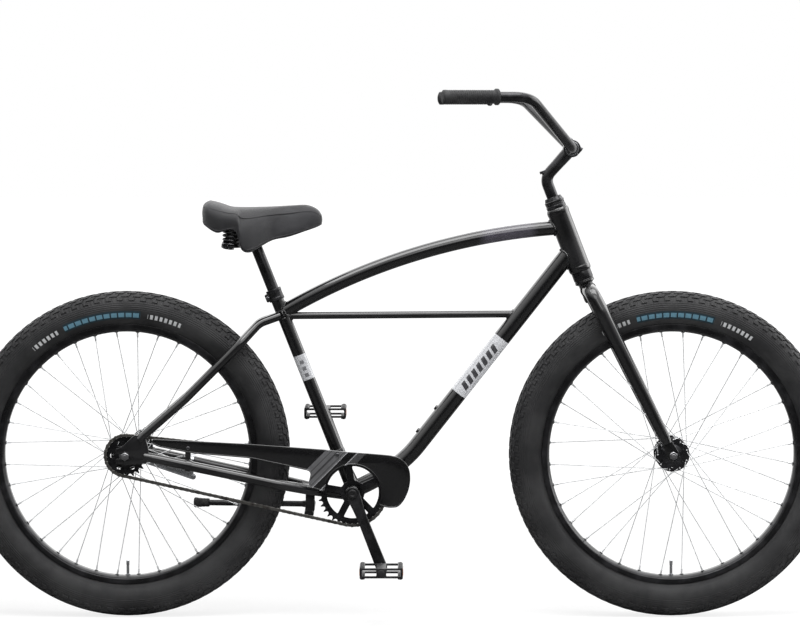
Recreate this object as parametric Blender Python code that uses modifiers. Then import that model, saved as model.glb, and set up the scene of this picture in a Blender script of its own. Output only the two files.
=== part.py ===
"""A fat tire cruiser bike with a coaster brake, in metres.

+X is the way the bike rides, +Z is up, and the chain is on the -Y side. The origin is on
the ground, half way between the wheels. Each separate piece is its own object, under an
empty that lies on the axis of the joint that carries it.
"""

import math

import bmesh
import bpy
from mathutils import Matrix, Vector

# Fits
CLEAR = 0.0003          # gap between two pieces that touch
WELD = 1e-6             # points closer than this are one point
SHARP = math.radians(35)

# Wheels
WHEELBASE = 1.193
TYRE_RADIUS = 0.357
TYRE_WIDTH = 0.078
TYRE_HEIGHT = 0.0715         # rim's edge to the tread
TYRE_WALL = 0.004
BEAD_DROP = 0.0065           # a bead's seat under the rim's edge
BEAD_THICK = 0.0042
CROWN_FLAT = 0.0120       # half width of the level crown
RIM_DEPTH = 0.0175
RIM_SHOULDER = 0.0060        # bed to the foot of the flanks
HOOK_LEAN = 0.18             # slope of a bead against the rim's flank
RIM_WIDTH = 0.042
RIM_WALL = 0.0022
RIM_BED_WIDTH = 0.018
TUBE_WALL = 0.0018
TUBE_GAP = 0.0060       # room that the coarse inner tube leaves in the casing
TUBE_RIM_GAP = 0.0035        # and over the rim's edges
WHEEL_STEPS = 36
TUBE_STEPS = 14
TUBE_SIDES = 6
SPOKES = 36
SPOKE_RADIUS = 0.0012
NIPPLE_SPREAD = 0.0034       # wheel plane to a nipple
SPOKE_OFFSET = 0.0013        # crossing spokes pass on either side of the flange
SPOKE_INSET = 0.0045
SPOKE_LEAD = math.radians(66)
VALVE_RADIUS = 0.0032
VALVE_LENGTH = 0.034

# Hubs and axles
AXLE_RADIUS = 0.0048
CONE_RADIUS = 0.0085
CONE_START = 0.034           # cones reach this far in towards the wheel plane
FRONT_HUB_WIDTH = 0.100      # between the fork dropouts
FRONT_FLANGE_RADIUS = 0.0372
FRONT_FLANGE_SPACING = 0.064
FRONT_SHELL_RADIUS = 0.0165
REAR_HUB_WIDTH = 0.135       # between the frame dropouts
REAR_FLANGE_RADIUS = 0.0335
REAR_FLANGE_SPACING = 0.060
REAR_SHELL_RADIUS = 0.0275
FLANGE_THICK = 0.0034
HUB_STEPS = 16
FRONT_SHELL_END = 0.0440     # wheel plane to the end of the shell
REAR_SHELL_END_RIGHT = 0.0425
REAR_SHELL_END_LEFT = 0.0550
AXLE_END = 0.004
AXLE_STEPS = 8
NUT_RADIUS = 0.0095
NUT_LENGTH = 0.010

# Chain drive
PITCH = 0.0127
BRACKET_ROOM = 0.1438        # rear tyre's tread to the bracket's centre, before the chain is tight
RING_TEETH = 36
COG_TEETH = 22
CHAIN_LINE = 0.052           # wheel plane to chain plane
ROLLER_LENGTH = 0.0033       # inside width of the chain
ROLLER_RADIUS = 0.00388
LINK_HALF_HEIGHT = 0.0042
LINK_PLATE = 0.0011
TOOTH_THICK = 0.0026
TOOTH_TIP = 0.0034           # tooth tip above the pitch circle
DRIVER_RADIUS = 0.0200
RING_WINDOWS = 5
RING_WINDOW_IN = 0.0265
RING_WINDOW_OUT = 0.0570
RING_ARM_WIDTH = 0.015
RING_WINDOW_PHASE = math.radians(-13)

# Crankset and pedals
BRACKET_DROP = 0.080
BRACKET_RADIUS = 0.0210
BRACKET_BORE = 0.0172
BRACKET_WIDTH = 0.073
CUP_FLANGE_RADIUS = 0.0205
CUP_FLANGE_THICK = 0.0040
CUP_DEPTH = 0.018
SPINDLE_RADIUS = 0.0085
CRANK_LENGTH = 0.172
CRANK_ANGLE = math.radians(-68.5)    # right crank at rest, from +X towards +Z
CRANK_INSET = 0.074                  # wheel plane to the arm's inner face
CRANK_THICK = 0.014
CRANK_BOSS_RADIUS = 0.0155
CRANK_END_RADIUS = 0.0125
CRANK_WAIST = 0.0110
PEDAL_AXLE_RADIUS = 0.0050
PEDAL_LENGTH = 0.093
PEDAL_WIDTH = 0.098
PEDAL_HEIGHT = 0.026
PEDAL_BAR = 0.0065           # height of a tread bar
PEDAL_WALL = 0.0045
PEDAL_GAP = 0.014
PEDAL_RAIL = 0.011
PEDAL_CORE_RADIUS = 0.0105

# Frame
BB_TO_SEAT_TOP = 0.4740      # bracket centre to the seat tube's top, along the tube
SEAT_ANGLE = math.radians(68.4)
SEAT_TUBE_RADIUS = 0.0143
HEAD_ANGLE = math.radians(69)
STEERER_BELOW = 0.0480       # steerer below the crown race
CROWN_ROOM = 0.0015          # its end over the tyre, along the steering axis
FORK_RAKE = 0.0433
HEAD_TUBE_LENGTH = 0.1475
HEAD_TUBE_RADIUS = 0.0250
HEAD_TUBE_BORE = 0.0190
LOWER_STACK = 0.0220
UPPER_CUP = 0.0110
LOCKNUT = 0.0150
CUP_RADIUS = 0.0220
HEAD_STEPS = 16
SEAT_STEPS = 16
BRACKET_STEPS = 20
TOP_TUBE_RADIUS = 0.0159
TOP_TUBE_REAR_DROP = 0.0544  # under the seat tube's top, along it
TOP_TUBE_HEAD_DROP = 0.0447  # under the head tube's top, along it
TOP_TUBE_BULGE = 0.0379      # crown of its arc over the chord
MID_TUBE_RADIUS = 0.0080
MID_TUBE_DROP = 0.0082       # under the top tube's end, along the seat tube
MID_TUBE_RISE = 0.0040
DOWN_TUBE_RADIUS = 0.0190
DOWN_TUBE_HEAD_RISE = 0.0522 # over the head tube's foot, along it
DOWN_TUBE_KNEE = (0.0975, 0.0420)    # ahead of and above the bracket
DOWN_TUBE_BEND = 0.0712      # knee to the start of the bend, along the tube
CHAIN_STAY_RADIUS = 0.0110
SEAT_STAY_RADIUS = 0.0095
STAY_SPREAD = 0.0580         # wheel plane to a stay beside the tyre
STAY_FLARE = 0.0020          # added to it half way back
STAY_ROOT = 0.0220           # wheel plane to a chain stay at the bracket
STAY_WAIST = 0.0360          # wheel plane to a chain stay at the stand's plate
STAY_CORNER = (0.0232, 0.0514)    # from the tread to the bend behind the seat tube
STAY_CORNER_SPREAD = 0.0290
STAY_SHOULDER = (-0.0158, 0.0094)  # from the tread to where a seat stay passes it
STAY_SAG = 0.0070
BRIDGE_BACK = 0.0660         # seat tube to the bridge between the seat stays
BRIDGE_DROP = 0.0300
DROPOUT_REACH = 0.040
SEAT_BORE = 0.0130
BOSS_SPACING = 0.0640
BOSS_RADIUS = 0.0055
BOSS_HEIGHT = 0.0030
BOSS_MARK = 0.151            # lower boss along the down tube, from the bracket height
DROPOUT_THICK = 0.0060
STAND_PLATE_RISE = 0.0030     # over the bracket's centre
BRIDGE_RADIUS = 0.0070

# Fork
STEERER_RADIUS = 0.0143
STEERER_BORE = 0.0130
BLADE_TOP_RADIUS = 0.0160
BLADE_END_RADIUS = 0.0125
BLADE_SPREAD = 0.0625
BLADE_END_SPREAD = 0.0560
BLADE_ANGLE = math.radians(63.4)
BLADE_END = 0.030            # axle to the end of a blade's tube
CROWN_DROP = 0.060           # bend radius of a blade under the steerer
RACE_HEIGHT = 0.004
CUP_INSERT = 0.012
LOCKNUT_LIP = 0.003

# Stem and handlebar
QUILL_RADIUS = 0.0127
QUILL_DEPTH = 0.085
STEM_RISE = 0.0450           # locknut to the elbow, along the steering axis
STEM_REACH = 0.0860
STEM_TILT = math.radians(48)
BAR_RADIUS = 0.0111
CLAMP_STEPS = 16
CLAMP_RADIUS = 0.0190
CLAMP_WIDTH = 0.046
CLAMP_SPLIT = 0.0010         # gap between the stem and its faceplate
CLAMP_BOLT_UP = 0.0150
CLAMP_BOLT_OUT = 0.0165
EXPANDER_RADIUS = 0.0038
EXPANDER_HEAD = 0.0075
EXPANDER_SEAT = 0.0105       # bolt head above the elbow's centre line
BAR_RISE = 0.1110
BAR_SETBACK = 0.1000
BAR_FLAT = 0.045
BAR_BEND_SPREAD = 0.275
BAR_END_SPREAD = 0.335
BAR_END_SETBACK = 0.2828
GRIP_LENGTH = 0.125
GRIP_RADIUS = 0.0145
GRIP_FLANGE_RADIUS = 0.0175
GRIP_FLANGE = 0.009
GRIP_END = 0.004

# Seat
POST_RADIUS = 0.0127
POST_LENGTH = 0.300
POST_RISE = 0.1348           # seat tube's top to the post's, along it
RAIL_DROP = 0.0060
RAIL_RADIUS = 0.0035
RAIL_SPREAD = 0.0220
RAIL_OVER_PIVOT = 0.0120
RAIL_REACH = 0.1425          # pivot to the rails' front end
PIVOT_SETBACK = 0.0215
COLLAR_RADIUS = 0.0172
COLLAR_HEIGHT = 0.026
COLLAR_EAR_WIDTH = 0.020
COLLAR_BOLT_RADIUS = 0.0035
CHEEK_RADIUS = 0.0175
CHEEK_THICK = 0.0130
CLAMP_BOLT_RADIUS = 0.0040
SLEEVE_RADIUS = 0.0165
SLEEVE_LENGTH = 0.036
LUG_RADIUS = 0.0110
LUG_HALF_WIDTH = 0.0160
BASE_RISE = 0.0205
BASE_THICK = 0.0035
SPRING_RADIUS = 0.0165
SPRING_WIRE = 0.0024
SPRING_TURNS = 4
SPRING_SETBACK = 0.0388
SPRING_SPREAD = 0.0680
PIN_STEPS = 8                # sides of pins and of the bores round them
SPRING_STEPS = 8             # points in a turn
SPRING_FOOT_DROP = 0.0295
FOOT_THICK = 0.0030
COVER_WALL = 0.0130
COVER_STEPS = 14
SADDLE_STATIONS = [          # x, top, half width, skirt: x and heights from the post's top
    (-0.1043, 0.0570, 0.074, 0.0250), (-0.0938, 0.0675, 0.097, 0.0140),
    (-0.0688, 0.0630, 0.113, 0.0000), (-0.0438, 0.0545, 0.115, 0.0070),
    (-0.0268, 0.0530, 0.111, 0.0030), (-0.0168, 0.0530, 0.107, -0.0350),
    (0.0012, 0.0530, 0.098, -0.0430), (0.0212, 0.0535, 0.083, -0.0330),
    (0.0512, 0.0545, 0.06, -0.0170), (0.0862, 0.0565, 0.045, -0.0100),
    (0.1262, 0.0580, 0.037, 0.0030), (0.1482, 0.0500, 0.03, 0.0110),
    (0.1602, 0.0330, 0.018, 0.0180),
]

# Chain guard and kickstand
GUARD_LINE = 0.0655
GUARD_THICK = 0.0025
GUARD_ARCH_RADIUS = 0.0630
GUARD_UPPER = [             # (x, z) from the bracket
    (-0.4339, 0.1160), (-0.2199, 0.1050), (-0.0609, 0.0930), (-0.0119, 0.0880),
    (0.0421, 0.0840), (0.0821, 0.0805), (0.1011, 0.0760), (0.1151, 0.0650), (0.1231, 0.0490),
    (0.1246, 0.0270), (0.1201, 0.0040), (0.1111, -0.0150), (0.1031, -0.0250), (0.0956, -0.0305),
    (0.0771, -0.0315),
]
GUARD_LOWER = [
    (-0.0959, 0.0140), (-0.0879, 0.0480), (-0.1279, 0.0570), (-0.2219, 0.0770),
    (-0.3519, 0.0880), (-0.4229, 0.1020), (-0.4349, 0.1090),
]
GUARD_STRAP_DROP = 0.0068    # strap under the guard's upper edge
GUARD_CLIP_AHEAD = 0.1365    # of the rear hub
CLIP_THICK = 0.0020
CLIP_WIDTH = 0.012
CLIP_STEPS = 12
BRAKE_CLIP_AHEAD = 0.1365
BRAKE_ARM_LINE = 0.0575
BRAKE_ARM_EYE = 0.0150
BRAKE_ARM_END = 0.0065
STAND_SETBACK = 0.0939       # bracket to the stand's plate
STAND_SPREAD = 0.0460
STAND_PIVOT_DROP = 0.0360
STAND_LEG_RADIUS = 0.0065
STAND_PLATE_LENGTH = 0.044
STAND_PLATE_WIDTH = 0.079
STAND_PLATE_THICK = 0.005
STAND_BOLT = 0.0042
EYE_RADIUS = 0.0105
EYE_HALF_LENGTH = 0.0070
PIN_RADIUS = 0.0040
PIN_CAP_RADIUS = 0.0075
PIN_CAP_THICK = 0.0035
STAND_LENGTH = 0.2550

COLOURS = {
    "frame paint": ((0.012, 0.012, 0.013), 0.18, 0.0),
    "black alloy": ((0.015, 0.015, 0.016), 0.32, 0.6),
    "tyre rubber": ((0.030, 0.030, 0.032), 0.80, 0.0),
    "soft rubber": ((0.022, 0.022, 0.023), 0.65, 0.0),
    "zinc steel": ((0.55, 0.56, 0.58), 0.35, 1.0),
    "chain steel": ((0.30, 0.29, 0.27), 0.40, 1.0),
    "black plastic": ((0.018, 0.018, 0.019), 0.45, 0.0),
    "saddle cover": ((0.050, 0.050, 0.054), 0.60, 0.0),
}


def plane(x, z, y=0.0):
    return Vector((x, y, z))


def towards(angle):
    """Unit vector in the wheel plane, from +X towards +Z."""
    return plane(math.cos(angle), math.sin(angle))


def side_name(side):
    return "left" if side > 0 else "right"


def around(radius):
    """Radius of a bore with flat sides that a pin of this radius turns freely in."""
    return (radius + CLEAR) / math.cos(math.pi / PIN_STEPS)


# Points and radii that the whole bike is built from
RIM_OUTER_RADIUS = TYRE_RADIUS - TYRE_HEIGHT
RIM_INNER_RADIUS = RIM_OUTER_RADIUS - RIM_DEPTH
RIM_SHOULDER_RADIUS = RIM_INNER_RADIUS + RIM_SHOULDER
BEAD_RADIUS = RIM_OUTER_RADIUS - BEAD_DROP
REAR_HUB = plane(-WHEELBASE / 2, TYRE_RADIUS)
FRONT_HUB = plane(WHEELBASE / 2, TYRE_RADIUS)
RING_RADIUS = PITCH / (2 * math.sin(math.pi / RING_TEETH))
COG_RADIUS = PITCH / (2 * math.sin(math.pi / COG_TEETH))


def chain_count(centres):
    """Pitches in a closed chain over both sprockets at this centre distance."""
    lean = math.asin((RING_RADIUS - COG_RADIUS) / centres)
    straight = 2 * centres * math.cos(lean) / PITCH
    on_ring = RING_TEETH * (math.pi + 2 * lean) / math.tau
    on_cog = COG_TEETH * (math.pi - 2 * lean) / math.tau
    return straight + on_ring + on_cog


CHAIN_PITCHES = 2 * round(chain_count(TYRE_RADIUS + BRACKET_ROOM) / 2)


def chain_centres():
    """The hub slides in its dropouts until a whole number of pitches is tight."""
    low, high = PITCH * CHAIN_PITCHES / 4, PITCH * CHAIN_PITCHES / 2
    for _ in range(60):
        middle = (low + high) / 2
        if chain_count(middle) < CHAIN_PITCHES:
            low = middle
        else:
            high = middle
    return (low + high) / 2


CENTRES = chain_centres()
BRACKET = REAR_HUB + plane(math.sqrt(CENTRES**2 - BRACKET_DROP**2), -BRACKET_DROP)
CRANK_DIR = towards(CRANK_ANGLE)
SEAT_UP = towards(math.pi - SEAT_ANGLE)
STEER_UP = towards(math.pi - HEAD_ANGLE)
STEER_FOOT = FRONT_HUB - plane(FORK_RAKE / math.sin(HEAD_ANGLE), 0)
SEAT_TOP = BRACKET + SEAT_UP * BB_TO_SEAT_TOP
FORK_LENGTH = TYRE_RADIUS + CROWN_ROOM + STEERER_BELOW    # hub height to the crown race
HEAD_LOW = FORK_LENGTH + LOWER_STACK
HEAD_HIGH = HEAD_LOW + HEAD_TUBE_LENGTH
STEERER_TOP = HEAD_HIGH + UPPER_CUP + LOCKNUT
BAR_CLAMP = STEER_FOOT + STEER_UP * (STEERER_TOP + STEM_RISE) + towards(STEM_TILT) * STEM_REACH


def on_line(point, direction, height):
    """Where a line in the wheel plane passes this height."""
    return point + direction * ((height - point.z) / direction.z)


def meeting(point, direction, other, other_direction):
    """Where two lines of the wheel plane cross."""
    gap = other - point
    across = direction.x * other_direction.z - direction.z * other_direction.x
    return point + direction * ((gap.x * other_direction.z - gap.z * other_direction.x) / across)


def on_steerer(distance):
    return STEER_FOOT + STEER_UP * distance


def between_lines(rear, front, bulge):
    """Middle of an arc whose crown stands this far over its chord."""
    along = (front - rear).normalized()
    return (rear + front) / 2 + plane(-along.z, along.x) * bulge


TOP_TUBE_REAR = SEAT_TOP - SEAT_UP * TOP_TUBE_REAR_DROP
TOP_TUBE_FRONT = on_steerer(HEAD_HIGH - TOP_TUBE_HEAD_DROP)
MID_TUBE_REAR = TOP_TUBE_REAR - SEAT_UP * MID_TUBE_DROP
DOWN_KNEE = BRACKET + plane(*DOWN_TUBE_KNEE)
DOWN_TOP = on_steerer(HEAD_LOW + DOWN_TUBE_HEAD_RISE)
DOWN_DIR = (DOWN_TOP - DOWN_KNEE).normalized()
POST_TOP = SEAT_TOP + SEAT_UP * POST_RISE
RAIL_HEIGHT = POST_TOP.z - RAIL_DROP
BASE_HEIGHT = POST_TOP.z + BASE_RISE
SPRING_X = POST_TOP.x - SPRING_SETBACK
SPRING_FOOT = POST_TOP.z - SPRING_FOOT_DROP
GUARD_CLIP_X = REAR_HUB.x + GUARD_CLIP_AHEAD
BRAKE_CLIP_X = REAR_HUB.x + BRAKE_CLIP_AHEAD
STAND_X = BRACKET.x - STAND_SETBACK
STAND_PLATE_HEIGHT = BRACKET.z + STAND_PLATE_RISE
PIVOT_HEIGHT = RAIL_HEIGHT - RAIL_OVER_PIVOT
SADDLE_PIVOT = on_line(BRACKET, SEAT_UP, PIVOT_HEIGHT) - plane(PIVOT_SETBACK, 0)
STAND_PIVOT = plane(STAND_X, BRACKET.z - STAND_PIVOT_DROP, STAND_SPREAD)
STAND_FOLDED = Vector((-0.996, 0.088, 0.004)).normalized()
STAND_DOWN = Vector((0.100, 0.500, -0.860)).normalized()

BODIES = {
    "frame": Vector((0, 0, 0)),
    "steering": on_steerer(FORK_LENGTH),
    "stem": on_steerer(STEERER_TOP),
    "handlebar": BAR_CLAMP,
    "front_wheel": FRONT_HUB,
    "rear_wheel": REAR_HUB,
    "rear_cog": REAR_HUB,
    "crankset": BRACKET,
    "pedal_right": BRACKET + CRANK_DIR * CRANK_LENGTH,
    "pedal_left": BRACKET - CRANK_DIR * CRANK_LENGTH,
    "kickstand": STAND_PIVOT,
    "seat_post": SEAT_TOP,
    "saddle": SADDLE_PIVOT,
}

parts = bpy.data.collections.new("fat_tire_bike")
empties = {}
finishes = {}


def clear_scene():
    for obj in list(bpy.data.objects):
        bpy.data.objects.remove(obj)
    bpy.context.scene.collection.children.link(parts)


def make_finishes():
    for name, (colour, roughness, metallic) in COLOURS.items():
        finish = bpy.data.materials.new(name)
        finish.use_nodes = True
        shader = finish.node_tree.nodes["Principled BSDF"]
        shader.inputs["Base Color"].default_value = (*colour, 1)
        shader.inputs["Roughness"].default_value = roughness
        shader.inputs["Metallic"].default_value = metallic
        finishes[name] = finish


def make_bodies():
    for name, origin in BODIES.items():
        empty = bpy.data.objects.new(f"axis_{name}", None)
        empty.location = origin
        parts.objects.link(empty)
        empties[name] = empty


def weld(mesh):
    bm = bmesh.new()
    bm.from_mesh(mesh)
    bmesh.ops.remove_doubles(bm, verts=bm.verts, dist=WELD)
    bmesh.ops.dissolve_degenerate(bm, edges=bm.edges, dist=WELD)
    bm.to_mesh(mesh)
    bm.free()
    return mesh


def baked(obj):
    """The object as it looks with its modifiers, as a closed mesh in world space."""
    if obj.name not in parts.objects:
        parts.objects.link(obj)
    bpy.context.view_layer.update()
    graph = bpy.context.evaluated_depsgraph_get()
    mesh = bpy.data.meshes.new_from_object(obj.evaluated_get(graph))
    mesh.transform(obj.matrix_world)
    bpy.data.objects.remove(obj)
    return weld(mesh)


def add(name, mesh, finish, body):
    """Makes the named piece: its origin is on the axis of the body that carries it."""
    mesh.name = name
    mesh.transform(Matrix.Translation(-BODIES[body]))
    mesh.materials.clear()
    mesh.materials.append(finishes[finish])
    mesh.shade_smooth()
    mesh.set_sharp_from_angle(angle=SHARP)
    piece = bpy.data.objects.new(name, mesh)
    piece.parent = empties[body]
    parts.objects.link(piece)


def combined(operation, first, *others):
    """Boolean of the first mesh with each of the others in turn."""
    for other in others:
        base = bpy.data.objects.new("base", first)
        tool = bpy.data.objects.new("tool", other)
        parts.objects.link(tool)
        step = base.modifiers.new("cut", "BOOLEAN")
        step.operation = operation
        step.object = tool
        first = baked(base)
        bpy.data.objects.remove(tool)
    return first


def joined(first, *others):
    return combined("UNION", first, *others)


def cut(first, *others):
    return combined("DIFFERENCE", first, *others)


def from_bmesh(bm):
    bmesh.ops.recalc_face_normals(bm, faces=bm.faces)
    mesh = bpy.data.meshes.new("shape")
    bm.to_mesh(mesh)
    bm.free()
    return mesh


def turn_to(direction):
    return Vector((0, 0, 1)).rotation_difference(Vector(direction)).to_matrix().to_4x4()


def rod(start, end, radius, sides=16, end_radius=None):
    """Round bar from start to end, or a cone with another radius at its end."""
    along = end - start
    place = Matrix.Translation((start + end) / 2) @ turn_to(along)
    bm = bmesh.new()
    bmesh.ops.create_cone(
        bm, cap_ends=True, segments=sides, radius1=radius,
        radius2=radius if end_radius is None else end_radius, depth=along.length, matrix=place,
    )
    return from_bmesh(bm)


def cross_rod(centre, near, far, radius, sides=16):
    """Round bar along Y through a point of the wheel plane."""
    return rod(plane(centre.x, centre.z, near), plane(centre.x, centre.z, far), radius, sides)


def block(centre, size, turn=0.0, bevel=0.0):
    """Box turned about Y, from +X towards +Z, with its edges rounded by bevel."""
    place = Matrix.Translation(centre) @ Matrix.Rotation(-turn, 4, "Y")
    bm = bmesh.new()
    bmesh.ops.create_cube(bm, size=1, matrix=place @ Matrix.Diagonal((*size, 1)))
    if bevel:
        bmesh.ops.bevel(bm, geom=bm.edges[:], offset=bevel, segments=2, affect="EDGES")
    return from_bmesh(bm)


def turned(profile, centre, axis, steps):
    """Solid of revolution: (radius, along) points about the axis through centre."""
    closed = profile[0][0] > 0 or profile[-1][0] > 0
    area = sum(
        a[0] * b[1] - b[0] * a[1] for a, b in zip(profile, profile[1:] + profile[:1])
    )
    points = [(radius, 0, along) for radius, along in profile]
    if area > 0:
        points.reverse()
    edges = [(i, i + 1) for i in range(len(points) - 1)]
    if closed:
        edges.append((len(points) - 1, 0))
    mesh = bpy.data.meshes.new("profile")
    mesh.from_pydata(points, edges, [])
    obj = bpy.data.objects.new("profile", mesh)
    obj.matrix_world = Matrix.Translation(centre) @ turn_to(axis)
    screw = obj.modifiers.new("turn", "SCREW")
    screw.steps = screw.render_steps = steps
    screw.use_merge_vertices = True
    screw.merge_threshold = 1e-5
    return baked(obj)


def ring(centre, axis, outer, inner, low, high, steps=24):
    return turned([(outer, high), (outer, low), (inner, low), (inner, high)], centre, axis, steps)


def pipe(points, radius, roundness=4, taper=None):
    """Tube along points, with filled ends; taper gives each point its share of the radius."""
    curve = bpy.data.curves.new("path", "CURVE")
    curve.dimensions = "3D"
    curve.bevel_depth = radius
    curve.bevel_resolution = roundness
    curve.use_fill_caps = True
    spline = curve.splines.new("POLY")
    spline.points.add(len(points) - 1)
    for i, point in enumerate(points):
        spline.points[i].co = (*point, 1)
        spline.points[i].radius = taper[i] if taper else 1
    return baked(bpy.data.objects.new("path", curve))


def plate(outlines, place, thickness, level=False):
    """Flat plate from closed outlines, holes inside: (x, z) at y, or (x, y) at z if level."""
    curve = bpy.data.curves.new("outline", "CURVE")
    curve.dimensions = "2D"
    curve.fill_mode = "BOTH"
    curve.extrude = thickness / 2
    for outline in outlines:
        spline = curve.splines.new("POLY")
        spline.points.add(len(outline) - 1)
        for i, (x, z) in enumerate(outline):
            spline.points[i].co = (x, z, 0, 1)
        spline.use_cyclic_u = True
    obj = bpy.data.objects.new("outline", curve)
    if level:
        obj.matrix_world = Matrix.Translation((0, 0, place))
    else:
        obj.matrix_world = Matrix.Translation((0, place, 0)) @ Matrix.Rotation(math.pi / 2, 4, "X")
    return baked(obj)


def circle(centre, radius, count, start=0.0):
    """(x, z) points round a point of the wheel plane."""
    return [
        (centre.x + radius * math.cos(start + math.tau * i / count),
         centre.z + radius * math.sin(start + math.tau * i / count))
        for i in range(count)
    ]


def arc(centre, radius, start, end, count):
    """(x, z) points from one angle to another about a point of the wheel plane."""
    return [
        (centre.x + radius * math.cos(start + (end - start) * i / (count - 1)),
         centre.z + radius * math.sin(start + (end - start) * i / (count - 1)))
        for i in range(count)
    ]


def rounded(corners, radius, count=5):
    """Path through corners, each inner one rounded to about this radius."""
    path = [corners[0]]
    for before, corner, after in zip(corners, corners[1:], corners[2:]):
        back, ahead = (before - corner).normalized(), (after - corner).normalized()
        half = back.angle(ahead) / 2
        reach = min(radius / math.tan(half), 0.48 * (before - corner).length,
                    0.48 * (after - corner).length)
        start, end = corner + back * reach, corner + ahead * reach
        for i in range(count):
            t = i / (count - 1)
            path.append(start * (1 - t) ** 2 + corner * 2 * t * (1 - t) + end * t**2)
    path.append(corners[-1])
    return path


def three_point_arc(a, b, c, count):
    """Points of the circle through three points of the wheel plane, from a to c."""
    ax, az, bx, bz, cx, cz = a.x, a.z, b.x, b.z, c.x, c.z
    d = 2 * (ax * (bz - cz) + bx * (cz - az) + cx * (az - bz))
    sa, sb, sc = ax**2 + az**2, bx**2 + bz**2, cx**2 + cz**2
    centre = plane(
        (sa * (bz - cz) + sb * (cz - az) + sc * (az - bz)) / d,
        (sa * (cx - bx) + sb * (ax - cx) + sc * (bx - ax)) / d,
    )
    first = math.atan2(az - centre.z, ax - centre.x)
    last = math.atan2(cz - centre.z, cx - centre.x)
    points = arc(centre, (a - centre).length, first, last, count)
    return [plane(x, z) for x, z in points]


# Wheels

def tyre_profile():
    """(radius, y) section of the casing, open towards the rim between the beads."""
    section = TYRE_WIDTH / 2
    middle = TYRE_RADIUS - section
    inside = RIM_WIDTH / 2 - RIM_WALL - CLEAR
    wall = [
        (middle + section * math.cos(math.radians(a)), section * math.sin(math.radians(a)))
        for a in (52, 90, 132)
    ]
    flank = [(radius, -y) for radius, y in reversed(wall)]
    outer = [*flank, (TYRE_RADIUS, -CROWN_FLAT), (TYRE_RADIUS, CROWN_FLAT), *wall]
    lining = section - TYRE_WALL
    inner = [
        (middle + lining * math.cos(math.radians(a)), lining * math.sin(math.radians(a)))
        for a in (132, 66, 0, -66, -132)
    ]
    bead = BEAD_RADIUS + CLEAR
    foot = inside - (RIM_OUTER_RADIUS - bead) * HOOK_LEAN
    hook = RIM_OUTER_RADIUS + CLEAR
    return (
        [(bead, -foot), (hook, -inside)] + outer + [(hook, inside), (bead, foot)]
        + [(bead, foot - BEAD_THICK)] + inner + [(bead, BEAD_THICK - foot)]
    )


def rim_profile():
    """(radius, y) section of the rim: spoke bed, flanks and bead hooks."""
    half, bed = RIM_WIDTH / 2, RIM_BED_WIDTH / 2
    seat = BEAD_RADIUS - CLEAR
    foot = half - RIM_WALL - (RIM_OUTER_RADIUS - seat) * HOOK_LEAN
    return [
        (RIM_INNER_RADIUS, -bed), (RIM_SHOULDER_RADIUS, -half), (RIM_OUTER_RADIUS, -half),
        (RIM_OUTER_RADIUS, RIM_WALL - half), (seat, -foot), (seat, foot),
        (RIM_OUTER_RADIUS, half - RIM_WALL), (RIM_OUTER_RADIUS, half),
        (RIM_SHOULDER_RADIUS, half), (RIM_INNER_RADIUS, bed),
    ]


def inner_tube(hub):
    """Hollow tube that fills the casing, open down its valve stem at the bottom."""
    wide = TYRE_WIDTH / 2 - TYRE_WALL - TUBE_GAP
    middle = TYRE_RADIUS - TYRE_WIDTH / 2
    deep_half = min(wide, middle - RIM_OUTER_RADIUS - TUBE_RIM_GAP)

    def section(less):
        turns = [math.tau * i / TUBE_SIDES for i in range(TUBE_SIDES)]
        return [(middle + (deep_half - less) * math.cos(t), (wide - less) * math.sin(t))
                for t in turns]

    skin = turned(section(0), hub, (0, 1, 0), TUBE_STEPS)
    air = turned(section(TUBE_WALL), hub, (0, 1, 0), TUBE_STEPS)
    outer_end = hub - plane(0, middle - deep_half * 0.8)
    inner_end = hub - plane(0, RIM_INNER_RADIUS - VALVE_LENGTH)
    deep = hub - plane(0, middle)
    stem = rod(inner_end, outer_end, VALVE_RADIUS, 6)
    bore = rod(inner_end + plane(0, 0.001), deep, VALVE_RADIUS * 0.4, 4)
    return cut(joined(skin, stem), air, bore)


def rim_reach(angle):
    """Radius of the rim's faceted inner side at this angle."""
    step = math.tau / WHEEL_STEPS
    return RIM_INNER_RADIUS * math.cos(step / 2) / math.cos(angle % step - step / 2)


def spoke(hub, index, flange_radius, flange_spacing):
    """One spoke, from its flange past the spokes that it crosses to the rim."""
    side = 1 if index % 2 else -1
    lead = 1 if index // 2 % 2 else -1
    at_rim = math.tau * (index + 0.5) / SPOKES
    at_flange = at_rim + lead * SPOKE_LEAD
    flange_y = side * (flange_spacing / 2 + lead * SPOKE_OFFSET)
    start = hub + towards(at_flange) * (flange_radius - SPOKE_INSET) + plane(0, 0, flange_y)
    rim_y = side * (NIPPLE_SPREAD + lead * SPOKE_OFFSET)
    end = hub + towards(at_rim) * (rim_reach(at_rim) - 2 * CLEAR) + plane(0, 0, rim_y)
    return rod(start, end, SPOKE_RADIUS, 3)


def wheel_hub(hub, ends, shell, flange_radius, flange_spacing):
    """Hub shell with its two flanges and all the spokes of the wheel."""
    mid, half = flange_spacing / 2, FLANGE_THICK / 2
    bore = CONE_RADIUS + CLEAR
    right, left = [
        [(bore, s * end), (shell * 0.75, s * end), (flange_radius, s * (mid + half)),
         (flange_radius, s * (mid - half)), (shell, s * (mid - half - 0.003))]
        for s, end in zip((-1, 1), ends)
    ]
    body = turned(left + right[::-1], hub, (0, 1, 0), HUB_STEPS)
    bm = bmesh.new()
    for index in range(SPOKES):
        bm.from_mesh(spoke(hub, index, flange_radius, flange_spacing))
    bundle = bpy.data.meshes.new("spokes")
    bm.to_mesh(bundle)
    bm.free()
    return joined(body, bundle)


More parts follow.
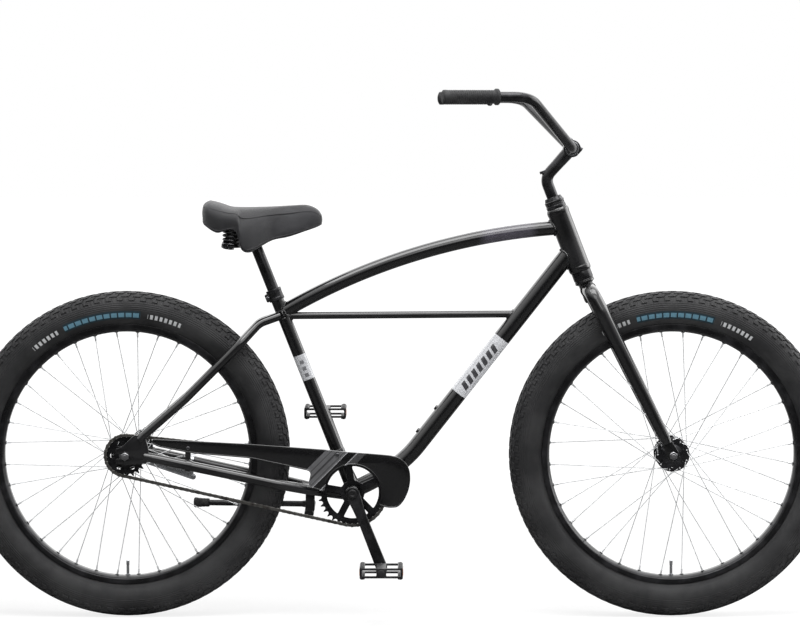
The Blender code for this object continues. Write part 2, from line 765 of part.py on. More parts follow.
def axle(hub, width, wall):
    """Fixed axle with its cones inside and a flanged nut outside each dropout."""
    inner, outer = width / 2 - CLEAR, width / 2 + wall + CLEAR
    reach = outer + NUT_LENGTH + AXLE_END
    side = [
        (AXLE_RADIUS, CONE_START), (CONE_RADIUS, CONE_START + 0.002), (CONE_RADIUS, inner),
        (AXLE_RADIUS, inner), (AXLE_RADIUS, reach),
    ]
    mirrored = [(radius, -y) for radius, y in reversed(side)]
    core = turned([(0, -reach)] + mirrored + side + [(0, reach)], hub, (0, 1, 0), AXLE_STEPS)
    nuts = [
        cross_rod(hub, s * outer, s * (outer + NUT_LENGTH), NUT_RADIUS, 6) for s in (1, -1)
    ]
    return joined(core, *nuts)


def make_wheel(name, hub, ends, shell, flange_radius, flange_spacing):
    body = f"{name}_wheel"
    valve_hole = rod(
        hub - plane(0, RIM_INNER_RADIUS - 0.01), hub - plane(0, RIM_OUTER_RADIUS + 0.01),
        VALVE_RADIUS + CLEAR, 8,
    )
    add(f"{name}_tyre", turned(tyre_profile(), hub, (0, 1, 0), WHEEL_STEPS), "tyre rubber", body)
    add(f"{name}_inner_tube", inner_tube(hub), "soft rubber", body)
    rim = cut(turned(rim_profile(), hub, (0, 1, 0), WHEEL_STEPS), valve_hole)
    add(f"{name}_rim", rim, "black alloy", body)
    hub_and_spokes = wheel_hub(hub, ends, shell, flange_radius, flange_spacing)
    add(f"{name}_hub", hub_and_spokes, "zinc steel", body)


def make_wheels():
    make_wheel("front", FRONT_HUB, (FRONT_SHELL_END, FRONT_SHELL_END), FRONT_SHELL_RADIUS,
               FRONT_FLANGE_RADIUS, FRONT_FLANGE_SPACING)
    make_wheel("rear", REAR_HUB, (REAR_SHELL_END_RIGHT, REAR_SHELL_END_LEFT), REAR_SHELL_RADIUS,
               REAR_FLANGE_RADIUS, REAR_FLANGE_SPACING)
    add("front_axle", axle(FRONT_HUB, FRONT_HUB_WIDTH, DROPOUT_THICK), "zinc steel", "steering")
    add("rear_axle", axle(REAR_HUB, REAR_HUB_WIDTH, DROPOUT_THICK), "zinc steel", "frame")


# Chain drive

RUN_DIR = (BRACKET - REAR_HUB).normalized()
RUN_ANGLE = math.atan2(RUN_DIR.z, RUN_DIR.x)
LEAN = math.acos((COG_RADIUS - RING_RADIUS) / CENTRES)
UPPER, LOWER = RUN_ANGLE + LEAN, RUN_ANGLE - LEAN
RUN_COUNT = CENTRES * math.sin(LEAN) / PITCH
COG_COUNT = COG_TEETH * (math.tau - 2 * LEAN) / math.tau
ROLLER_START = 0.5      # first roller, in pitches from where the upper run leaves the ring


def chain_point(count):
    """Point of the pitch line this many pitches along, and its outward normal's angle."""
    count %= CHAIN_PITCHES
    if count < RUN_COUNT:
        share = count / RUN_COUNT
        start, end = BRACKET + towards(UPPER) * RING_RADIUS, REAR_HUB + towards(UPPER) * COG_RADIUS
        return start.lerp(end, share), UPPER
    count -= RUN_COUNT
    if count < COG_COUNT:
        angle = UPPER + math.tau * count / COG_TEETH
        return REAR_HUB + towards(angle) * COG_RADIUS, angle
    count -= COG_COUNT
    if count < RUN_COUNT:
        share = count / RUN_COUNT
        start, end = REAR_HUB + towards(LOWER) * COG_RADIUS, BRACKET + towards(LOWER) * RING_RADIUS
        return start.lerp(end, share), LOWER
    angle = LOWER + math.tau * (count - RUN_COUNT) / RING_TEETH
    return BRACKET + towards(angle) * RING_RADIUS, angle


def chain_mesh():
    """Closed chain: a roller at every pitch, joined by inner and outer plates in turn."""
    bm = bmesh.new()
    stations = []
    for i in range(CHAIN_PITCHES):
        point, normal = chain_point(ROLLER_START + i)
        out, along = towards(normal), towards(normal + math.pi / 2)
        for step, link in ((-1, i - 1), (1, i)):
            inner = ROLLER_LENGTH / 2 + (LINK_PLATE if link % 2 else 0)
            levels = (inner + LINK_PLATE, inner, -inner, -inner - LINK_PLATE)
            stations.append([
                bm.verts.new(point + along * step * ROLLER_RADIUS + out * up * LINK_HALF_HEIGHT
                             + plane(0, 0, y - CHAIN_LINE))
                for up in (1, -1) for y in levels
            ])
    for i in range(CHAIN_PITCHES):
        before, after = stations[2 * i], stations[2 * i + 1]
        for a, b in ((0, 1), (1, 2), (2, 3), (3, 7), (7, 6), (6, 5), (5, 4), (4, 0)):
            bm.faces.new((before[a], before[b], after[b], after[a]))
        for end in (before, after):
            bm.faces.new((end[1], end[2], end[6], end[5]))
        ahead = stations[(2 * i + 2) % len(stations)]
        for band in ((0, 1, 5, 4), (2, 3, 7, 6)):
            for a, b in zip(band, band[1:] + band[:1]):
                bm.faces.new((after[a], after[b], ahead[b], ahead[a]))
    return from_bmesh(bm)


def sprocket_outline(centre, teeth, radius, phase):
    """(x, z) outline with a square-bottomed gap for a roller at each pitch from phase."""
    root = radius - LINK_HALF_HEIGHT - CLEAR
    gap = ROLLER_RADIUS + 2 * CLEAR
    points = []
    for i in range(teeth):
        angle = phase + math.tau * i / teeth
        out, along = towards(angle), towards(angle + math.pi / 2)
        middle = angle + math.pi / teeth
        points += [centre + out * root - along * gap, centre + out * root + along * gap,
                   centre + towards(middle) * (radius + TOOTH_TIP)]
    return [(p.x, p.z) for p in points]


def window(centre, middle, count=3):
    """(x, z) outline of one opening between two arms of the chainring."""
    half_in = math.pi / RING_WINDOWS - math.asin(RING_ARM_WIDTH / 2 / RING_WINDOW_IN)
    half_out = math.pi / RING_WINDOWS - math.asin(RING_ARM_WIDTH / 2 / RING_WINDOW_OUT)
    inner = arc(centre, RING_WINDOW_IN, middle - half_in, middle + half_in, 2)
    outer = arc(centre, RING_WINDOW_OUT, middle + half_out, middle - half_out, 2 * count)
    return inner + outer


def make_drive():
    add("chain", chain_mesh(), "chain steel", "frame")
    cog_phase = UPPER + math.tau * (ROLLER_START - RUN_COUNT) / COG_TEETH
    ring_phase = UPPER + math.tau * ROLLER_START / RING_TEETH
    cog = plate([
        sprocket_outline(REAR_HUB, COG_TEETH, COG_RADIUS, cog_phase),
        circle(REAR_HUB, CONE_RADIUS + 0.004, 12),
    ], -CHAIN_LINE, TOOTH_THICK)
    add("rear_cog", cog, "black alloy", "rear_cog")
    seat, start, end = CONE_RADIUS + 0.004, REAR_SHELL_END_RIGHT + CLEAR, CHAIN_LINE
    driver = turned([
        (CONE_RADIUS + CLEAR, -start), (DRIVER_RADIUS, -start), (DRIVER_RADIUS, -end + TOOTH_THICK),
        (seat - CLEAR, -end + TOOTH_THICK), (seat - CLEAR, -end - TOOTH_THICK),
        (CONE_RADIUS + CLEAR, -end - TOOTH_THICK),
    ], REAR_HUB, (0, 1, 0), 12)
    add("cog_driver", driver, "zinc steel", "rear_cog")
    windows = [
        window(BRACKET, CRANK_ANGLE + RING_WINDOW_PHASE + math.tau * i / RING_WINDOWS)
        for i in range(RING_WINDOWS)
    ]
    chainring = plate([
        sprocket_outline(BRACKET, RING_TEETH, RING_RADIUS, ring_phase),
        circle(BRACKET, CRANK_BOSS_RADIUS + CLEAR, 20), *windows,
    ], -CHAIN_LINE, TOOTH_THICK)
    add("chainring", chainring, "black alloy", "crankset")


# Cranks and pedals

def crank_arm(side):
    """Arm with a round boss on the spindle and a round end for the pedal."""
    direction = CRANK_DIR if side < 0 else -CRANK_DIR
    angle = math.atan2(direction.z, direction.x)
    end = BRACKET + direction * CRANK_LENGTH
    waist = BRACKET + direction * CRANK_LENGTH * 0.3
    across = towards(angle + math.pi / 2)
    quarter = math.pi / 2
    big = arc(BRACKET, CRANK_BOSS_RADIUS, angle + quarter, angle + 3 * quarter, 7)
    small = arc(end, CRANK_END_RADIUS, angle - quarter, angle + quarter, 6)
    near, far = waist - across * CRANK_WAIST, waist + across * CRANK_WAIST
    outline = [*big, (near.x, near.z), *small, (far.x, far.z)]
    middle = side * (CRANK_INSET + CRANK_THICK / 2)
    arm = plate([outline], middle, CRANK_THICK)
    inner = CHAIN_LINE - 0.0045 if side < 0 else BRACKET_WIDTH / 2 + CUP_FLANGE_THICK + 0.004
    boss = cross_rod(BRACKET, side * inner, side * (CRANK_INSET + 0.001), CRANK_BOSS_RADIUS, 20)
    bore = cross_rod(BRACKET, side * 0.02, side * 0.12, SPINDLE_RADIUS + CLEAR, 12)
    pedal_bore = cross_rod(end, side * 0.02, side * 0.12, PEDAL_AXLE_RADIUS + 0.002 + CLEAR, 8)
    return cut(joined(arm, boss), bore, pedal_bore)


def pedal_axle(side):
    """Axle screwed into the arm, with a collar against it and a cap at its end."""
    centre = BODIES[f"pedal_{side_name(side)}"]
    inner, outer = CRANK_INSET, CRANK_INSET + CRANK_THICK
    end = outer + PEDAL_GAP + PEDAL_WIDTH - 0.012
    thread, collar = PEDAL_AXLE_RADIUS + 0.002, PEDAL_AXLE_RADIUS + 0.004
    profile = [
        (0, inner), (thread, inner), (thread, outer + CLEAR), (collar, outer + CLEAR),
        (collar, outer + PEDAL_GAP - 0.002), (PEDAL_AXLE_RADIUS, outer + PEDAL_GAP - 0.002),
        (PEDAL_AXLE_RADIUS, end), (0, end),
    ]
    return turned(profile, centre, (0, side, 0), PIN_STEPS)


def pedal_body(side):
    """Resin block pedal: two treads and a core, with open windows between them."""
    centre = BODIES[f"pedal_{side_name(side)}"]
    inner = CRANK_INSET + CRANK_THICK + PEDAL_GAP
    middle = centre + plane(0, 0, side * (inner + PEDAL_WIDTH / 2))
    body = block(middle, (PEDAL_LENGTH, PEDAL_WIDTH, PEDAL_HEIGHT), bevel=0.004)
    gap = PEDAL_LENGTH / 2 - PEDAL_RAIL - PEDAL_CORE_RADIUS
    offset = PEDAL_CORE_RADIUS + gap / 2
    reach = PEDAL_LENGTH / 2 - PEDAL_WALL
    for step in (-1, 1):
        hole = block(middle + plane(step * offset, 0),
                     (gap, PEDAL_WIDTH - 2 * PEDAL_RAIL, 2 * PEDAL_HEIGHT))
        notch = block(middle + plane(0, step * (PEDAL_HEIGHT / 2 + 0.002)),
                      (PEDAL_LENGTH - 2 * PEDAL_RAIL, PEDAL_WIDTH * 2, PEDAL_HEIGHT * 0.35))
        window = block(middle + plane(step * (reach + PEDAL_CORE_RADIUS) / 2, 0),
                       (reach - PEDAL_CORE_RADIUS, PEDAL_WIDTH * 2, PEDAL_HEIGHT - 2 * PEDAL_BAR))
        body = cut(body, hole, notch, window)
    bore = cross_rod(centre, side * (inner - 0.01), side * (inner + PEDAL_WIDTH - 0.009),
                     around(PEDAL_AXLE_RADIUS), PIN_STEPS)
    return cut(body, bore)


def bracket_cup(side):
    """Bearing cup screwed into the shell, with its flange outside."""
    face = BRACKET_WIDTH / 2
    profile = [
        (SPINDLE_RADIUS + 2 * CLEAR, face - CUP_DEPTH), (BRACKET_BORE - CLEAR, face - CUP_DEPTH),
        (BRACKET_BORE - CLEAR, face + CLEAR), (CUP_FLANGE_RADIUS, face + CLEAR),
        (CUP_FLANGE_RADIUS, face + CUP_FLANGE_THICK),
        (SPINDLE_RADIUS + 2 * CLEAR, face + CUP_FLANGE_THICK),
    ]
    return turned(profile, BRACKET, (0, side, 0), 16)


def make_cranks():
    for side in (-1, 1):
        name = side_name(side)
        add(f"bracket_cup_{name}", bracket_cup(side), "zinc steel", "frame")
        add(f"crank_{name}", crank_arm(side), "black alloy", "crankset")
        add(f"pedal_axle_{name}", pedal_axle(side), "zinc steel", "crankset")
        add(f"pedal_{name}", pedal_body(side), "black plastic", f"pedal_{name}")
    reach = CRANK_INSET + CRANK_THICK + 0.003
    add("crank_spindle", cross_rod(BRACKET, -reach, reach, SPINDLE_RADIUS, 12),
        "zinc steel", "crankset")


# Frame



def grown(solid_path, radius, roundness=4):
    """The same tube, larger by the clearance, to cut what meets it."""
    return pipe(solid_path, radius + CLEAR, roundness)


def top_tube_path():
    rear, front = TOP_TUBE_REAR, TOP_TUBE_FRONT
    return three_point_arc(rear, between_lines(rear, front, TOP_TUBE_BULGE), front, 12)


def down_tube_path():
    bend = DOWN_KNEE + DOWN_DIR * DOWN_TUBE_BEND
    curve = [
        bend * (1 - t) ** 2 + DOWN_KNEE * 2 * t * (1 - t) + BRACKET * t**2
        for t in (0, 0.25, 0.5, 0.75, 1)
    ]
    return [DOWN_TOP, *curve]


def mid_tube_path():
    return [MID_TUBE_REAR, on_line(DOWN_KNEE, DOWN_DIR, MID_TUBE_REAR.z + MID_TUBE_RISE)]


def head_solid(extra):
    return rod(on_steerer(HEAD_LOW), on_steerer(HEAD_HIGH), HEAD_TUBE_RADIUS + extra, HEAD_STEPS)


def seat_solid(extra):
    return rod(BRACKET, SEAT_TOP, SEAT_TUBE_RADIUS + extra, SEAT_STEPS)


def shell_solid(extra):
    half = BRACKET_WIDTH / 2
    return cross_rod(BRACKET, -half, half, BRACKET_RADIUS + extra, BRACKET_STEPS)


def head_tube():
    """Large head tube with a rounded collar at each end, bored for the headset."""
    wide, neck = HEAD_TUBE_RADIUS, CUP_RADIUS + 0.001
    profile = [
        (HEAD_TUBE_BORE, HEAD_HIGH), (neck, HEAD_HIGH), (wide - 0.001, HEAD_HIGH - 0.006),
        (wide, HEAD_HIGH - 0.010), (wide, HEAD_LOW + 0.010), (wide - 0.001, HEAD_LOW + 0.006),
        (neck, HEAD_LOW), (HEAD_TUBE_BORE, HEAD_LOW),
    ]
    return turned(profile, STEER_FOOT, STEER_UP, HEAD_STEPS)


def make_main_frame():
    seat_cut, head_cut, shell_cut = seat_solid(CLEAR), head_solid(CLEAR), shell_solid(CLEAR)
    top_path, down_path, mid_path = top_tube_path(), down_tube_path(), mid_tube_path()
    add("head_tube", head_tube(), "frame paint", "frame")
    top = cut(pipe(top_path, TOP_TUBE_RADIUS), seat_cut.copy(), head_cut.copy())
    add("top_tube", top, "frame paint", "frame")
    down = pipe(down_path, DOWN_TUBE_RADIUS)
    normal = plane(-DOWN_DIR.z, DOWN_DIR.x)
    mark = on_line(DOWN_KNEE, DOWN_DIR, BRACKET.z)
    for i in range(2):
        foot = mark + DOWN_DIR * (BOSS_MARK + BOSS_SPACING * i)
        boss = rod(foot + normal * DOWN_TUBE_RADIUS * 0.7,
                   foot + normal * (DOWN_TUBE_RADIUS + BOSS_HEIGHT), BOSS_RADIUS, 8)
        down = joined(down, boss)
    top_cut = grown(top_path, TOP_TUBE_RADIUS)
    down = cut(down, head_cut.copy(), shell_cut.copy(), seat_cut.copy(), top_cut.copy())
    add("down_tube", down, "frame paint", "frame")
    down_cut = grown(down_path, DOWN_TUBE_RADIUS)
    mid = cut(pipe(mid_path, MID_TUBE_RADIUS), seat_cut.copy(), down_cut, top_cut)
    add("mid_tube", mid, "frame paint", "frame")
    bore = rod(BRACKET + SEAT_UP * 0.03, SEAT_TOP + SEAT_UP * 0.01, SEAT_BORE, SEAT_STEPS)
    seat = cut(seat_solid(0), shell_cut.copy(), bore)
    add("seat_tube", seat, "frame paint", "frame")
    half = BRACKET_WIDTH / 2
    shell = ring(BRACKET, (0, 1, 0), BRACKET_RADIUS, BRACKET_BORE, -half, half, BRACKET_STEPS)
    add("bracket_shell", shell, "frame paint", "frame")


def chain_stay_path(side):
    """From the shell out past the tyre and back to the dropout."""
    drop = REAR_HUB_WIDTH / 2 + DROPOUT_THICK / 2
    return rounded([
        BRACKET + plane(-0.006, -0.010, side * STAY_ROOT),
        plane(STAND_X, STAND_PLATE_HEIGHT, side * STAY_WAIST),
        plane(REAR_HUB.x + TYRE_RADIUS - 0.0225, BRACKET.z + 0.0170, side * STAY_SPREAD),
        plane(REAR_HUB.x + 0.1765, REAR_HUB.z - 0.0295, side * (STAY_SPREAD + STAY_FLARE)),
        REAR_HUB + plane(DROPOUT_REACH, 0, side * drop),
    ], 0.07, 3)


def seat_stay_path(side):
    """From the seat tube out over the tyre and straight down to the dropout."""
    drop = REAR_HUB_WIDTH / 2 + DROPOUT_THICK / 2
    top = MID_TUBE_REAR
    to_hub = (REAR_HUB - top).normalized()
    tread = REAR_HUB - to_hub * TYRE_RADIUS
    shoulder = tread + plane(*STAY_SHOULDER, side * (STAY_SPREAD - 0.004))
    end = REAR_HUB + plane(0.030, 0.036, side * drop)
    return rounded([
        top + plane(-0.0085, 0, side * 0.013),
        tread + plane(*STAY_CORNER, side * STAY_CORNER_SPREAD),
        shoulder,
        shoulder.lerp(end, 0.55) + plane(0, -STAY_SAG, side * (STAY_SPREAD + STAY_FLARE)
                                         - shoulder.lerp(end, 0.55).y),
        end,
    ], 0.05, 3)


def outset(outline, distance):
    """The closed outline with its sides moved outwards."""
    pairs = zip(outline, outline[1:] + outline[:1])
    turn = math.copysign(1, sum(a[0] * b[1] - b[0] * a[1] for a, b in pairs))
    moved = []
    for before, point, after in zip(outline[-1:] + outline[:-1], outline, outline[1:] + outline[:1]):
        first = (Vector(point) - Vector(before)).normalized() * turn
        second = (Vector(after) - Vector(point)).normalized() * turn
        normals = Vector((first.y, -first.x)), Vector((second.y, -second.x))
        mitre = (normals[0] + normals[1]) * distance / (1 + normals[0].dot(normals[1]))
        moved.append(tuple(Vector(point) + mitre))
    return moved


def axle_slot(centre, angle, length):
    """(x, z) points round an axle, from one side of its slot's mouth to the other."""
    half = (AXLE_RADIUS + CLEAR) / math.cos(math.pi / AXLE_STEPS)
    out, across = towards(angle), towards(angle + math.pi / 2)
    mouth = [centre + out * length + across * half * side for side in (-1, 1)]
    bed = arc(centre, half, angle - math.pi / 2, angle - 3 * math.pi / 2, 5)
    return [(mouth[0].x, mouth[0].z), *bed, (mouth[1].x, mouth[1].z)]


def rear_dropout(side, extra):
    """Plate with a slot that is open to the rear, in which the axle slides."""
    x, z = REAR_HUB.x, REAR_HUB.z
    outline = [
        (x + 0.010, z - 0.019), (x + 0.048, z - 0.014), (x + 0.052, z + 0.012),
        (x + 0.045, z + 0.040), (x + 0.022, z + 0.048), (x - 0.006, z + 0.022),
        (x - 0.020, z + 0.016), *axle_slot(REAR_HUB, math.pi, 0.020), (x - 0.020, z - 0.016),
    ]
    middle = side * (REAR_HUB_WIDTH + DROPOUT_THICK) / 2
    return plate([outset(outline, extra) if extra else outline], middle, DROPOUT_THICK + 2 * extra)


def make_rear_frame():
    seat_cut, shell_cut = seat_solid(CLEAR), shell_solid(CLEAR)
    top_cut = grown(top_tube_path(), TOP_TUBE_RADIUS)
    bridge_at = plane(STAND_X, STAND_PLATE_HEIGHT)
    bridge_cut = block(bridge_at, (STAND_PLATE_LENGTH + 2 * CLEAR, STAND_PLATE_WIDTH + 2 * CLEAR,
                                   STAND_PLATE_THICK + 2 * CLEAR))
    bolt_cut = rod(bridge_at - plane(0, 0.02), bridge_at + plane(0, 0.02), STAND_BOLT + CLEAR, 8)
    stand_plate = block(bridge_at, (STAND_PLATE_LENGTH, STAND_PLATE_WIDTH, STAND_PLATE_THICK))
    add("kickstand_plate", cut(stand_plate, bolt_cut), "frame paint", "frame")
    stay_cuts = []
    for side in (-1, 1):
        name = side_name(side)
        low, high = chain_stay_path(side), seat_stay_path(side)
        stay = cut(pipe(low, CHAIN_STAY_RADIUS, 2), shell_cut.copy(), seat_cut.copy(),
                   bridge_cut.copy())
        chain_stay = joined(stay, rear_dropout(side, 0))
        add(f"chain_stay_{name}", chain_stay, "frame paint", "frame")
        seat_stay = cut(pipe(high, SEAT_STAY_RADIUS, 2), seat_cut.copy(), top_cut.copy(),
                        rear_dropout(side, CLEAR))
        add(f"seat_stay_{name}", seat_stay, "frame paint", "frame")
        stay_cuts.append(grown(high, SEAT_STAY_RADIUS, 2))
    bridge = cross_rod(MID_TUBE_REAR - plane(BRIDGE_BACK, BRIDGE_DROP), -0.036, 0.036,
                       BRIDGE_RADIUS, 8)
    add("seat_stay_bridge", cut(bridge, *stay_cuts), "frame paint", "frame")


def seat_clamp():
    """Split collar on the seat tube's top, with its bolt through two ears at the rear."""
    bore = SEAT_TUBE_RADIUS + CLEAR
    collar = ring(SEAT_TOP, SEAT_UP, COLLAR_RADIUS, bore, -COLLAR_HEIGHT, 0, SEAT_STEPS)
    middle = SEAT_TOP - SEAT_UP * COLLAR_HEIGHT * 0.55
    back = towards(math.pi - SEAT_ANGLE + math.pi / 2)
    turn = math.pi / 2 - SEAT_ANGLE
    ears = block(middle + back * COLLAR_RADIUS, (0.011, COLLAR_EAR_WIDTH, COLLAR_HEIGHT * 0.7), turn)
    slit = block(middle + back * COLLAR_RADIUS, (0.030, 0.002, COLLAR_HEIGHT * 1.5), turn)
    clear = rod(SEAT_TOP - SEAT_UP * 0.05, SEAT_TOP + SEAT_UP * 0.01, bore, SEAT_STEPS)
    bolt_at = middle + back * (COLLAR_RADIUS + 0.001)
    half = COLLAR_EAR_WIDTH / 2
    bolt = cross_rod(bolt_at, -half - 0.003, half + 0.003, COLLAR_BOLT_RADIUS, 8)
    return joined(cut(joined(collar, ears), clear, slit), bolt)


def headset_cup(face, into, outer_face):
    """Cup pressed into an end of the head tube, with its flange outside."""
    bore, insert = STEERER_RADIUS + 2 * CLEAR, HEAD_TUBE_BORE - CLEAR
    depth = face + math.copysign(CUP_INSERT, into)
    return turned([
        (bore, depth), (insert, depth), (insert, face), (CUP_RADIUS, face),
        (CUP_RADIUS, outer_face), (bore, outer_face),
    ], STEER_FOOT, STEER_UP, HEAD_STEPS)


def make_fittings():
    add("seat_clamp", seat_clamp(), "black alloy", "frame")
    lower = headset_cup(HEAD_LOW - CLEAR, 1, FORK_LENGTH + CLEAR)
    add("lower_headset_cup", lower, "black alloy", "frame")
    upper = headset_cup(HEAD_HIGH + CLEAR, -1, HEAD_HIGH + UPPER_CUP)
    add("upper_headset_cup", upper, "black alloy", "frame")


# Fork, stem and handlebar

BLADE_UP = towards(math.pi - BLADE_ANGLE)


def blade_path(side):
    """Out of the steerer, round over the tyre and straight down to the dropout."""
    return rounded([
        on_steerer(FORK_LENGTH - 0.0220) + plane(0.002, 0, side * (BLADE_TOP_RADIUS + CLEAR)),
        on_steerer(FORK_LENGTH - 0.0250) + plane(0.004, 0, side * (BLADE_SPREAD - 0.006)),
        FRONT_HUB + BLADE_UP * (TYRE_RADIUS - 0.005) + plane(0, 0, side * BLADE_SPREAD),
        FRONT_HUB + BLADE_UP * TYRE_RADIUS * 0.448 + plane(0, 0, side * (BLADE_SPREAD - 0.002)),
        FRONT_HUB + BLADE_UP * BLADE_END + plane(0, 0, side * BLADE_END_SPREAD),
    ], CROWN_DROP, 4)


def fork_dropout(side):
    u, v = BLADE_UP, towards(math.pi / 2 - BLADE_ANGLE)
    mouth = math.atan2(-u.z, -u.x)
    ends = [
        u * (BLADE_END + 0.020) - v * 0.008, u * 0.012 - v * 0.013, -v * 0.014,
        u * -0.012 - v * 0.011,
    ]
    other = [u * -0.012 + v * 0.011, v * 0.014, u * 0.012 + v * 0.013,
             u * (BLADE_END + 0.020) + v * 0.008]
    outline = [tuple((FRONT_HUB + p).xz) for p in ends] + axle_slot(FRONT_HUB, mouth, 0.012)
    outline += [tuple((FRONT_HUB + p).xz) for p in other]
    return plate([outline], side * (FRONT_HUB_WIDTH + DROPOUT_THICK) / 2, DROPOUT_THICK)


def make_fork():
    base, race = FORK_LENGTH - STEERER_BELOW, FORK_LENGTH - RACE_HEIGHT
    top = STEERER_TOP - LOCKNUT_LIP - CLEAR
    steerer = turned([
        (STEERER_BORE, base), (STEERER_RADIUS, base), (STEERER_RADIUS, race), (CUP_RADIUS, race),
        (CUP_RADIUS, FORK_LENGTH), (STEERER_RADIUS, FORK_LENGTH), (STEERER_RADIUS, top),
        (STEERER_BORE, top),
    ], STEER_FOOT, STEER_UP, HEAD_STEPS)
    add("fork_steerer", steerer, "frame paint", "steering")
    steerer_cut = rod(on_steerer(base - 0.02), on_steerer(FORK_LENGTH), STEERER_RADIUS + CLEAR,
                      HEAD_STEPS)
    for side in (-1, 1):
        path = blade_path(side)
        count = len(path)
        slim = 1 - BLADE_END_RADIUS / BLADE_TOP_RADIUS
        taper = [1 - slim * max(0, i - count / 2) / (count / 2) for i in range(count)]
        taper[-1] = BLADE_END_RADIUS / BLADE_TOP_RADIUS
        blade = cut(pipe(path, BLADE_TOP_RADIUS, 3, taper), steerer_cut.copy())
        blade = joined(blade, fork_dropout(side))
        add(f"fork_blade_{side_name(side)}", blade, "frame paint", "steering")
    low = HEAD_HIGH + UPPER_CUP + CLEAR
    locknut = turned([
        (STEERER_RADIUS + CLEAR, low), (CUP_RADIUS, low), (CUP_RADIUS, low + 0.006),
        (CUP_RADIUS - 0.004, STEERER_TOP), (QUILL_RADIUS + CLEAR, STEERER_TOP),
        (QUILL_RADIUS + CLEAR, STEERER_TOP - LOCKNUT_LIP),
        (STEERER_RADIUS + CLEAR, STEERER_TOP - LOCKNUT_LIP),
    ], STEER_FOOT, STEER_UP, HEAD_STEPS)
    add("headset_locknut", locknut, "black alloy", "steering")


def make_stem():
    out = towards(STEM_TILT)
    elbow = BAR_CLAMP - out * STEM_REACH
    elbow_at = STEERER_TOP + STEM_RISE
    bottom = on_steerer(STEERER_TOP - QUILL_DEPTH)
    neck = pipe(rounded([bottom, elbow, BAR_CLAMP], 0.030, 4), QUILL_RADIUS, 4)
    half = CLAMP_WIDTH / 2
    barrel = cross_rod(BAR_CLAMP, -half, half, CLAMP_RADIUS, CLAMP_STEPS)
    grip = (BAR_RADIUS + CLEAR) / math.cos(math.pi / CLAMP_STEPS)
    bore = cross_rod(BAR_CLAMP, -half - 0.01, half + 0.01, grip, CLAMP_STEPS)
    size = (4 * CLAMP_RADIUS, 2 * CLAMP_WIDTH, 4 * CLAMP_RADIUS)
    shift = 2 * CLAMP_RADIUS
    ahead = block(BAR_CLAMP + out * (shift - CLAMP_SPLIT / 2), size, STEM_TILT)
    behind = block(BAR_CLAMP - out * (shift - CLAMP_SPLIT / 2), size, STEM_TILT)
    bolt_hole = rod(bottom - STEER_UP * 0.01, on_steerer(elbow_at + 0.05), EXPANDER_RADIUS + CLEAR, 8)
    seat = elbow_at + EXPANDER_SEAT
    pocket = rod(on_steerer(seat - CLEAR), on_steerer(seat + 0.05), EXPANDER_HEAD + 2 * CLEAR, 12)
    stem = cut(joined(neck, barrel), bore, ahead, bolt_hole, pocket)
    add("stem", stem, "black alloy", "stem")
    face = cut(barrel.copy(), bore.copy(), behind)
    up = towards(STEM_TILT + math.pi / 2)
    for along in (-1, 1):
        for across in (-1, 1):
            at = BAR_CLAMP + up * across * CLAMP_BOLT_UP + plane(0, 0, along * CLAMP_WIDTH * 0.32)
            face = joined(face, rod(at + out * 0.003, at + out * CLAMP_BOLT_OUT, 0.0036, 6))
    add("stem_faceplate", face, "black alloy", "stem")
    profile = [
        (0, STEERER_TOP - QUILL_DEPTH - 0.024), (QUILL_RADIUS - 0.001, STEERER_TOP - QUILL_DEPTH - 0.024),
        (QUILL_RADIUS - 0.001, STEERER_TOP - QUILL_DEPTH - 0.006),
        (EXPANDER_RADIUS + 0.002, STEERER_TOP - QUILL_DEPTH - CLEAR),
        (EXPANDER_RADIUS, STEERER_TOP - QUILL_DEPTH - CLEAR), (EXPANDER_RADIUS, seat),
        (EXPANDER_HEAD, seat), (EXPANDER_HEAD, seat + 0.006), (0, seat + 0.006),
    ]
    add("expander_bolt", turned(profile, STEER_FOOT, STEER_UP, 12), "black alloy", "stem")


def bar_path(side):
    rise, back = BAR_RISE, BAR_SETBACK
    return [
        BAR_CLAMP + plane(0, 0, side * BAR_FLAT),
        BAR_CLAMP + plane(-back, rise, side * BAR_BEND_SPREAD),
        BAR_CLAMP + plane(-BAR_END_SETBACK, rise, side * BAR_END_SPREAD),
    ]


def make_handlebar():
    right, left = bar_path(-1), bar_path(1)
    path = rounded([*right[::-1], *left], 0.075, 5)
    add("handlebar", pipe(path, BAR_RADIUS, 3), "black alloy", "handlebar")
    for side, corners in ((-1, right), (1, left)):
        along = (corners[2] - corners[1]).normalized()
        inner = corners[2] - along * (GRIP_LENGTH - GRIP_END)
        bore, length = BAR_RADIUS + CLEAR, GRIP_LENGTH
        profile = [
            (0, length - GRIP_END + CLEAR), (bore, length - GRIP_END + CLEAR), (bore, 0),
            (GRIP_FLANGE_RADIUS, 0), (GRIP_FLANGE_RADIUS, GRIP_FLANGE),
            (GRIP_RADIUS, GRIP_FLANGE + 0.004), (GRIP_RADIUS, length - 0.003),
            (GRIP_RADIUS - 0.003, length), (0, length),
        ]
        grip = turned(profile, inner, along, 16)
        add(f"grip_{side_name(side)}", grip, "soft rubber", "handlebar")


# Seat post and saddle

def seat_post():
    """Post with the sleeve and the lug of its clamp at the top."""
    post = rod(POST_TOP - SEAT_UP * POST_LENGTH, POST_TOP, POST_RADIUS, SEAT_STEPS)
    sleeve = rod(POST_TOP - SEAT_UP * SLEEVE_LENGTH, POST_TOP + SEAT_UP * 0.001, SLEEVE_RADIUS,
                 SEAT_STEPS)
    lug = cross_rod(SADDLE_PIVOT, -LUG_HALF_WIDTH, LUG_HALF_WIDTH, LUG_RADIUS, 16)
    bore = cross_rod(SADDLE_PIVOT, -0.03, 0.03, around(CLAMP_BOLT_RADIUS), PIN_STEPS)
    return cut(joined(post, sleeve, lug), bore)


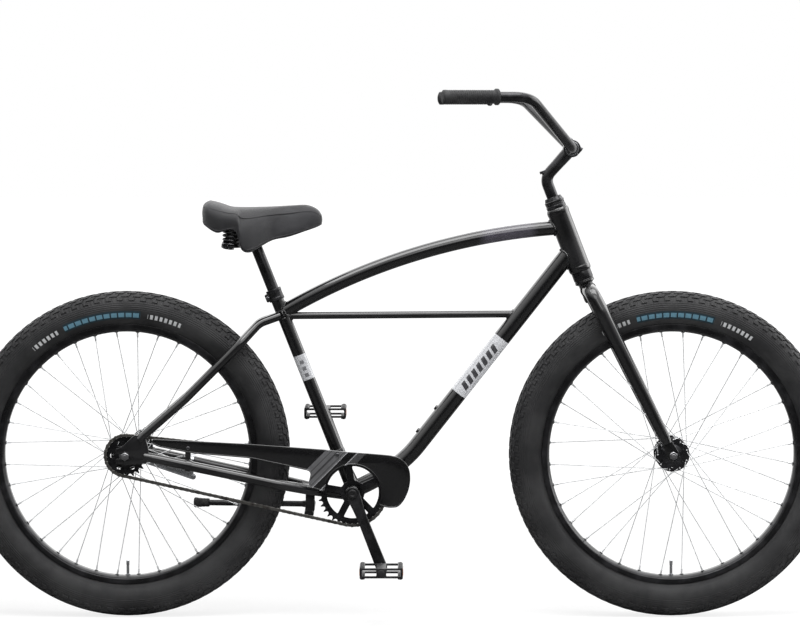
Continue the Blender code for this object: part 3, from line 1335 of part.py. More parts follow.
def rail_path():
    """One bent wire: from the left spring foot round under the nose to the right one."""
    foot = SPRING_FOOT - RAIL_RADIUS - 2 * CLEAR
    nose = BASE_HEIGHT - BASE_THICK / 2 - CLEAR - RAIL_RADIUS
    straight = CHEEK_RADIUS + 0.014
    half = [
        plane(SPRING_X, foot, SPRING_SPREAD),
        plane(SPRING_X - 0.022, foot + 0.002, SPRING_SPREAD * 0.75),
        plane(SADDLE_PIVOT.x - straight, RAIL_HEIGHT, RAIL_SPREAD),
        plane(SADDLE_PIVOT.x + straight * 1.6, RAIL_HEIGHT, RAIL_SPREAD),
        plane(SADDLE_PIVOT.x + RAIL_REACH - 0.017, nose, 0.0125),
    ]
    other = [Vector((p.x, -p.y, p.z)) for p in reversed(half)]
    return rounded([*half, plane(SADDLE_PIVOT.x + RAIL_REACH, nose), *other], 0.018, 2)


def saddle_rails():
    rails = pipe(rail_path(), RAIL_RADIUS, 1)
    for side in (-1, 1):
        low = plane(SPRING_X, SPRING_FOOT - FOOT_THICK, side * SPRING_SPREAD)
        high = plane(SPRING_X, SPRING_FOOT, side * SPRING_SPREAD)
        rails = joined(rails, rod(low, high, SPRING_RADIUS + 2 * SPRING_WIRE, 12))
    return rails


def saddle_clamp():
    """Cross bolt with a cheek on each side that grips a rail."""
    start = SLEEVE_RADIUS + CLEAR
    clamp = cross_rod(SADDLE_PIVOT, -start - CHEEK_THICK - 0.006, start + CHEEK_THICK + 0.006,
                      CLAMP_BOLT_RADIUS, 8)
    rail_cut = grown(rail_path(), RAIL_RADIUS, 1)
    for side in (-1, 1):
        outer = start + CHEEK_THICK
        cheek = cross_rod(SADDLE_PIVOT, side * start, side * outer, CHEEK_RADIUS, 16)
        nut = cross_rod(SADDLE_PIVOT, side * (outer - 0.001), side * (outer + 0.006), 0.0078, 6)
        clamp = joined(clamp, cheek, nut)
    return cut(clamp, rail_cut)


def saddle_spring(side):
    """Open coil between the rail's foot and the base: one unbroken wire."""
    low = SPRING_FOOT + SPRING_WIRE + CLEAR
    high = BASE_HEIGHT - BASE_THICK / 2 - SPRING_WIRE - CLEAR
    count = SPRING_TURNS * SPRING_STEPS
    points = []
    for i in range(count + 1):
        angle = math.tau * i / SPRING_STEPS
        points.append(plane(
            SPRING_X + SPRING_RADIUS * math.cos(angle), low + (high - low) * i / count,
            side * (SPRING_SPREAD + SPRING_RADIUS * math.sin(angle)),
        ))
    least = min(
        (a - b).length for i, a in enumerate(points) for b in points[i + SPRING_STEPS // 2:]
    )
    print(f"saddle spring: least gap between turns {(least - 2 * SPRING_WIRE) * 1000:.2f} mm")
    return pipe(points, SPRING_WIRE, 1)


def saddle_stations():
    """(x, top, half width, skirt) along the saddle, smoothly between its own stations."""
    known = [(POST_TOP.x + x, POST_TOP.z + top, half, POST_TOP.z + skirt)
             for x, top, half, skirt in SADDLE_STATIONS]
    smooth = []
    for i in range(len(known) - 1):
        before, after = known[max(i - 1, 0)], known[min(i + 2, len(known) - 1)]
        start, end = known[i], known[i + 1]
        for t in (0, 0.5) if i < 2 or i > len(known) - 4 else (0,):
            smooth.append(tuple(
                b + 0.5 * t * (c - a + t * (2 * a - 5 * b + 4 * c - d + t * (3 * (b - c) + d - a)))
                for a, b, c, d in zip(before, start, end, after)
            ))
    return [*smooth, known[-1]]


def loft(rings):
    """Closed body through rings of equally many points, each end filled."""
    bm = bmesh.new()
    made = [[bm.verts.new(point) for point in points] for points in rings]
    for near, far in zip(made, made[1:]):
        for i in range(len(near)):
            j = (i + 1) % len(near)
            bm.faces.new((near[i], near[j], far[j], far[i]))
    bm.faces.new(made[0])
    bm.faces.new(made[-1])
    return from_bmesh(bm)


def crown_ring(x, top, half, skirt):
    """Section of the padded cover: a crown with rolled edges and drawn-in sides."""
    points = []
    for i in range(COVER_STEPS + 1):
        angle = math.pi * i / COVER_STEPS
        up, out = abs(math.sin(angle)) ** 0.55, abs(math.cos(angle)) ** 0.6
        if i in (0, COVER_STEPS):
            up, out = 0, 1
        draw = 0.93 + 0.07 * up
        points.append(plane(x, skirt + (top - skirt) * up,
                            math.copysign(half * out * draw, math.cos(angle))))
    return points


def hollow_stations():
    """Those of the stations that the cover is hollow at."""
    stations = saddle_stations()
    return [s for s in stations if stations[0][0] + COVER_WALL < s[0] < stations[-1][0] - COVER_WALL]


def saddle_cover():
    stations = saddle_stations()
    solid = loft([crown_ring(*station) for station in stations])
    roof = BASE_HEIGHT + BASE_THICK / 2 + CLEAR
    corner = COVER_WALL / 2
    rings = []
    for x, _, half, skirt in hollow_stations():
        inside, low = half - COVER_WALL, skirt - 0.05
        rings.append([
            plane(x, z, y) for y, z in (
                (inside, low), (inside, roof - corner), (inside - corner, roof),
                (corner - inside, roof), (-inside, roof - corner), (-inside, low),
            )
        ])
    return cut(solid, loft(rings))


def saddle_base():
    """Shell plate that the cover is stretched over."""
    edge = [[x, half - 1.6 * COVER_WALL] for x, _, half, _ in hollow_stations()]
    edge[0][0] += 2 * CLEAR
    edge[-1][0] -= 2 * CLEAR
    outline = [*edge, *[(x, -y) for x, y in reversed(edge)]]
    return plate([outline], BASE_HEIGHT, BASE_THICK, level=True)


def make_seat():
    add("seat_post", seat_post(), "black alloy", "seat_post")
    add("saddle_clamp", saddle_clamp(), "black alloy", "saddle")
    add("saddle_rails", saddle_rails(), "black alloy", "saddle")
    for side in (-1, 1):
        add(f"saddle_spring_{side_name(side)}", saddle_spring(side), "chain steel", "saddle")
    add("saddle_base", saddle_base(), "black plastic", "saddle")
    add("saddle_cover", saddle_cover(), "saddle cover", "saddle")


# Chain guard, brake arm and kickstand

def from_bracket(points):
    return [(BRACKET.x + x, BRACKET.z + z) for x, z in points]


def guard_outline():
    """(x, z) outline: a long arm over the upper run that widens into a hood on the ring."""
    arch = arc(BRACKET, GUARD_ARCH_RADIUS, math.radians(-24), math.radians(176), 10)
    return from_bracket(GUARD_UPPER) + arch + from_bracket(GUARD_LOWER)


def strap_place():
    """Where the seat tube's centre line passes under the guard's upper edge."""
    edge = from_bracket(GUARD_UPPER)
    for (x, z), (far_x, far_z) in zip(edge, edge[1:]):
        place = on_line(BRACKET, SEAT_UP, z)
        if x <= place.x <= far_x:
            share = (place.x - x) / (far_x - x)
            return on_line(BRACKET, SEAT_UP, z + (far_z - z) * share - GUARD_STRAP_DROP)
    raise ValueError("the guard doesn't reach the seat tube")


def clip_band(centre, axis, radius):
    inner = (radius + CLEAR) / math.cos(math.pi / CLIP_STEPS)
    return ring(centre, axis, inner + CLIP_THICK, inner, -CLIP_WIDTH / 2, CLIP_WIDTH / 2, CLIP_STEPS)


def stay_at(path, x):
    """Point and direction of a stay's centre line where it passes this x."""
    for start, end in zip(path, path[1:]):
        if (start.x - x) * (end.x - x) <= 0:
            return start.lerp(end, (x - start.x) / (end.x - start.x)), (end - start).normalized()
    raise ValueError("the stay doesn't reach this far")


def chain_guard():
    """Pressed plate with a strap round the seat tube and one round the chain stay."""
    guard = plate([guard_outline()], -GUARD_LINE, GUARD_THICK)
    front = strap_place()
    reach = (SEAT_TUBE_RADIUS + CLEAR + GUARD_LINE) / 2
    strap = block(front - plane(0, 0, reach + CLEAR), (CLIP_WIDTH, GUARD_LINE - SEAT_TUBE_RADIUS
                                                      - CLEAR, CLIP_THICK))
    band = clip_band(front, SEAT_UP, SEAT_TUBE_RADIUS)
    stay, along = stay_at(chain_stay_path(-1), GUARD_CLIP_X)
    rear = clip_band(stay, along, CHAIN_STAY_RADIUS)
    foot, head = stay.z + CHAIN_STAY_RADIUS + CLIP_THICK, stay.z + 0.046
    tab = block(plane(GUARD_CLIP_X, (foot + head) / 2, -GUARD_LINE + 0.0014),
                (CLIP_WIDTH, 0.0027, head - foot))
    return joined(guard, strap, band, rear, tab)


def brake_arm():
    """Lever of the coaster brake, held to the left chain stay by a strap."""
    stay, along = stay_at(chain_stay_path(1), BRAKE_CLIP_X)
    end = plane(BRAKE_CLIP_X + 0.004, stay.z - 0.036)
    angle = math.atan2(end.z - REAR_HUB.z, end.x - REAR_HUB.x)
    quarter = math.pi / 2
    outline = [
        *arc(REAR_HUB, BRAKE_ARM_EYE, angle + quarter, angle + 3 * quarter, 7),
        *arc(end, BRAKE_ARM_END, angle - quarter, angle + quarter, 4),
    ]
    lever = plate([outline, circle(REAR_HUB, CONE_RADIUS + CLEAR, 8)], BRAKE_ARM_LINE, 0.003)
    band = clip_band(stay, along, CHAIN_STAY_RADIUS)
    low = end.z - 0.002
    high = stay.z - CHAIN_STAY_RADIUS - CLIP_THICK / 2
    tab = block(plane(BRAKE_CLIP_X, (low + high) / 2, BRAKE_ARM_LINE), (0.010, 0.004, high - low))
    return joined(lever, band, tab)


STAND_AXIS = STAND_FOLDED.cross(STAND_DOWN).normalized() * -1


def kickstand_bracket():
    """Block bolted up against the plate, with the pin that the leg turns on."""
    under = STAND_PLATE_HEIGHT - STAND_PLATE_THICK / 2 - CLEAR
    over = STAND_PLATE_HEIGHT + STAND_PLATE_THICK / 2 + CLEAR
    top = block(plane(STAND_X, under - 0.003), (0.034, 0.038, 0.006))
    post = block(plane(STAND_X, under - 0.0245, 0.008), (0.020, 0.024, 0.045))
    near = EYE_HALF_LENGTH + CLEAR
    boss = rod(STAND_PIVOT - STAND_AXIS * 0.038, STAND_PIVOT - STAND_AXIS * near, EYE_RADIUS, 12)
    end = STAND_PIVOT + STAND_AXIS * near
    pin = rod(STAND_PIVOT - STAND_AXIS * 0.020, end + STAND_AXIS * 0.001, PIN_RADIUS, PIN_STEPS)
    cap = rod(end, end + STAND_AXIS * PIN_CAP_THICK, PIN_CAP_RADIUS, PIN_STEPS)
    bolt = rod(plane(STAND_X, under - 0.010), plane(STAND_X, over + 0.001), STAND_BOLT, 8)
    head = rod(plane(STAND_X, over), plane(STAND_X, over + 0.006), 0.0080, 6)
    return joined(top, post, boss, pin, cap, bolt, head)


def kickstand_leg():
    eye = rod(STAND_PIVOT - STAND_AXIS * EYE_HALF_LENGTH, STAND_PIVOT + STAND_AXIS * EYE_HALF_LENGTH,
              EYE_RADIUS, 12)
    leg = pipe([STAND_PIVOT + STAND_FOLDED * 0.006, STAND_PIVOT + STAND_FOLDED * 0.030,
                STAND_PIVOT + STAND_FOLDED * STAND_LENGTH], STAND_LEG_RADIUS, 2)
    reach = STAND_AXIS * 0.02
    bore = rod(STAND_PIVOT - reach, STAND_PIVOT + reach, around(PIN_RADIUS), PIN_STEPS)
    return cut(joined(eye, leg), bore)


def kickstand_foot():
    bore, end = STAND_LEG_RADIUS + CLEAR, STAND_LENGTH + CLEAR
    return turned([
        (0, end), (bore, end), (bore, end - 0.030), (0.0092, end - 0.030), (0.0115, end + 0.001),
        (0.0095, end + 0.004), (0, end + 0.004),
    ], STAND_PIVOT, STAND_FOLDED, 12)


def make_add_ons():
    add("chain_guard", chain_guard(), "frame paint", "frame")
    add("brake_arm", brake_arm(), "zinc steel", "frame")
    add("kickstand_bracket", kickstand_bracket(), "black alloy", "frame")
    add("kickstand_leg", kickstand_leg(), "black alloy", "kickstand")
    add("kickstand_foot", kickstand_foot(), "soft rubber", "kickstand")


def main():
    clear_scene()
    make_finishes()
    make_bodies()
    make_main_frame()
    make_rear_frame()
    make_fittings()
    make_fork()
    make_stem()
    make_handlebar()
    make_wheels()
    make_drive()
    make_cranks()
    make_seat()
    make_add_ons()
    for name, origin in BODIES.items():
        print(f"axis {name}: {origin.x:.5f} {origin.y:.5f} {origin.z:.5f}")
    print(f"stand axis {tuple(round(v, 5) for v in STAND_AXIS)}, "
          f"swing {math.degrees(STAND_FOLDED.angle(STAND_DOWN)):.2f} degrees")


main()
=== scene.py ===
"""Looks of a fat tire cruiser bike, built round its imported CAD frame, in metres.

+X is the way the bike rides, +Y is its left, +Z is up. The origin is on the ground,
midway between the wheels.
"""

import math

import bmesh
import bpy
from bpy.props import FloatProperty, FloatVectorProperty, IntProperty, PointerProperty
from mathutils import Matrix, Vector
from mathutils.bvhtree import BVHTree


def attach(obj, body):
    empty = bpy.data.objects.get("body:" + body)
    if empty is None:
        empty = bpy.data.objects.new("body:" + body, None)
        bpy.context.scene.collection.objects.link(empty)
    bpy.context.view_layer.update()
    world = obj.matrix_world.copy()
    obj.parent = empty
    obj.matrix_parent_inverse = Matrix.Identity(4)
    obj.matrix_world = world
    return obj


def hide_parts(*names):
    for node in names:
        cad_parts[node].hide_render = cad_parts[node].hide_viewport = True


bl_info = {
    "name": "Fat tire bike",
    "version": (1, 0, 0),
    "blender": (4, 5, 0),
    "location": "3D View > Sidebar > Bike",
    "description": "Dresses the packed frame of a fat tire cruiser bike",
    "category": "Object",
}

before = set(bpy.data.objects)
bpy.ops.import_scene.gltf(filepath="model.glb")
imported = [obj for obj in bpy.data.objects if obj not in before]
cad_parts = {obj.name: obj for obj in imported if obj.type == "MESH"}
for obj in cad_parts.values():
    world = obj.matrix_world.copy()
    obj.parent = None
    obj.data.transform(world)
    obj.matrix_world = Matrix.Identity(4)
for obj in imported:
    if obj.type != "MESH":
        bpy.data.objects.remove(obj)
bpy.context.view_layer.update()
Y_AXIS = Vector((0, 1, 0))
SIDES = (-1, 1)         # right, left
QUARTER = math.pi / 2
SMOOTH_TO = math.radians(38)


def plane(x, z, y=0.0):
    return Vector((x, y, z))


def towards(angle):
    """Unit vector in the wheel plane, from +X towards +Z."""
    return plane(math.cos(angle), math.sin(angle))


# Sizes that the pieces share, as in the frame's own source
WHEELBASE = 1.193
TYRE_RADIUS = 0.357
TYRE_WIDTH = 0.078
RIM_INNER_RADIUS = 0.268
RIM_OUTER_RADIUS = 0.2855
RIM_WIDTH = 0.042
SPOKES = 36
PITCH = 0.0127
CHAIN_PITCHES = 108
RING_TEETH = 36
COG_TEETH = 22
CHAIN_LINE = 0.052
CRANK_LENGTH = 0.172
CRANK_ANGLE = math.radians(-68.5)
CRANK_INSET = 0.074
CRANK_FACE = CRANK_INSET + 0.014
BRACKET_HALF = 0.0365
BRACKET_RADIUS = 0.0210
HEAD_ANGLE = math.radians(69)
SEAT_ANGLE = math.radians(68.4)
BLADE_ANGLE = math.radians(63.4)
STEM_TILT = math.radians(48)
SEAT_TUBE_LENGTH = 0.474
TOP_TUBE_RADIUS = 0.0159
TOP_TUBE_BULGE = 0.0379
DOWN_TUBE_RADIUS = 0.0190
SEAT_TUBE_RADIUS = 0.0143
MID_TUBE_RADIUS = 0.0080
CHAIN_STAY_RADIUS = 0.0110
SEAT_STAY_RADIUS = 0.0095
STAY_SPREAD = 0.0580
HEAD_TUBE_RADIUS = 0.0250
STEERER_ROOM = 0.0146
BLADE_RADIUS = 0.0160
FORK_RAKE = 0.0433
BAR_RADIUS = 0.0111
QUILL_RADIUS = 0.0127
STEM_RISE = 0.045
STEM_REACH = 0.086
FORK_LENGTH = 0.4065
HEAD_LOW = FORK_LENGTH + 0.0220
HEAD_HIGH = HEAD_LOW + 0.1475
STEERER_TOP = HEAD_HIGH + 0.0110 + 0.0150

REAR_HUB = plane(-WHEELBASE / 2, TYRE_RADIUS)
FRONT_HUB = plane(WHEELBASE / 2, TYRE_RADIUS)
BRACKET = plane(-0.10208, 0.277)
RING_RADIUS = PITCH / (2 * math.sin(math.pi / RING_TEETH))
COG_RADIUS = PITCH / (2 * math.sin(math.pi / COG_TEETH))
CRANK_DIR = towards(CRANK_ANGLE)
SEAT_UP = towards(math.pi - SEAT_ANGLE)
STEER_UP = towards(math.pi - HEAD_ANGLE)
STEM_OUT = towards(STEM_TILT)
STEER_FOOT = FRONT_HUB - plane(FORK_RAKE / math.sin(HEAD_ANGLE), 0)
SEAT_TOP = BRACKET + SEAT_UP * SEAT_TUBE_LENGTH
BAR_CLAMP = STEER_FOOT + STEER_UP * (STEERER_TOP + STEM_RISE) + STEM_OUT * STEM_REACH


def on_steerer(distance):
    return STEER_FOOT + STEER_UP * distance


def on_line(point, direction, height):
    """Where a line in the wheel plane passes this height."""
    return point + direction * ((height - point.z) / direction.z)


TOP_TUBE_REAR = SEAT_TOP - SEAT_UP * 0.0544
TOP_TUBE_FRONT = on_steerer(HEAD_HIGH - 0.0447)
MID_TUBE_REAR = TOP_TUBE_REAR - SEAT_UP * 0.0082
DOWN_KNEE = BRACKET + plane(0.0975, 0.0420)
DOWN_TOP = on_steerer(HEAD_LOW + 0.0522)
DOWN_DIR = (DOWN_TOP - DOWN_KNEE).normalized()
POST_TOP = SEAT_TOP + SEAT_UP * 0.1348
RAIL_HEIGHT = POST_TOP.z - 0.0060
BASE_HEIGHT = POST_TOP.z + 0.0205
SADDLE_PIVOT = on_line(BRACKET, SEAT_UP, RAIL_HEIGHT - 0.0120) - plane(0.0215, 0)
STAND_X = BRACKET.x - 0.0939
STAND_PLATE_HEIGHT = BRACKET.z + 0.0030
STAY_CLIP_X = REAR_HUB.x + 0.1365       # where the straps of guard and brake arm sit


# Materials

class Term:
    """An output socket that takes arithmetic: each operator adds a Math node."""

    def __init__(self, nodes, socket):
        self.nodes = nodes
        self.socket = socket

    def math(self, operation, *others):
        values = dict(enumerate((self, *others)))
        return self.nodes.node("ShaderNodeMath", {"operation": operation}, values)

    def __add__(self, other):
        return self.math("ADD", other)

    __radd__ = __add__

    def __sub__(self, other):
        return self.math("SUBTRACT", other)

    def __rsub__(self, other):
        return self * -1 + other

    def __mul__(self, other):
        return self.math("MULTIPLY", other)

    __rmul__ = __mul__

    def __truediv__(self, other):
        return self.math("DIVIDE", other)

    def __pow__(self, other):
        return self.math("POWER", other)

    def __abs__(self):
        return self.math("ABSOLUTE")

    def __mod__(self, other):
        return self.math("FLOORED_MODULO", other)

    def ramp(self, low, high, top=1.0, shape="LINEAR"):
        """0 up to low, and from there to top at high."""
        return self.nodes.node("ShaderNodeMapRange", {"interpolation_type": shape}, {
            "Value": self, "From Min": low, "From Max": high, "To Max": top,
        })

    def above(self, edge, soft):
        """0 below the edge, 1 above it, and a ramp of width soft between."""
        return self.ramp(edge - soft / 2, edge + soft / 2, shape="SMOOTHSTEP")

    def between(self, low, high, soft):
        return self.above(low, soft) * (1 - self.above(high, soft))


class Nodes:
    """A shader tree, to which each call adds one node with its settings and values."""

    def __init__(self, tree):
        self.tree = tree

    def put(self, socket, value):
        if isinstance(value, Term):
            self.tree.links.new(value.socket, socket)
        else:
            socket.default_value = value

    def node(self, kind, settings=None, values=None, output=0):
        """Adds a node: its settings first, then its sockets' values or links."""
        made = self.tree.nodes.new(kind)
        for name, value in (settings or {}).items():
            setattr(made, name, value)
        for name, value in (values or {}).items():
            self.put(made.inputs[name], value)
        return Term(self, made.outputs[output])

    def split(self, vector):
        first = self.node("ShaderNodeSeparateXYZ", {}, {0: vector})
        return [Term(self, out) for out in first.socket.node.outputs]

    def rays(self, kind):
        """1 for rays of this kind, 0 for others."""
        return self.node("ShaderNodeLightPath", output=f"Is {kind} Ray")


class Finish(Nodes):
    """A procedural material on one Principled shader, and the part's slot for it."""

    def __init__(self, name, slot, colour, roughness, metallic=0.0, coat=0.0):
        self.slot = slot
        self.material = bpy.data.materials.new(name)
        self.material.use_nodes = True
        self.material.diffuse_color = (*colour, 1)
        super().__init__(self.material.node_tree)
        self.shader = self.tree.nodes["Principled BSDF"]
        self.set(**{
            "Base Color": (*colour, 1), "Roughness": roughness, "Metallic": metallic,
            "Coat Weight": coat, "Coat Roughness": 0.04,
            "Specular IOR Level": 0.2 if roughness > 0.4 or coat else 0.5,
        })

    def set(self, **values):
        for name, value in values.items():
            self.put(self.shader.inputs[name], value)

    def place(self):
        return self.node("ShaderNodeTexCoord", output="Object")

    def axes(self, centre=(0, 0, 0), turn=(0, 0, 0)):
        """X, Y and Z of the surface point, about a centre and turned as a piece lies."""
        return self.split(self.node("ShaderNodeMapping", {"vector_type": "TEXTURE"}, {
            "Vector": self.place(), "Location": centre, "Rotation": turn,
        }))

    def noise(self, scale, detail=4.0):
        return self.node("ShaderNodeTexNoise", {}, {
            "Vector": self.place(), "Scale": scale, "Detail": detail,
        })

    def cells(self, scale, feature="F1"):
        return self.node("ShaderNodeTexVoronoi", {"feature": feature}, {
            "Vector": self.place(), "Scale": scale,
        })

    def mix(self, factor, first, second):
        """A colour between two colours, each a Term or a plain (r, g, b)."""
        first, second = (c if isinstance(c, Term) else (*c, 1) for c in (first, second))
        return self.node("ShaderNodeMix", {"data_type": "RGBA"},
                         {"Factor": factor, 6: first, 7: second}, 2)

    def bump(self, height, depth, strength=1.0):
        self.set(Normal=self.node("ShaderNodeBump", {}, {
            "Height": height, "Distance": depth, "Strength": strength,
        }))


def dimmed(colour, share):
    return tuple(share * c for c in colour)


def worn(finish, colour, worn_colour, roughness, spread, scale):
    """Slight unevenness of colour and gloss, as hands and dust leave it."""
    patches = finish.noise(scale)
    finish.set(**{
        "Base Color": finish.mix(patches.above(0.56, 0.30), colour, worn_colour),
        "Roughness": roughness + spread * (patches - 0.5),
    })
    return finish


# Families: slot, worn colour or its share of the colour, spread of the roughness, scale of
# the patches, metallic, coat, and the grain's noise scale, detail, depth and strength
ALLOY = ("black_alloy", 2.5, 0.16, 30.0, 0.55, 0.25, (900.0, 2.0, 0.000012, 0.3))
STEEL = ("zinc_steel", 0.72, 0.20, 60.0, 1.0, 0.0, (700.0, 2.0, 0.000012, 0.3))
DARK = ("black_alloy", *STEEL[1:])
SPRING = ("chain_steel", *STEEL[1:])
WIRE = ("zinc_steel", (0.55, 0.56, 0.57), 0.20, 60.0, 0.45, 0.0, None)
LINKS = ("chain_steel", (0.07, 0.065, 0.06), 0.25, 55.0, 1.0, 0.0, None)
PEDAL = ("black_plastic", (0.030, 0.030, 0.031), 0.15, 40.0, 0.0, 0.0, (600.0, 3.0, 0.0002, 0.5))
BASE = ("black_plastic", (0.024, 0.024, 0.025), 0.15, 30.0, 0.0, 0.0, (380.0, 3.0, 0.0002, 0.5))
GRIP = ("soft_rubber", (0.038, 0.038, 0.039), 0.18, 30.0, 0.0, 0.0, (650.0, 3.0, 0.00025, 0.5))
FOOT = ("soft_rubber", (0.045, 0.045, 0.044), 0.20, 60.0, 0.0, 0.0, (500.0, 3.0, 0.0002, 0.5))

FINISHES = {            # family, colour, roughness
    "black alloy": (ALLOY, (0.012, 0.012, 0.013), 0.30),
    "hub alloy": (ALLOY, (0.018, 0.018, 0.020), 0.26),
    "headset alloy": (ALLOY, (0.014, 0.014, 0.015), 0.22),
    "ring enamel": (ALLOY, (0.010, 0.010, 0.011), 0.24),
    "crank alloy": (ALLOY, (0.013, 0.013, 0.014), 0.27),
    "dust caps": (ALLOY, (0.020, 0.020, 0.021), 0.40),
    "stand alloy": (ALLOY, (0.020, 0.020, 0.021), 0.38),
    "stem alloy": (ALLOY, (0.014, 0.014, 0.015), 0.25),
    "bar alloy": (ALLOY, (0.012, 0.012, 0.013), 0.24),
    "rail enamel": (ALLOY, (0.012, 0.012, 0.013), 0.28),
    "clamp alloy": (ALLOY, (0.018, 0.018, 0.019), 0.34),
    "post alloy": (ALLOY, (0.012, 0.012, 0.013), 0.22),
    "bright steel": (STEEL, (0.60, 0.61, 0.63), 0.24),
    "zinc plate": (STEEL, (0.50, 0.51, 0.53), 0.28),
    "axle steel": (STEEL, (0.33, 0.33, 0.34), 0.32),
    "dark steel": (DARK, (0.16, 0.16, 0.17), 0.30),
    # The springs' steel is darker than the chain's: painted shade for the shadow the springs sit in
    # under the saddle.
    "spring steel": (SPRING, (0.10, 0.10, 0.105), 0.26),
    "spoke steel": (WIRE, (0.72, 0.73, 0.74), 0.42),      # satin: pale on a pale ground
    "chain steel": (LINKS, (0.20, 0.195, 0.185), 0.36),
    "pedal resin": (PEDAL, (0.013, 0.013, 0.014), 0.42),
    "base resin": (BASE, (0.012, 0.012, 0.013), 0.50),
    "grip rubber": (GRIP, (0.020, 0.020, 0.021), 0.58),
    "foot rubber": (FOOT, (0.022, 0.022, 0.023), 0.65),
}
MADE = {}


def finish_of(name):
    """A finish of the table, made when it is first asked for."""
    if name not in bpy.data.materials:
        family, colour, roughness = FINISHES[name]
        slot, wear, spread, patches, metallic, coat, grain = family
        finish = Finish(name, slot, colour, roughness, metallic, coat)
        worn_colour = wear if isinstance(wear, tuple) else dimmed(colour, wear)
        worn(finish, colour, worn_colour, roughness, spread, patches)
        if grain:
            finish.bump(finish.noise(*grain[:2]), *grain[2:])
        MADE[name] = finish
    return MADE[name]


def orange_peel(finish):
    finish.bump(finish.noise(160.0, 2.0), 0.000015, 0.25)
    return finish


def enamel():
    """Black enamel under clear coat, with fine dust."""
    name = "gloss enamel"
    if name not in bpy.data.materials:
        black = tuple(looks_of("frame").frame_colour)
        dusty = tuple(2.2 * c + 0.004 for c in black)
        finish = Finish(name, "frame_paint", black, 0.30, coat=1.0)
        MADE[name] = orange_peel(worn(finish, black, dusty, 0.30, 0.10, 9.0))
    return MADE[name]


def panelled_paint(name, along, colour, edge, marks, ink, cloudy):
    """The same enamel with a panel of another colour, and a row of plain slanted marks.

    along: a point of the tube's axis, its direction, and the panel's two ends on it.
    marks: where their row starts and ends, pitch, share inked, half height, slant.
    """
    point, direction, low, high = along
    first, last, pitch, share, tall, slant = marks
    black = tuple(looks_of("frame").frame_colour)
    finish = Finish(name, "frame_paint", black, 0.28, coat=1.0)
    x, _, z = finish.axes()
    way = x * direction.x + z * direction.z
    off = x * -direction.z + z * direction.x - (point.z * direction.x - point.x * direction.z)
    leaning = way - off * slant
    row = leaning.between(first, last, 0.0006) * (tall - abs(off)).above(0, 0.0006)
    letters = (((leaning - first) / pitch) % 1.0).between(0.02, share, 0.05) * row
    cloud = finish.noise(26.0, 3.0)
    shade = finish.mix(cloud.above(0.5, 0.5) * cloudy, colour, dimmed(colour, 0.45))
    inked = finish.mix(letters, shade, ink)
    finish.set(**{
        "Base Color": finish.mix(way.between(low, high, edge), black, inked),
        "Roughness": 0.28 + 0.10 * (cloud - 0.5),
    })
    return orange_peel(finish)


# Shapes

def from_bmesh(bm, merge=1e-6):
    if merge:
        bmesh.ops.remove_doubles(bm, verts=bm.verts, dist=merge)
    bmesh.ops.recalc_face_normals(bm, faces=bm.faces)
    mesh = bpy.data.meshes.new("shape")
    bm.to_mesh(mesh)
    bm.free()
    return mesh


def together(*meshes, merge=0):
    """One mesh from several, each keeping its own faces."""
    bm = bmesh.new()
    for mesh in meshes:
        bm.from_mesh(mesh)
        bpy.data.meshes.remove(mesh)
    return from_bmesh(bm, merge)


def evaluated(obj):
    """The object with its modifiers, as a plain mesh in world space; the object goes."""
    if not obj.users_collection:
        bpy.context.scene.collection.objects.link(obj)
    bpy.context.view_layer.update()
    graph = bpy.context.evaluated_depsgraph_get()
    mesh = bpy.data.meshes.new_from_object(obj.evaluated_get(graph))
    mesh.transform(obj.matrix_world)
    bpy.data.objects.remove(obj)
    return mesh


def piece(name, shapes, finish, body, *nodes, slot=None, smooth=SMOOTH_TO):
    """A finished piece: it rides on its body and stands for the frame's nodes."""
    mesh = together(*shapes) if isinstance(shapes, list) else shapes
    mesh.name = name
    mesh.materials.clear()
    mesh.materials.append(finish.material)
    mesh.shade_smooth()
    mesh.set_sharp_from_angle(angle=smooth)
    obj = bpy.data.objects.new(name, mesh)
    bpy.context.scene.collection.objects.link(obj)
    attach(obj, body)
    if nodes:
        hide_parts(*nodes)
    slot or finish.slot
    return obj


def skin(rings, wrap=False, caps=False):
    """Mesh through rings of equally many points; a ring of one point is a pole."""
    bm = bmesh.new()
    count = max(map(len, rings))
    made = []
    for ring in rings:
        verts = [bm.verts.new(point) for point in ring]
        made.append(verts if len(verts) == count else verts * count)
    for low, high in zip(made, made[1:] + made[:1] if wrap else made[1:]):
        for i in range(count):
            j = (i + 1) % count
            corners = list(dict.fromkeys((low[i], low[j], high[j], high[i])))
            if len(corners) > 2:
                bm.faces.new(corners)
    if caps:
        bm.faces.new(made[0])
        bm.faces.new(made[-1])
    return from_bmesh(bm)


def frame_at(centre, axis):
    """Matrix that puts a shape made about Z on this centre and axis."""
    turn = Vector((0, 0, 1)).rotation_difference(Vector(axis)).to_matrix().to_4x4()
    return Matrix.Translation(centre) @ turn


def lathe(profile, centre, axis, steps=64):
    """Turned solid from (radius, along) points about the axis. A profile that starts on the
    axis ends on it too, and any other is a closed loop."""
    place = frame_at(centre, axis)
    rings = [
        [place @ Vector((radius * math.cos(angle), radius * math.sin(angle), along))
         for angle in (math.tau * i / steps for i in range(steps if radius > 1e-7 else 1))]
        for radius, along in profile
    ]
    return skin(rings, wrap=profile[0][0] > 1e-7)


def bend(start, corner, end, steps):
    """Points of the parabola that leaves start for the corner and arrives at end."""
    return [start * (1 - t) ** 2 + corner * 2 * t * (1 - t) + end * t * t
            for t in (k / steps for k in range(steps + 1))]


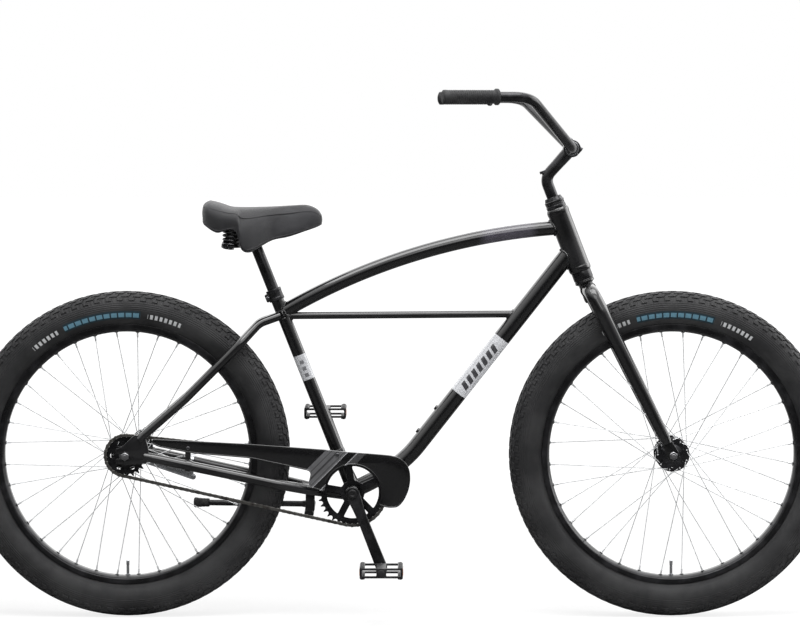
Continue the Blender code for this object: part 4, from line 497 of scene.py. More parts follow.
def softened(profile, radius, count=3, closed=False):
    """The flat profile with its corners rounded."""
    points = [Vector(p) for p in profile]
    out = [] if closed else [profile[0]]
    for i in range(len(points)) if closed else range(1, len(points) - 1):
        corner, before, after = points[i], points[i - 1], points[(i + 1) % len(points)]
        back, ahead = before - corner, after - corner
        reach = min(radius, 0.45 * back.length, 0.45 * ahead.length)
        out += map(tuple, bend(corner + back.normalized() * reach, corner,
                               corner + ahead.normalized() * reach, count))
    return out if closed else out + [profile[-1]]


def turned(profile, edge, count, centre, axis, steps):
    """Turned solid whose edges are rounded in this many steps."""
    return lathe(softened(profile, edge, count, profile[0][0] > 1e-7), centre, axis, steps)


def rod(start, end, radius, edge=0.0006, steps=32):
    """Round bar with eased ends."""
    length = (end - start).length
    edge = min(edge, 0.3 * radius, 0.3 * length)
    return turned([(0, 0), (radius, 0), (radius, length), (0, length)], edge, 3, start,
                  end - start, steps)


def cross_rod(centre, near, far, radius, edge=0.0006, steps=32):
    """Round bar along Y through a point of the wheel plane."""
    low, high = sorted((near, far))
    return rod(plane(centre.x, centre.z, low), plane(centre.x, centre.z, high), radius, edge, steps)


def bolt(rows, centre, axis):
    """Nut or bolt head from rows of radius, height and, where it is six-sided, the reach
    that its corners are turned down to."""
    place = frame_at(centre, axis)
    count, sixth = 24, math.pi / 3
    rings = []
    for radius, along, reach in rows:
        ring = []
        for angle in (math.tau * i / count for i in range(count if radius else 1)):
            corner = radius / math.cos((angle + sixth / 2) % sixth - sixth / 2)
            out = min(corner, reach) if reach else radius
            ring.append(place @ Vector((out * math.cos(angle), out * math.sin(angle), along)))
        rings.append(ring)
    return skin(rings, wrap=rows[0][0] > 0)


def hexagon(centre, axis, across, height, bore=0.0):
    """Hexagon nut or bolt head with turned-down corners, its foot at the centre."""
    half = across / 2
    return bolt([(bore, 0, 0), (0.96 * half, 0, 1.01 * half), (half, 0.05 * height, across),
                 (half, 0.90 * height, across), (0.90 * half, height, 1.01 * half),
                 (bore, height, 0)], centre, axis)


def socket_head(centre, axis, radius, height):
    """Round bolt head with a hexagon socket sunk in it, its foot at the centre."""
    key = radius * 0.55 * math.cos(math.pi / 6)
    return bolt([(0, 0, 0), (radius, 0, 0), (radius, 0.86 * height, 0),
                 (0.9 * radius, height, 0), (1.06 * key, height, radius),
                 (key, 0.94 * height, radius), (key, 0.45 * height, radius),
                 (0, 0.40 * height, 0)], centre, axis)


def rounded(corners, radius, count=10):
    """Path through corners, each inner one rounded to about this radius."""
    path = [corners[0]]
    for before, corner, after in zip(corners, corners[1:], corners[2:]):
        back, ahead = (before - corner).normalized(), (after - corner).normalized()
        reach = min(radius / math.tan(back.angle(ahead) / 2), 0.48 * (before - corner).length,
                    0.48 * (after - corner).length)
        path += bend(corner + back * reach, corner, corner + ahead * reach, count - 1)
    return path + [corners[-1]]


def arc(centre, radius, start, end, count):
    """(x, z) points from one angle to another about a point of the wheel plane."""
    return [
        (centre.x + radius * math.cos(start + (end - start) * i / (count - 1)),
         centre.z + radius * math.sin(start + (end - start) * i / (count - 1)))
        for i in range(count)
    ]


def circle(centre, radius, count=48):
    return arc(centre, radius, 0, math.tau * (count - 1) / count, count)


def tube(path, radius, sides=28, taper=None, closed=False, flat=None):
    """Tube along a path. taper gives each point its share of the radius, and flat is the
    direction that its section starts from."""
    ahead = [*path[1:], path[0] if closed else path[-1]]
    behind = [path[-1] if closed else path[0], *path[:-1]]
    ways = [(far - near).normalized() for far, near in zip(ahead, behind)]
    side = Vector(flat) if flat else ways[0].orthogonal()
    rings = []
    for point, way, share in zip(path, ways, taper or [1] * len(path)):
        side = Vector(flat) if flat else side
        side = (side - way * side.dot(way)).normalized()
        other = way.cross(side)
        rings.append([
            point + (side * math.cos(angle) + other * math.sin(angle)) * radius * share
            for angle in (math.tau * k / sides for k in range(sides))
        ])
    return skin(rings, wrap=closed, caps=not closed)


def plate(outlines, near, far, edge=0.0004, rounds=2):
    """Flat plate with eased edges from closed (x, z) outlines, the holes inside."""
    curve = bpy.data.curves.new("outline", "CURVE")
    curve.dimensions = "2D"
    curve.fill_mode = "BOTH"
    low, high = sorted((near, far))
    edge = min(edge, 0.45 * (high - low))
    curve.extrude = (high - low) / 2 - edge
    curve.bevel_depth = edge
    curve.bevel_resolution = rounds
    curve.offset = -edge
    for outline in outlines:
        spline = curve.splines.new("POLY")
        spline.points.add(len(outline) - 1)
        for point, (x, z) in zip(spline.points, outline):
            point.co = (x, z, 0, 1)
        spline.use_cyclic_u = True
    obj = bpy.data.objects.new("outline", curve)
    obj.matrix_world = (Matrix.Translation((0, (low + high) / 2, 0))
                        @ Matrix.Rotation(QUARTER, 4, "X"))
    return together(evaluated(obj), merge=1e-6)


def block(centre, size, turn=0.0, edge=0.001, segments=3, place=None):
    """Box with rounded edges, turned about Y or set by a whole matrix."""
    place = place or (Matrix.Translation(centre) @ Matrix.Rotation(-turn, 4, "Y"))
    bm = bmesh.new()
    bmesh.ops.create_cube(bm, size=1, matrix=place @ Matrix.Diagonal((*size, 1)))
    if edge:
        bmesh.ops.bevel(bm, geom=bm.edges[:], offset=edge, segments=segments, affect="EDGES",
                        profile=0.5)
    return from_bmesh(bm)


def cut(mesh, *tools):
    """The mesh with the shapes of the tools taken out of it."""
    for tool in tools:
        base = bpy.data.objects.new("base", mesh)
        knife = bpy.data.objects.new("knife", tool)
        for obj in (base, knife):
            bpy.context.scene.collection.objects.link(obj)
        step = base.modifiers.new("cut", "BOOLEAN")
        step.operation = "DIFFERENCE"
        step.object = knife
        mesh = evaluated(base)
        bpy.data.objects.remove(knife)
    return mesh


def runs(path):
    """Length along the path to each of its points."""
    lengths = [0.0]
    for near, far in zip(path, path[1:]):
        lengths.append(lengths[-1] + (far - near).length)
    return lengths


def side_name(side):
    return "left" if side > 0 else "right"


# Repeats, in Geometry Nodes

class Tree:
    """A Geometry Nodes tree whose inputs have names, and which ends in a plain mesh."""

    def __init__(self, name, inputs):
        self.group = bpy.data.node_groups.new(name, "GeometryNodeTree")
        face = self.group.interface
        face.new_socket("Geometry", in_out="INPUT", socket_type="NodeSocketGeometry")
        face.new_socket("Geometry", in_out="OUTPUT", socket_type="NodeSocketGeometry")
        for label, (kind, default) in {**inputs, "Material": ("Material", None)}.items():
            made = face.new_socket(label, in_out="INPUT", socket_type=f"NodeSocket{kind}")
            if default is not None:
                made.default_value = default
        self.given = self.group.nodes.new("NodeGroupInput")

    def add(self, kind, settings=None, **values):
        """Adds a node. A socket is named by its label, or as _0, _1 by its index."""
        node = self.group.nodes.new(f"GeometryNode{kind}" if ":" not in kind else kind[1:])
        for key, value in (settings or {}).items():
            setattr(node, key, value)
        for key, value in values.items():
            self.link(value, node.inputs[int(key[1:]) if key[0] == "_" else key.replace("_", " ")])
        return node

    def link(self, value, socket):
        if isinstance(value, str) and value in self.given.outputs:
            value = self.given.outputs[value]
        if isinstance(value, bpy.types.Node):
            value = value.outputs[0]
        if isinstance(value, bpy.types.NodeSocket):
            self.group.links.new(value, socket)
        else:
            socket.default_value = value

    def end(self, geometry):
        real = self.add("RealizeInstances", Geometry=geometry)
        coated = self.add("SetMaterial", Geometry=real, Material="Material")
        out = self.group.nodes.new("NodeGroupOutput")
        self.link(coated, out.inputs[0])
        return self.group


def round_tree(name):
    """Copies of a model piece turned about the wheel axis through Centre."""
    tree = Tree(name, {
        "Model": ("Object", None), "Count": ("Int", 36), "Phase": ("Float", 0.0),
        "Centre": ("Vector", (0, 0, 0)),
    })
    line = tree.add("MeshLine", Count="Count", Offset=(0, 0, 0))
    points = tree.add("MeshToPoints", Mesh=line)
    model = tree.add("ObjectInfo", Object="Model")
    placed = tree.add("InstanceOnPoints", Points=points, Instance=model.outputs["Geometry"])
    share = tree.add(":ShaderNodeMath", {"operation": "DIVIDE"}, _0=tree.add("InputIndex"),
                     _1="Count")
    angle = tree.add(":ShaderNodeMath", {"operation": "MULTIPLY_ADD"},
                     _0=share, _1=-math.tau, _2="Phase")
    turn = tree.add(":ShaderNodeCombineXYZ", Y=angle)
    spun = tree.add("RotateInstances", Instances=placed, Rotation=turn)
    return tree.end(tree.add("TranslateInstances", Instances=spun, Translation="Centre",
                             Local_Space=False))


def path_tree(name):
    """A model piece at each point of the base: its X follows the point's way, its Z the
    point's up. Odd points take the other model."""
    tree = Tree(name, {"Model": ("Object", None), "Other": ("Object", None)})
    way = tree.add("InputNamedAttribute", {"data_type": "FLOAT_VECTOR"}, Name="way")
    up = tree.add("InputNamedAttribute", {"data_type": "FLOAT_VECTOR"}, Name="up")
    rough = tree.add(":FunctionNodeAlignRotationToVector", {"axis": "X"}, Vector=way)
    turn = tree.add(":FunctionNodeAlignRotationToVector", {"axis": "Z", "pivot_axis": "X"},
                    Rotation=rough, Vector=up)
    odd = tree.add(":ShaderNodeMath", {"operation": "MODULO"}, _0=tree.add("InputIndex"), _1=2.0)
    even = tree.add(":ShaderNodeMath", {"operation": "SUBTRACT"}, _0=1.0, _1=odd)
    points = tree.add("MeshToPoints", Mesh="Geometry")
    both = tree.add("JoinGeometry")
    for label, chosen in (("Model", even), ("Other", odd)):
        model = tree.add("ObjectInfo", Object=label)
        tree.link(tree.add("InstanceOnPoints", Points=points, Selection=chosen, Rotation=turn,
                           Instance=model.outputs["Geometry"]), both.inputs[0])
    return tree.end(both)


def coil_tree(name):
    """A wire coil that climbs along Z, with its ends closed flat."""
    tree = Tree(name, {
        "Turns": ("Float", 5.0), "Radius": ("Float", 0.02), "Height": ("Float", 0.05),
        "Wire": ("Float", 0.002),
    })
    spiral = tree.add("CurveSpiral", Resolution=36, Rotations="Turns", Start_Radius="Radius",
                      End_Radius="Radius", Height="Height")
    section = tree.add("CurvePrimitiveCircle", Resolution=12, Radius="Wire")
    return tree.end(tree.add("CurveToMesh", Curve=spiral, Profile_Curve=section, Fill_Caps=True))


TREES = {"turned copies": round_tree, "copies on a path": path_tree, "coil": coil_tree}


def grown(name, base, finish, **inputs):
    """What a tree makes of a base mesh, as a plain mesh."""
    tree = bpy.data.node_groups.get(name) or TREES[name](name)
    holder = bpy.data.objects.new("holder", base or bpy.data.meshes.new("empty"))
    bpy.context.scene.collection.objects.link(holder)
    step = holder.modifiers.new("grow", "NODES")
    step.node_group = tree
    sockets = {item.name: item.identifier for item in tree.interface.items_tree
               if item.in_out == "INPUT"}
    models = []
    for label, value in {**inputs, "Material": finish.material}.items():
        if isinstance(value, bpy.types.Mesh):
            value = bpy.data.objects.new("model", value)
            bpy.context.scene.collection.objects.link(value)
            models.append(value)
        step[sockets[label]] = value
    made = evaluated(holder)
    for model in models:
        bpy.data.objects.remove(model)
    return made


def round_copies(mesh, centre, count, phase, finish):
    """Copies of a mesh, modelled about the wheel axis at angle 0, all round the axis."""
    return grown("turned copies", None, finish, Model=mesh, Count=count, Phase=phase,
                 Centre=tuple(centre))


def path_copies(places, mesh, other, finish):
    """Copies of two meshes in turn at (point, way, up) places."""
    base = bpy.data.meshes.new("places")
    base.from_pydata([tuple(p) for p, _, _ in places], [], [])
    for k, name in ((1, "way"), (2, "up")):
        layer = base.attributes.new(name, "FLOAT_VECTOR", "POINT")
        layer.data.foreach_set("vector", [c for place in places for c in place[k]])
    return grown("copies on a path", base, finish, Model=mesh, Other=other)


def coil(foot, radius, height, turns, wire, finish):
    made = grown("coil", None, finish, Turns=float(turns), Radius=radius, Height=height,
                 Wire=wire)
    made.transform(Matrix.Translation(foot))
    return made


# Settings that a user would change

def colour_setting(name, description, default):
    return FloatVectorProperty(name=name, description=description, default=default,
                               subtype="COLOR", min=0, max=1)


class StageLooks(bpy.types.PropertyGroup):
    floor_colour: colour_setting("Floor colour", "Colour of the floor and the backdrop",
                                 (0.92, 0.92, 0.92))
    lamp_power: FloatProperty(
        name="Lamp power", description="Power of the large lamp overhead", default=105.0,
        min=0, unit="POWER")


class FrameLooks(bpy.types.PropertyGroup):
    frame_colour: colour_setting("Enamel", "Colour of the painted frame and fork",
                                 (0.004, 0.004, 0.0045))
    panel_colour: colour_setting("Panel", "Colour of the bare panels on the tubes",
                                 (0.62, 0.63, 0.655))
    stripe_colour: colour_setting("Guard stripes", "Colour of the stripes on the chain guard",
                                  (0.115, 0.115, 0.12))
    weld_height: FloatProperty(
        name="Weld height", description="How far a weld bead stands out of the corner",
        default=0.0016, min=0, unit="LENGTH")


class WheelLooks(bpy.types.PropertyGroup):
    tread_depth: FloatProperty(
        name="Tread depth", description="Height of the tread blocks over the casing",
        default=0.0024, min=0, unit="LENGTH")
    tread_blocks: IntProperty(
        name="Tread blocks", description="Blocks in one row round the tyre", default=84, min=12)
    band_colour: colour_setting("Side band", "Colour of the band on the side of each tyre",
                                (0.10, 0.215, 0.285))
    spoke_radius: FloatProperty(
        name="Spoke radius", description="Radius of a spoke's wire", default=0.0010,
        min=0.0005, unit="LENGTH")


class SaddleLooks(bpy.types.PropertyGroup):
    cover_colour: colour_setting("Cover", "Colour of the saddle's padded cover",
                                 (0.020, 0.020, 0.0218))
    spring_turns: FloatProperty(
        name="Spring turns", description="Turns of wire in each saddle spring", default=5.0,
        min=2, max=9)
    padding: FloatProperty(
        name="Padding", description="How full the saddle is, from slack to tight", default=0.8,
        min=0, max=1, subtype="FACTOR")


def looks_of(kind):
    return getattr(bpy.context.scene, f"bike_{kind}")


class BikeOperator:
    """What the operators share: each calls its own makers in turn."""
    bl_options = {"REGISTER", "UNDO"}

    def execute(self, context):
        for make in self.makers:
            make()
        return {"FINISHED"}


# Stage

CAMERA_AT = (0.0012, -8.0, 1.099)       # 8 m away, at the height of the grips
CAMERA_TARGET = (0.0012, 0, 0.650)
LENS, SENSOR = 164.75, 36.0
LAMPS = (          # name, place, target, width, height, share of the power
    ("overhead", (0.2, -0.9, 3.2), (0, 0, 0.4), 3.4, 1.7, 1.0),
    ("front", (0.8, -4.2, 3.0), (0, 0, 0.5), 3.0, 2.0, 0.34),
    ("ahead", (3.0, 0.6, 1.5), (0, 0, 0.7), 2.0, 2.2, 0.45),
)
FLOOR_REACH = 40.0
FLOOR_DROP = 0.0005     # keeps the floor clear of the tyres
FLOOR_GLOW = 0.72       # share of the floor's look that is plain white beside the bike


def aimed(data, place, target):
    """Links a camera or a lamp that looks from one point at another."""
    holder = bpy.data.objects.new(data.name, data)
    holder.location = place
    way = Vector(target) - Vector(place)
    holder.rotation_euler = way.to_track_quat("-Z", "Y").to_euler()
    bpy.context.scene.collection.objects.link(holder)
    return holder


def make_camera():
    scene = bpy.context.scene
    scene.view_settings.view_transform = "Standard"
    camera = bpy.data.cameras.new("camera")
    camera.sensor_width, camera.lens = SENSOR, LENS
    scene.camera = aimed(camera, CAMERA_AT, CAMERA_TARGET)


def make_floor():
    """Floor that the camera sees as white, but for the soft shadow round the bike. Gloss
    sees it dark beside the bike and white further back."""
    finish = Finish("floor", None, tuple(looks_of("stage").floor_colour), 0.9)
    finish.set(**{"Specular IOR Level": 0.0})
    mesh = bpy.data.meshes.new("floor")
    reach = FLOOR_REACH
    mesh.from_pydata([(-reach, -reach, 0), (reach, -reach, 0), (reach, reach, 0),
                      (-reach, reach, 0)], [], [(0, 1, 2, 3)])
    mesh.materials.append(finish.material)
    floor = bpy.data.objects.new("floor", mesh)
    floor.location.z = -FLOOR_DROP
    bpy.context.scene.collection.objects.link(floor)
    seen, mirrored_in = finish.rays("Camera"), finish.rays("Glossy")
    x, y, _ = finish.axes()
    glow = finish.node("ShaderNodeEmission", {}, {
        "Color": (1, 1, 1, 1), "Strength": seen * 1.12 + mirrored_in * y.above(2.0, 2.4)})
    away = ((x * x + y * y) ** 0.5).above(2.2, 2.0)
    share = FLOOR_GLOW + (1 - FLOOR_GLOW) * away
    mixed = finish.node("ShaderNodeMixShader", {}, {
        0: seen * share + mirrored_in * 0.80, 1: Term(finish, finish.shader.outputs[0]), 2: glow})
    finish.put(finish.tree.nodes["Material Output"].inputs[0], mixed)


def make_lamps():
    for name, place, target, wide, high, share in LAMPS:
        lamp = bpy.data.lights.new(name, "AREA")
        lamp.shape, lamp.size, lamp.size_y = "RECTANGLE", wide, high
        lamp.energy = share * looks_of("stage").lamp_power
        aimed(lamp, place, target)


def make_world():
    """White where the camera and glass look, and a soft fill elsewhere. Gloss sees a sky
    that brightens overhead and behind the bike."""
    world = bpy.data.worlds.new("studio")
    bpy.context.scene.world = world
    world.use_nodes = True
    sky = Nodes(world.node_tree)
    _, y, z = sky.split(sky.node("ShaderNodeTexCoord", output="Generated"))
    mirrored_in = sky.rays("Glossy")
    tent = y.ramp(0.0, 0.6, 1.0) + z.ramp(0.12, 0.6, 1.8)
    level = mirrored_in * tent + (mirrored_in * -0.20 + 0.25)
    white = sky.rays("Camera").math("MAXIMUM", sky.rays("Transmission"))
    back = sky.tree.nodes["Background"]
    back.inputs["Color"].default_value = (1, 1, 1, 1)
    sky.put(back.inputs["Strength"], white.math("MAXIMUM", level))


class BIKE_OT_stage(BikeOperator, bpy.types.Operator):
    """Pale floor, soft lamps, a studio sky and the camera"""
    bl_idname = "bike.stage"
    bl_label = "Stage"
    makers = (make_camera, make_floor, make_lamps, make_world)


# Wheels

TREAD_ROOM = 0.0022     # casing under the tread blocks' tops
TYRE_HALF = TYRE_WIDTH / 2
TYRE_MIDDLE = TYRE_RADIUS - TYRE_HALF
TYRE_SKIN = TYRE_HALF - 0.0004
TYRE_WALL = 0.0042
BEAD_SEAT = 0.2793
NIPPLE_SPREAD = 0.0034
SPOKE_LEAD = math.radians(66)
DEGREE = math.pi / 180
TREAD_ROWS = (          # offset from the crown, width, length share, lean, phase share
    (0.0, 0.0120, 0.80, 0.0, 0.0), (0.0130, 0.0105, 0.74, 0.0022, 0.5),
    (0.0250, 0.0095, 0.66, 0.0030, 0.0), (0.0360, 0.0085, 0.50, 0.0, 0.5),
)


def tyre_rubber(name, hub, turn):
    """Moulded rubber: fine rings on the sides, and a plain coloured band at the top that
    is centred on this angle from straight up, with a row of pale bars on either side."""
    finish = Finish(name, "tyre_rubber", (0.022, 0.022, 0.023), 0.62)
    x, y, z = finish.axes(tuple(hub), (0, -turn, 0))
    radius = (x * x + z * z) ** 0.5
    angle = finish.node("ShaderNodeMath", {"operation": "ARCTAN2"}, {0: z, 1: x})
    side = abs(y).above(0.026, 0.002)
    marked = side * radius.between(0.3012, 0.3108, 0.0010)

    def stretch(low, high):
        return angle.between(low * DEGREE, high * DEGREE, 0.2 * DEGREE)

    def ticks(pitch, gap, soft):
        return (angle * (1 / (pitch * DEGREE)) % 1.0).above(gap, soft)

    white = (stretch(67, 81) + stretch(119, 131)) * ticks(2.0, 0.42, 0.06) * marked
    bold = stretch(84, 116)
    blue = bold * ticks(3.0, 0.20, 0.05) * marked
    ground = bold * side * radius.between(0.2975, 0.3150, 0.0020)
    grey = finish.mix(finish.noise(14.0, 6.0).above(0.5, 0.35), (0.018, 0.018, 0.019),
                      (0.034, 0.034, 0.035))
    band = tuple(looks_of("wheels").band_colour)
    coloured = finish.mix(blue, finish.mix(ground, grey, dimmed(band, 0.13)), band)
    finish.set(**{
        "Base Color": finish.mix(white * 0.85, coloured, (0.55, 0.56, 0.57)),
        "Roughness": 0.60 + 0.20 * (finish.noise(40.0, 3.0) - 0.5),
    })
    rings = ((radius * (math.tau / 0.0042)).math("SINE")
             * radius.between(0.3165, 0.3345, 0.002) * side)
    fine = (angle * 260.0).math("SINE") * radius.between(0.3345, 0.3440, 0.002)
    grain = finish.noise(520.0, 3.0)
    finish.bump(rings * 0.6 + fine * 0.5 + grain * 0.25, 0.0007, 0.7)
    return finish


def tyre_section(count=20):
    """(radius, y) loop of the casing: crown, walls, beads and the lining."""
    inside = RIM_WIDTH / 2 - 0.0025
    foot = inside - (RIM_OUTER_RADIUS - BEAD_SEAT) * 0.18

    def curve(round_by, across, reach, steps):
        angles = (math.radians(reach * (2 * i / steps - 1)) for i in range(steps + 1))
        return [(TYRE_MIDDLE + round_by * math.cos(a), across * math.sin(a)) for a in angles]

    wall = TYRE_HALF - TYRE_WALL
    low = [(BEAD_SEAT, -foot), (RIM_OUTER_RADIUS + 0.0005, -inside), (0.2885, -inside - 0.0016)]
    high = [(r, -y) for r, y in reversed(low)]
    return [*low, *curve(TYRE_HALF - TREAD_ROOM, TYRE_SKIN, 132, 2 * count), *high,
            (BEAD_SEAT, foot - TYRE_WALL), *curve(wall, wall, -126, count),
            (BEAD_SEAT, TYRE_WALL - foot)]


def tread_block(offset, wide, long, depth, lean):
    """One block of tread about the wheel axis at angle 0, its foot sunk in the casing."""
    rings = []
    for level, shrink in ((-0.0012, 1.0), (depth * 0.75, 0.94), (depth, 0.84)):
        ring = []
        for u, v in ((-1, -1), (0, -1), (1, -1), (1, 0), (1, 1), (0, 1), (-1, 1), (-1, 0)):
            turn = (offset + u * wide * shrink / 2) / TYRE_HALF
            along = (v * long * shrink / 2 + u * lean) / TYRE_RADIUS
            radius = TYRE_MIDDLE + (TYRE_HALF - TREAD_ROOM + level) * math.cos(turn)
            ring.append((radius * math.cos(along), (TYRE_SKIN + level) * math.sin(turn),
                         radius * math.sin(along)))
        rings.append(ring)
    return skin(rings, caps=True)


def make_tyre(name, hub, turn):
    looks = looks_of("wheels")
    finish = tyre_rubber(f"{name} tyre rubber", hub, turn)
    step = math.tau / looks.tread_blocks
    shapes = [lathe(tyre_section(), hub, Y_AXIS, 160)]
    for offset, wide, share, lean, phase in TREAD_ROWS:
        for side in (1, -1) if offset else (1,):
            model = tread_block(side * offset, wide, step * TYRE_RADIUS * share,
                                min(looks.tread_depth, TREAD_ROOM), side * lean)
            shapes.append(round_copies(model, hub, looks.tread_blocks, phase * step, finish))
    piece(f"{name}_tyre_tread", shapes, finish, f"{name}_wheel", f"{name}_tyre",
          smooth=math.radians(30))


def make_rim(name, hub):
    """Deep box rim with rolled edges and eyelets."""
    half, inner, outer = RIM_WIDTH / 2, RIM_INNER_RADIUS, RIM_OUTER_RADIUS
    flank = [(inner, 0.009), (0.2715, 0.0165), (0.2745, half), (outer, half),
             (outer, half - 0.0022), (0.2787, half - 0.0034)]
    profile = [(r, -y) for r, y in flank[:5]] + [(0.2790, 0.0034 - half)] + flank[::-1]
    finish = finish_of("black alloy")
    shapes = [turned(profile, 0.0016, 3, hub, Y_AXIS, 180)]
    for side, phase in ((1, 0.5), (-1, 1.5)):
        eyelet = turned([(0.0040, -0.0012), (0.0044, 0.0010), (0.0030, 0.0014), (0.0024, -0.0012)],
                        0.0003, 2, plane(inner - 0.0002, 0, side * NIPPLE_SPREAD), (-1, 0, 0), 16)
        shapes.append(round_copies(eyelet, hub, SPOKES // 2, math.tau * phase / SPOKES, finish))
    piece(f"{name}_rim_shell", shapes, finish, f"{name}_wheel", f"{name}_rim")


def spoke(side, lead, flange_radius, flange_y, at_rim):
    """A spoke with its elbow, threaded end and nipple, for a rim hole at this angle."""
    outward = lead * 0.0030
    head = (towards(at_rim + lead * SPOKE_LEAD) * (flange_radius - 0.0045)
            + plane(0, 0, side * (flange_y - outward)))
    elbow = head + plane(0, 0, side * outward * 1.9)
    rim_end = towards(at_rim) * (RIM_INNER_RADIUS + 0.0015) + plane(0, 0, side * NIPPLE_SPREAD)
    way = (rim_end - elbow).normalized()
    wire = tube(rounded([head, elbow, rim_end], 0.0022, 5), looks_of("wheels").spoke_radius, 8)
    button = lathe([(0, -0.0009), (0.0018, -0.0005), (0.0016, 0.0005), (0, 0.0008)],
                   head, plane(0, 0, side * lead), 8)
    nipple = lathe([(0, 0), (0.0017, 0), (0.0019, 0.0012), (0.0019, 0.0110), (0.0026, 0.0118),
                    (0.0026, 0.0135), (0, 0.0135)], rim_end - way * 0.0135, way, 10)
    return together(wire, button, nipple)


def hub_shell(hub, ends, shell, flange_radius, spacing, holes=6):
    """Shell with two drilled flanges and a waist."""
    mid, half, web = spacing / 2, 0.0017, flange_radius * 0.62
    profile = []
    for sign, end in zip(SIDES, ends):
        part = [(0.0093, end), (shell * 0.72, end), (shell * 0.80, mid + half + 0.004),
                (web, mid + half), (flange_radius, mid + half), (flange_radius, mid - half),
                (web, mid - half), (shell, mid - half - 0.004)]
        profile += [(r, sign * y) for r, y in part][::-sign]
    drills = []
    for k in range(holes):
        at = hub + towards(math.tau * (k + 0.5) / holes) * flange_radius * 0.70
        for side in SIDES:
            drills.append(cross_rod(at, side * (mid - 0.009), side * (mid + 0.009), 0.0032, 0, 16))
    return cut(turned(profile, 0.0012, 3, hub, Y_AXIS, 72), together(*drills))


def make_hub(name, hub, ends, shell, flange_radius, spacing):
    piece(f"{name}_hub_shell", hub_shell(hub, ends, shell, flange_radius, spacing),
          finish_of("hub alloy"), f"{name}_wheel")
    steel = finish_of("spoke steel")
    sets = []
    for index, (lead, side) in enumerate((lead, side) for lead in SIDES for side in SIDES):
        model = spoke(side, lead, flange_radius, spacing / 2, math.tau * (index + 0.5) / SPOKES)
        sets.append(round_copies(model, hub, SPOKES // 4, 0.0, steel))
    piece(f"{name}_spokes", sets, steel, f"{name}_wheel", f"{name}_hub")


def make_valve(name, hub):
    """Inner tube in the casing, with its valve stem, ring nut and cap through the rim."""
    around = [math.tau * i / 12 for i in range(12)]
    tube_skin = lathe([(TYRE_MIDDLE + 0.031 * math.cos(a), 0.031 * math.sin(a)) for a in around],
                      hub, Y_AXIS, 48)
    piece(f"{name}_tube_skin", tube_skin,
          Finish(f"{name} inner rubber", "soft_rubber", (0.02, 0.02, 0.02), 0.7),
          f"{name}_wheel", f"{name}_inner_tube")
    up = plane(0, 1)
    foot = hub - plane(0, RIM_INNER_RADIUS + 0.004)
    stem = turned([(0, 0), (0.0031, 0), (0.0031, 0.028), (0.0026, 0.029), (0.0026, 0.0365),
                   (0, 0.0375)], 0.0004, 2, foot, up, 20)
    nut = hexagon(foot + up * 0.0042, up, 0.0098, 0.0026, 0.0030)
    cap = turned([(0, 0), (0.0034, 0), (0.0036, 0.009), (0.0024, 0.0115), (0, 0.012)],
                 0.0005, 2, foot + up * 0.0265, up, 20)
    piece(f"{name}_valve", [stem, nut, cap], finish_of("bright steel"), f"{name}_wheel",
          slot="soft_rubber")


def make_axle(name, hub, width, body):
    """Threaded axle with cones, washers and domed nuts."""
    outer = width / 2 + 0.006
    shapes = [cross_rod(hub, -outer - 0.0135, outer + 0.0135, 0.0047, 0.0008, 28)]
    for side in SIDES:
        way = plane(0, 0, side)
        base, cone = hub + way * (outer + 0.0003), hub + way * (width / 2 - 0.0165)
        shapes += [
            turned([(0.0048, 0), (0.0083, 0), (0.0083, 0.0010), (0.0048, 0.0012)],
                   0.0003, 2, base, way, 36),
            hexagon(base + way * 0.0012, way, 0.0158, 0.0088, 0.0048),
            turned([(0.0048, 0), (0.0078, 0.002), (0.0083, 0.0160), (0.0048, 0.0162)],
                   0.0003, 2, cone, way, 36),
        ]
    piece(f"{name}_axle_set", shapes, finish_of("axle steel"), body, f"{name}_axle")


def make_wheels():
    sets = (     # name, hub, band's turn, shell ends, shell, flange, spacing, width, holder
        ("front", FRONT_HUB, -11, (0.044, 0.044), 0.0165, 0.0372, 0.064, 0.100, "steering"),
        ("rear", REAR_HUB, 0, (0.0425, 0.055), 0.0275, 0.0335, 0.060, 0.135, "frame"),
    )
    for name, hub, turn, ends, shell, flange_radius, spacing, width, holder in sets:
        make_tyre(name, hub, math.radians(turn))
        make_rim(name, hub)
        make_hub(name, hub, ends, shell, flange_radius, spacing)
        make_valve(name, hub)
        make_axle(name, hub, width, holder)


class BIKE_OT_wheels(BikeOperator, bpy.types.Operator):
    """Tyres with tread, rims, spokes, hubs, axles and valves"""
    bl_idname = "bike.wheels"
    bl_label = "Wheels"
    makers = (make_wheels,)


# Frame

# What tubes are welded to: a point of its axis, the axis, and its radius
HEAD = (STEER_FOOT, STEER_UP, HEAD_TUBE_RADIUS)
SEAT = (BRACKET, SEAT_UP, SEAT_TUBE_RADIUS)
SHELL = (BRACKET, Y_AXIS, BRACKET_RADIUS)
DOWN = (DOWN_KNEE, DOWN_DIR, DOWN_TUBE_RADIUS)
WELD_RUN = 0.09         # how far before a tube's end the search for the corner starts
STAY_END = 0.0705       # wheel plane to a stay's end beside the hub


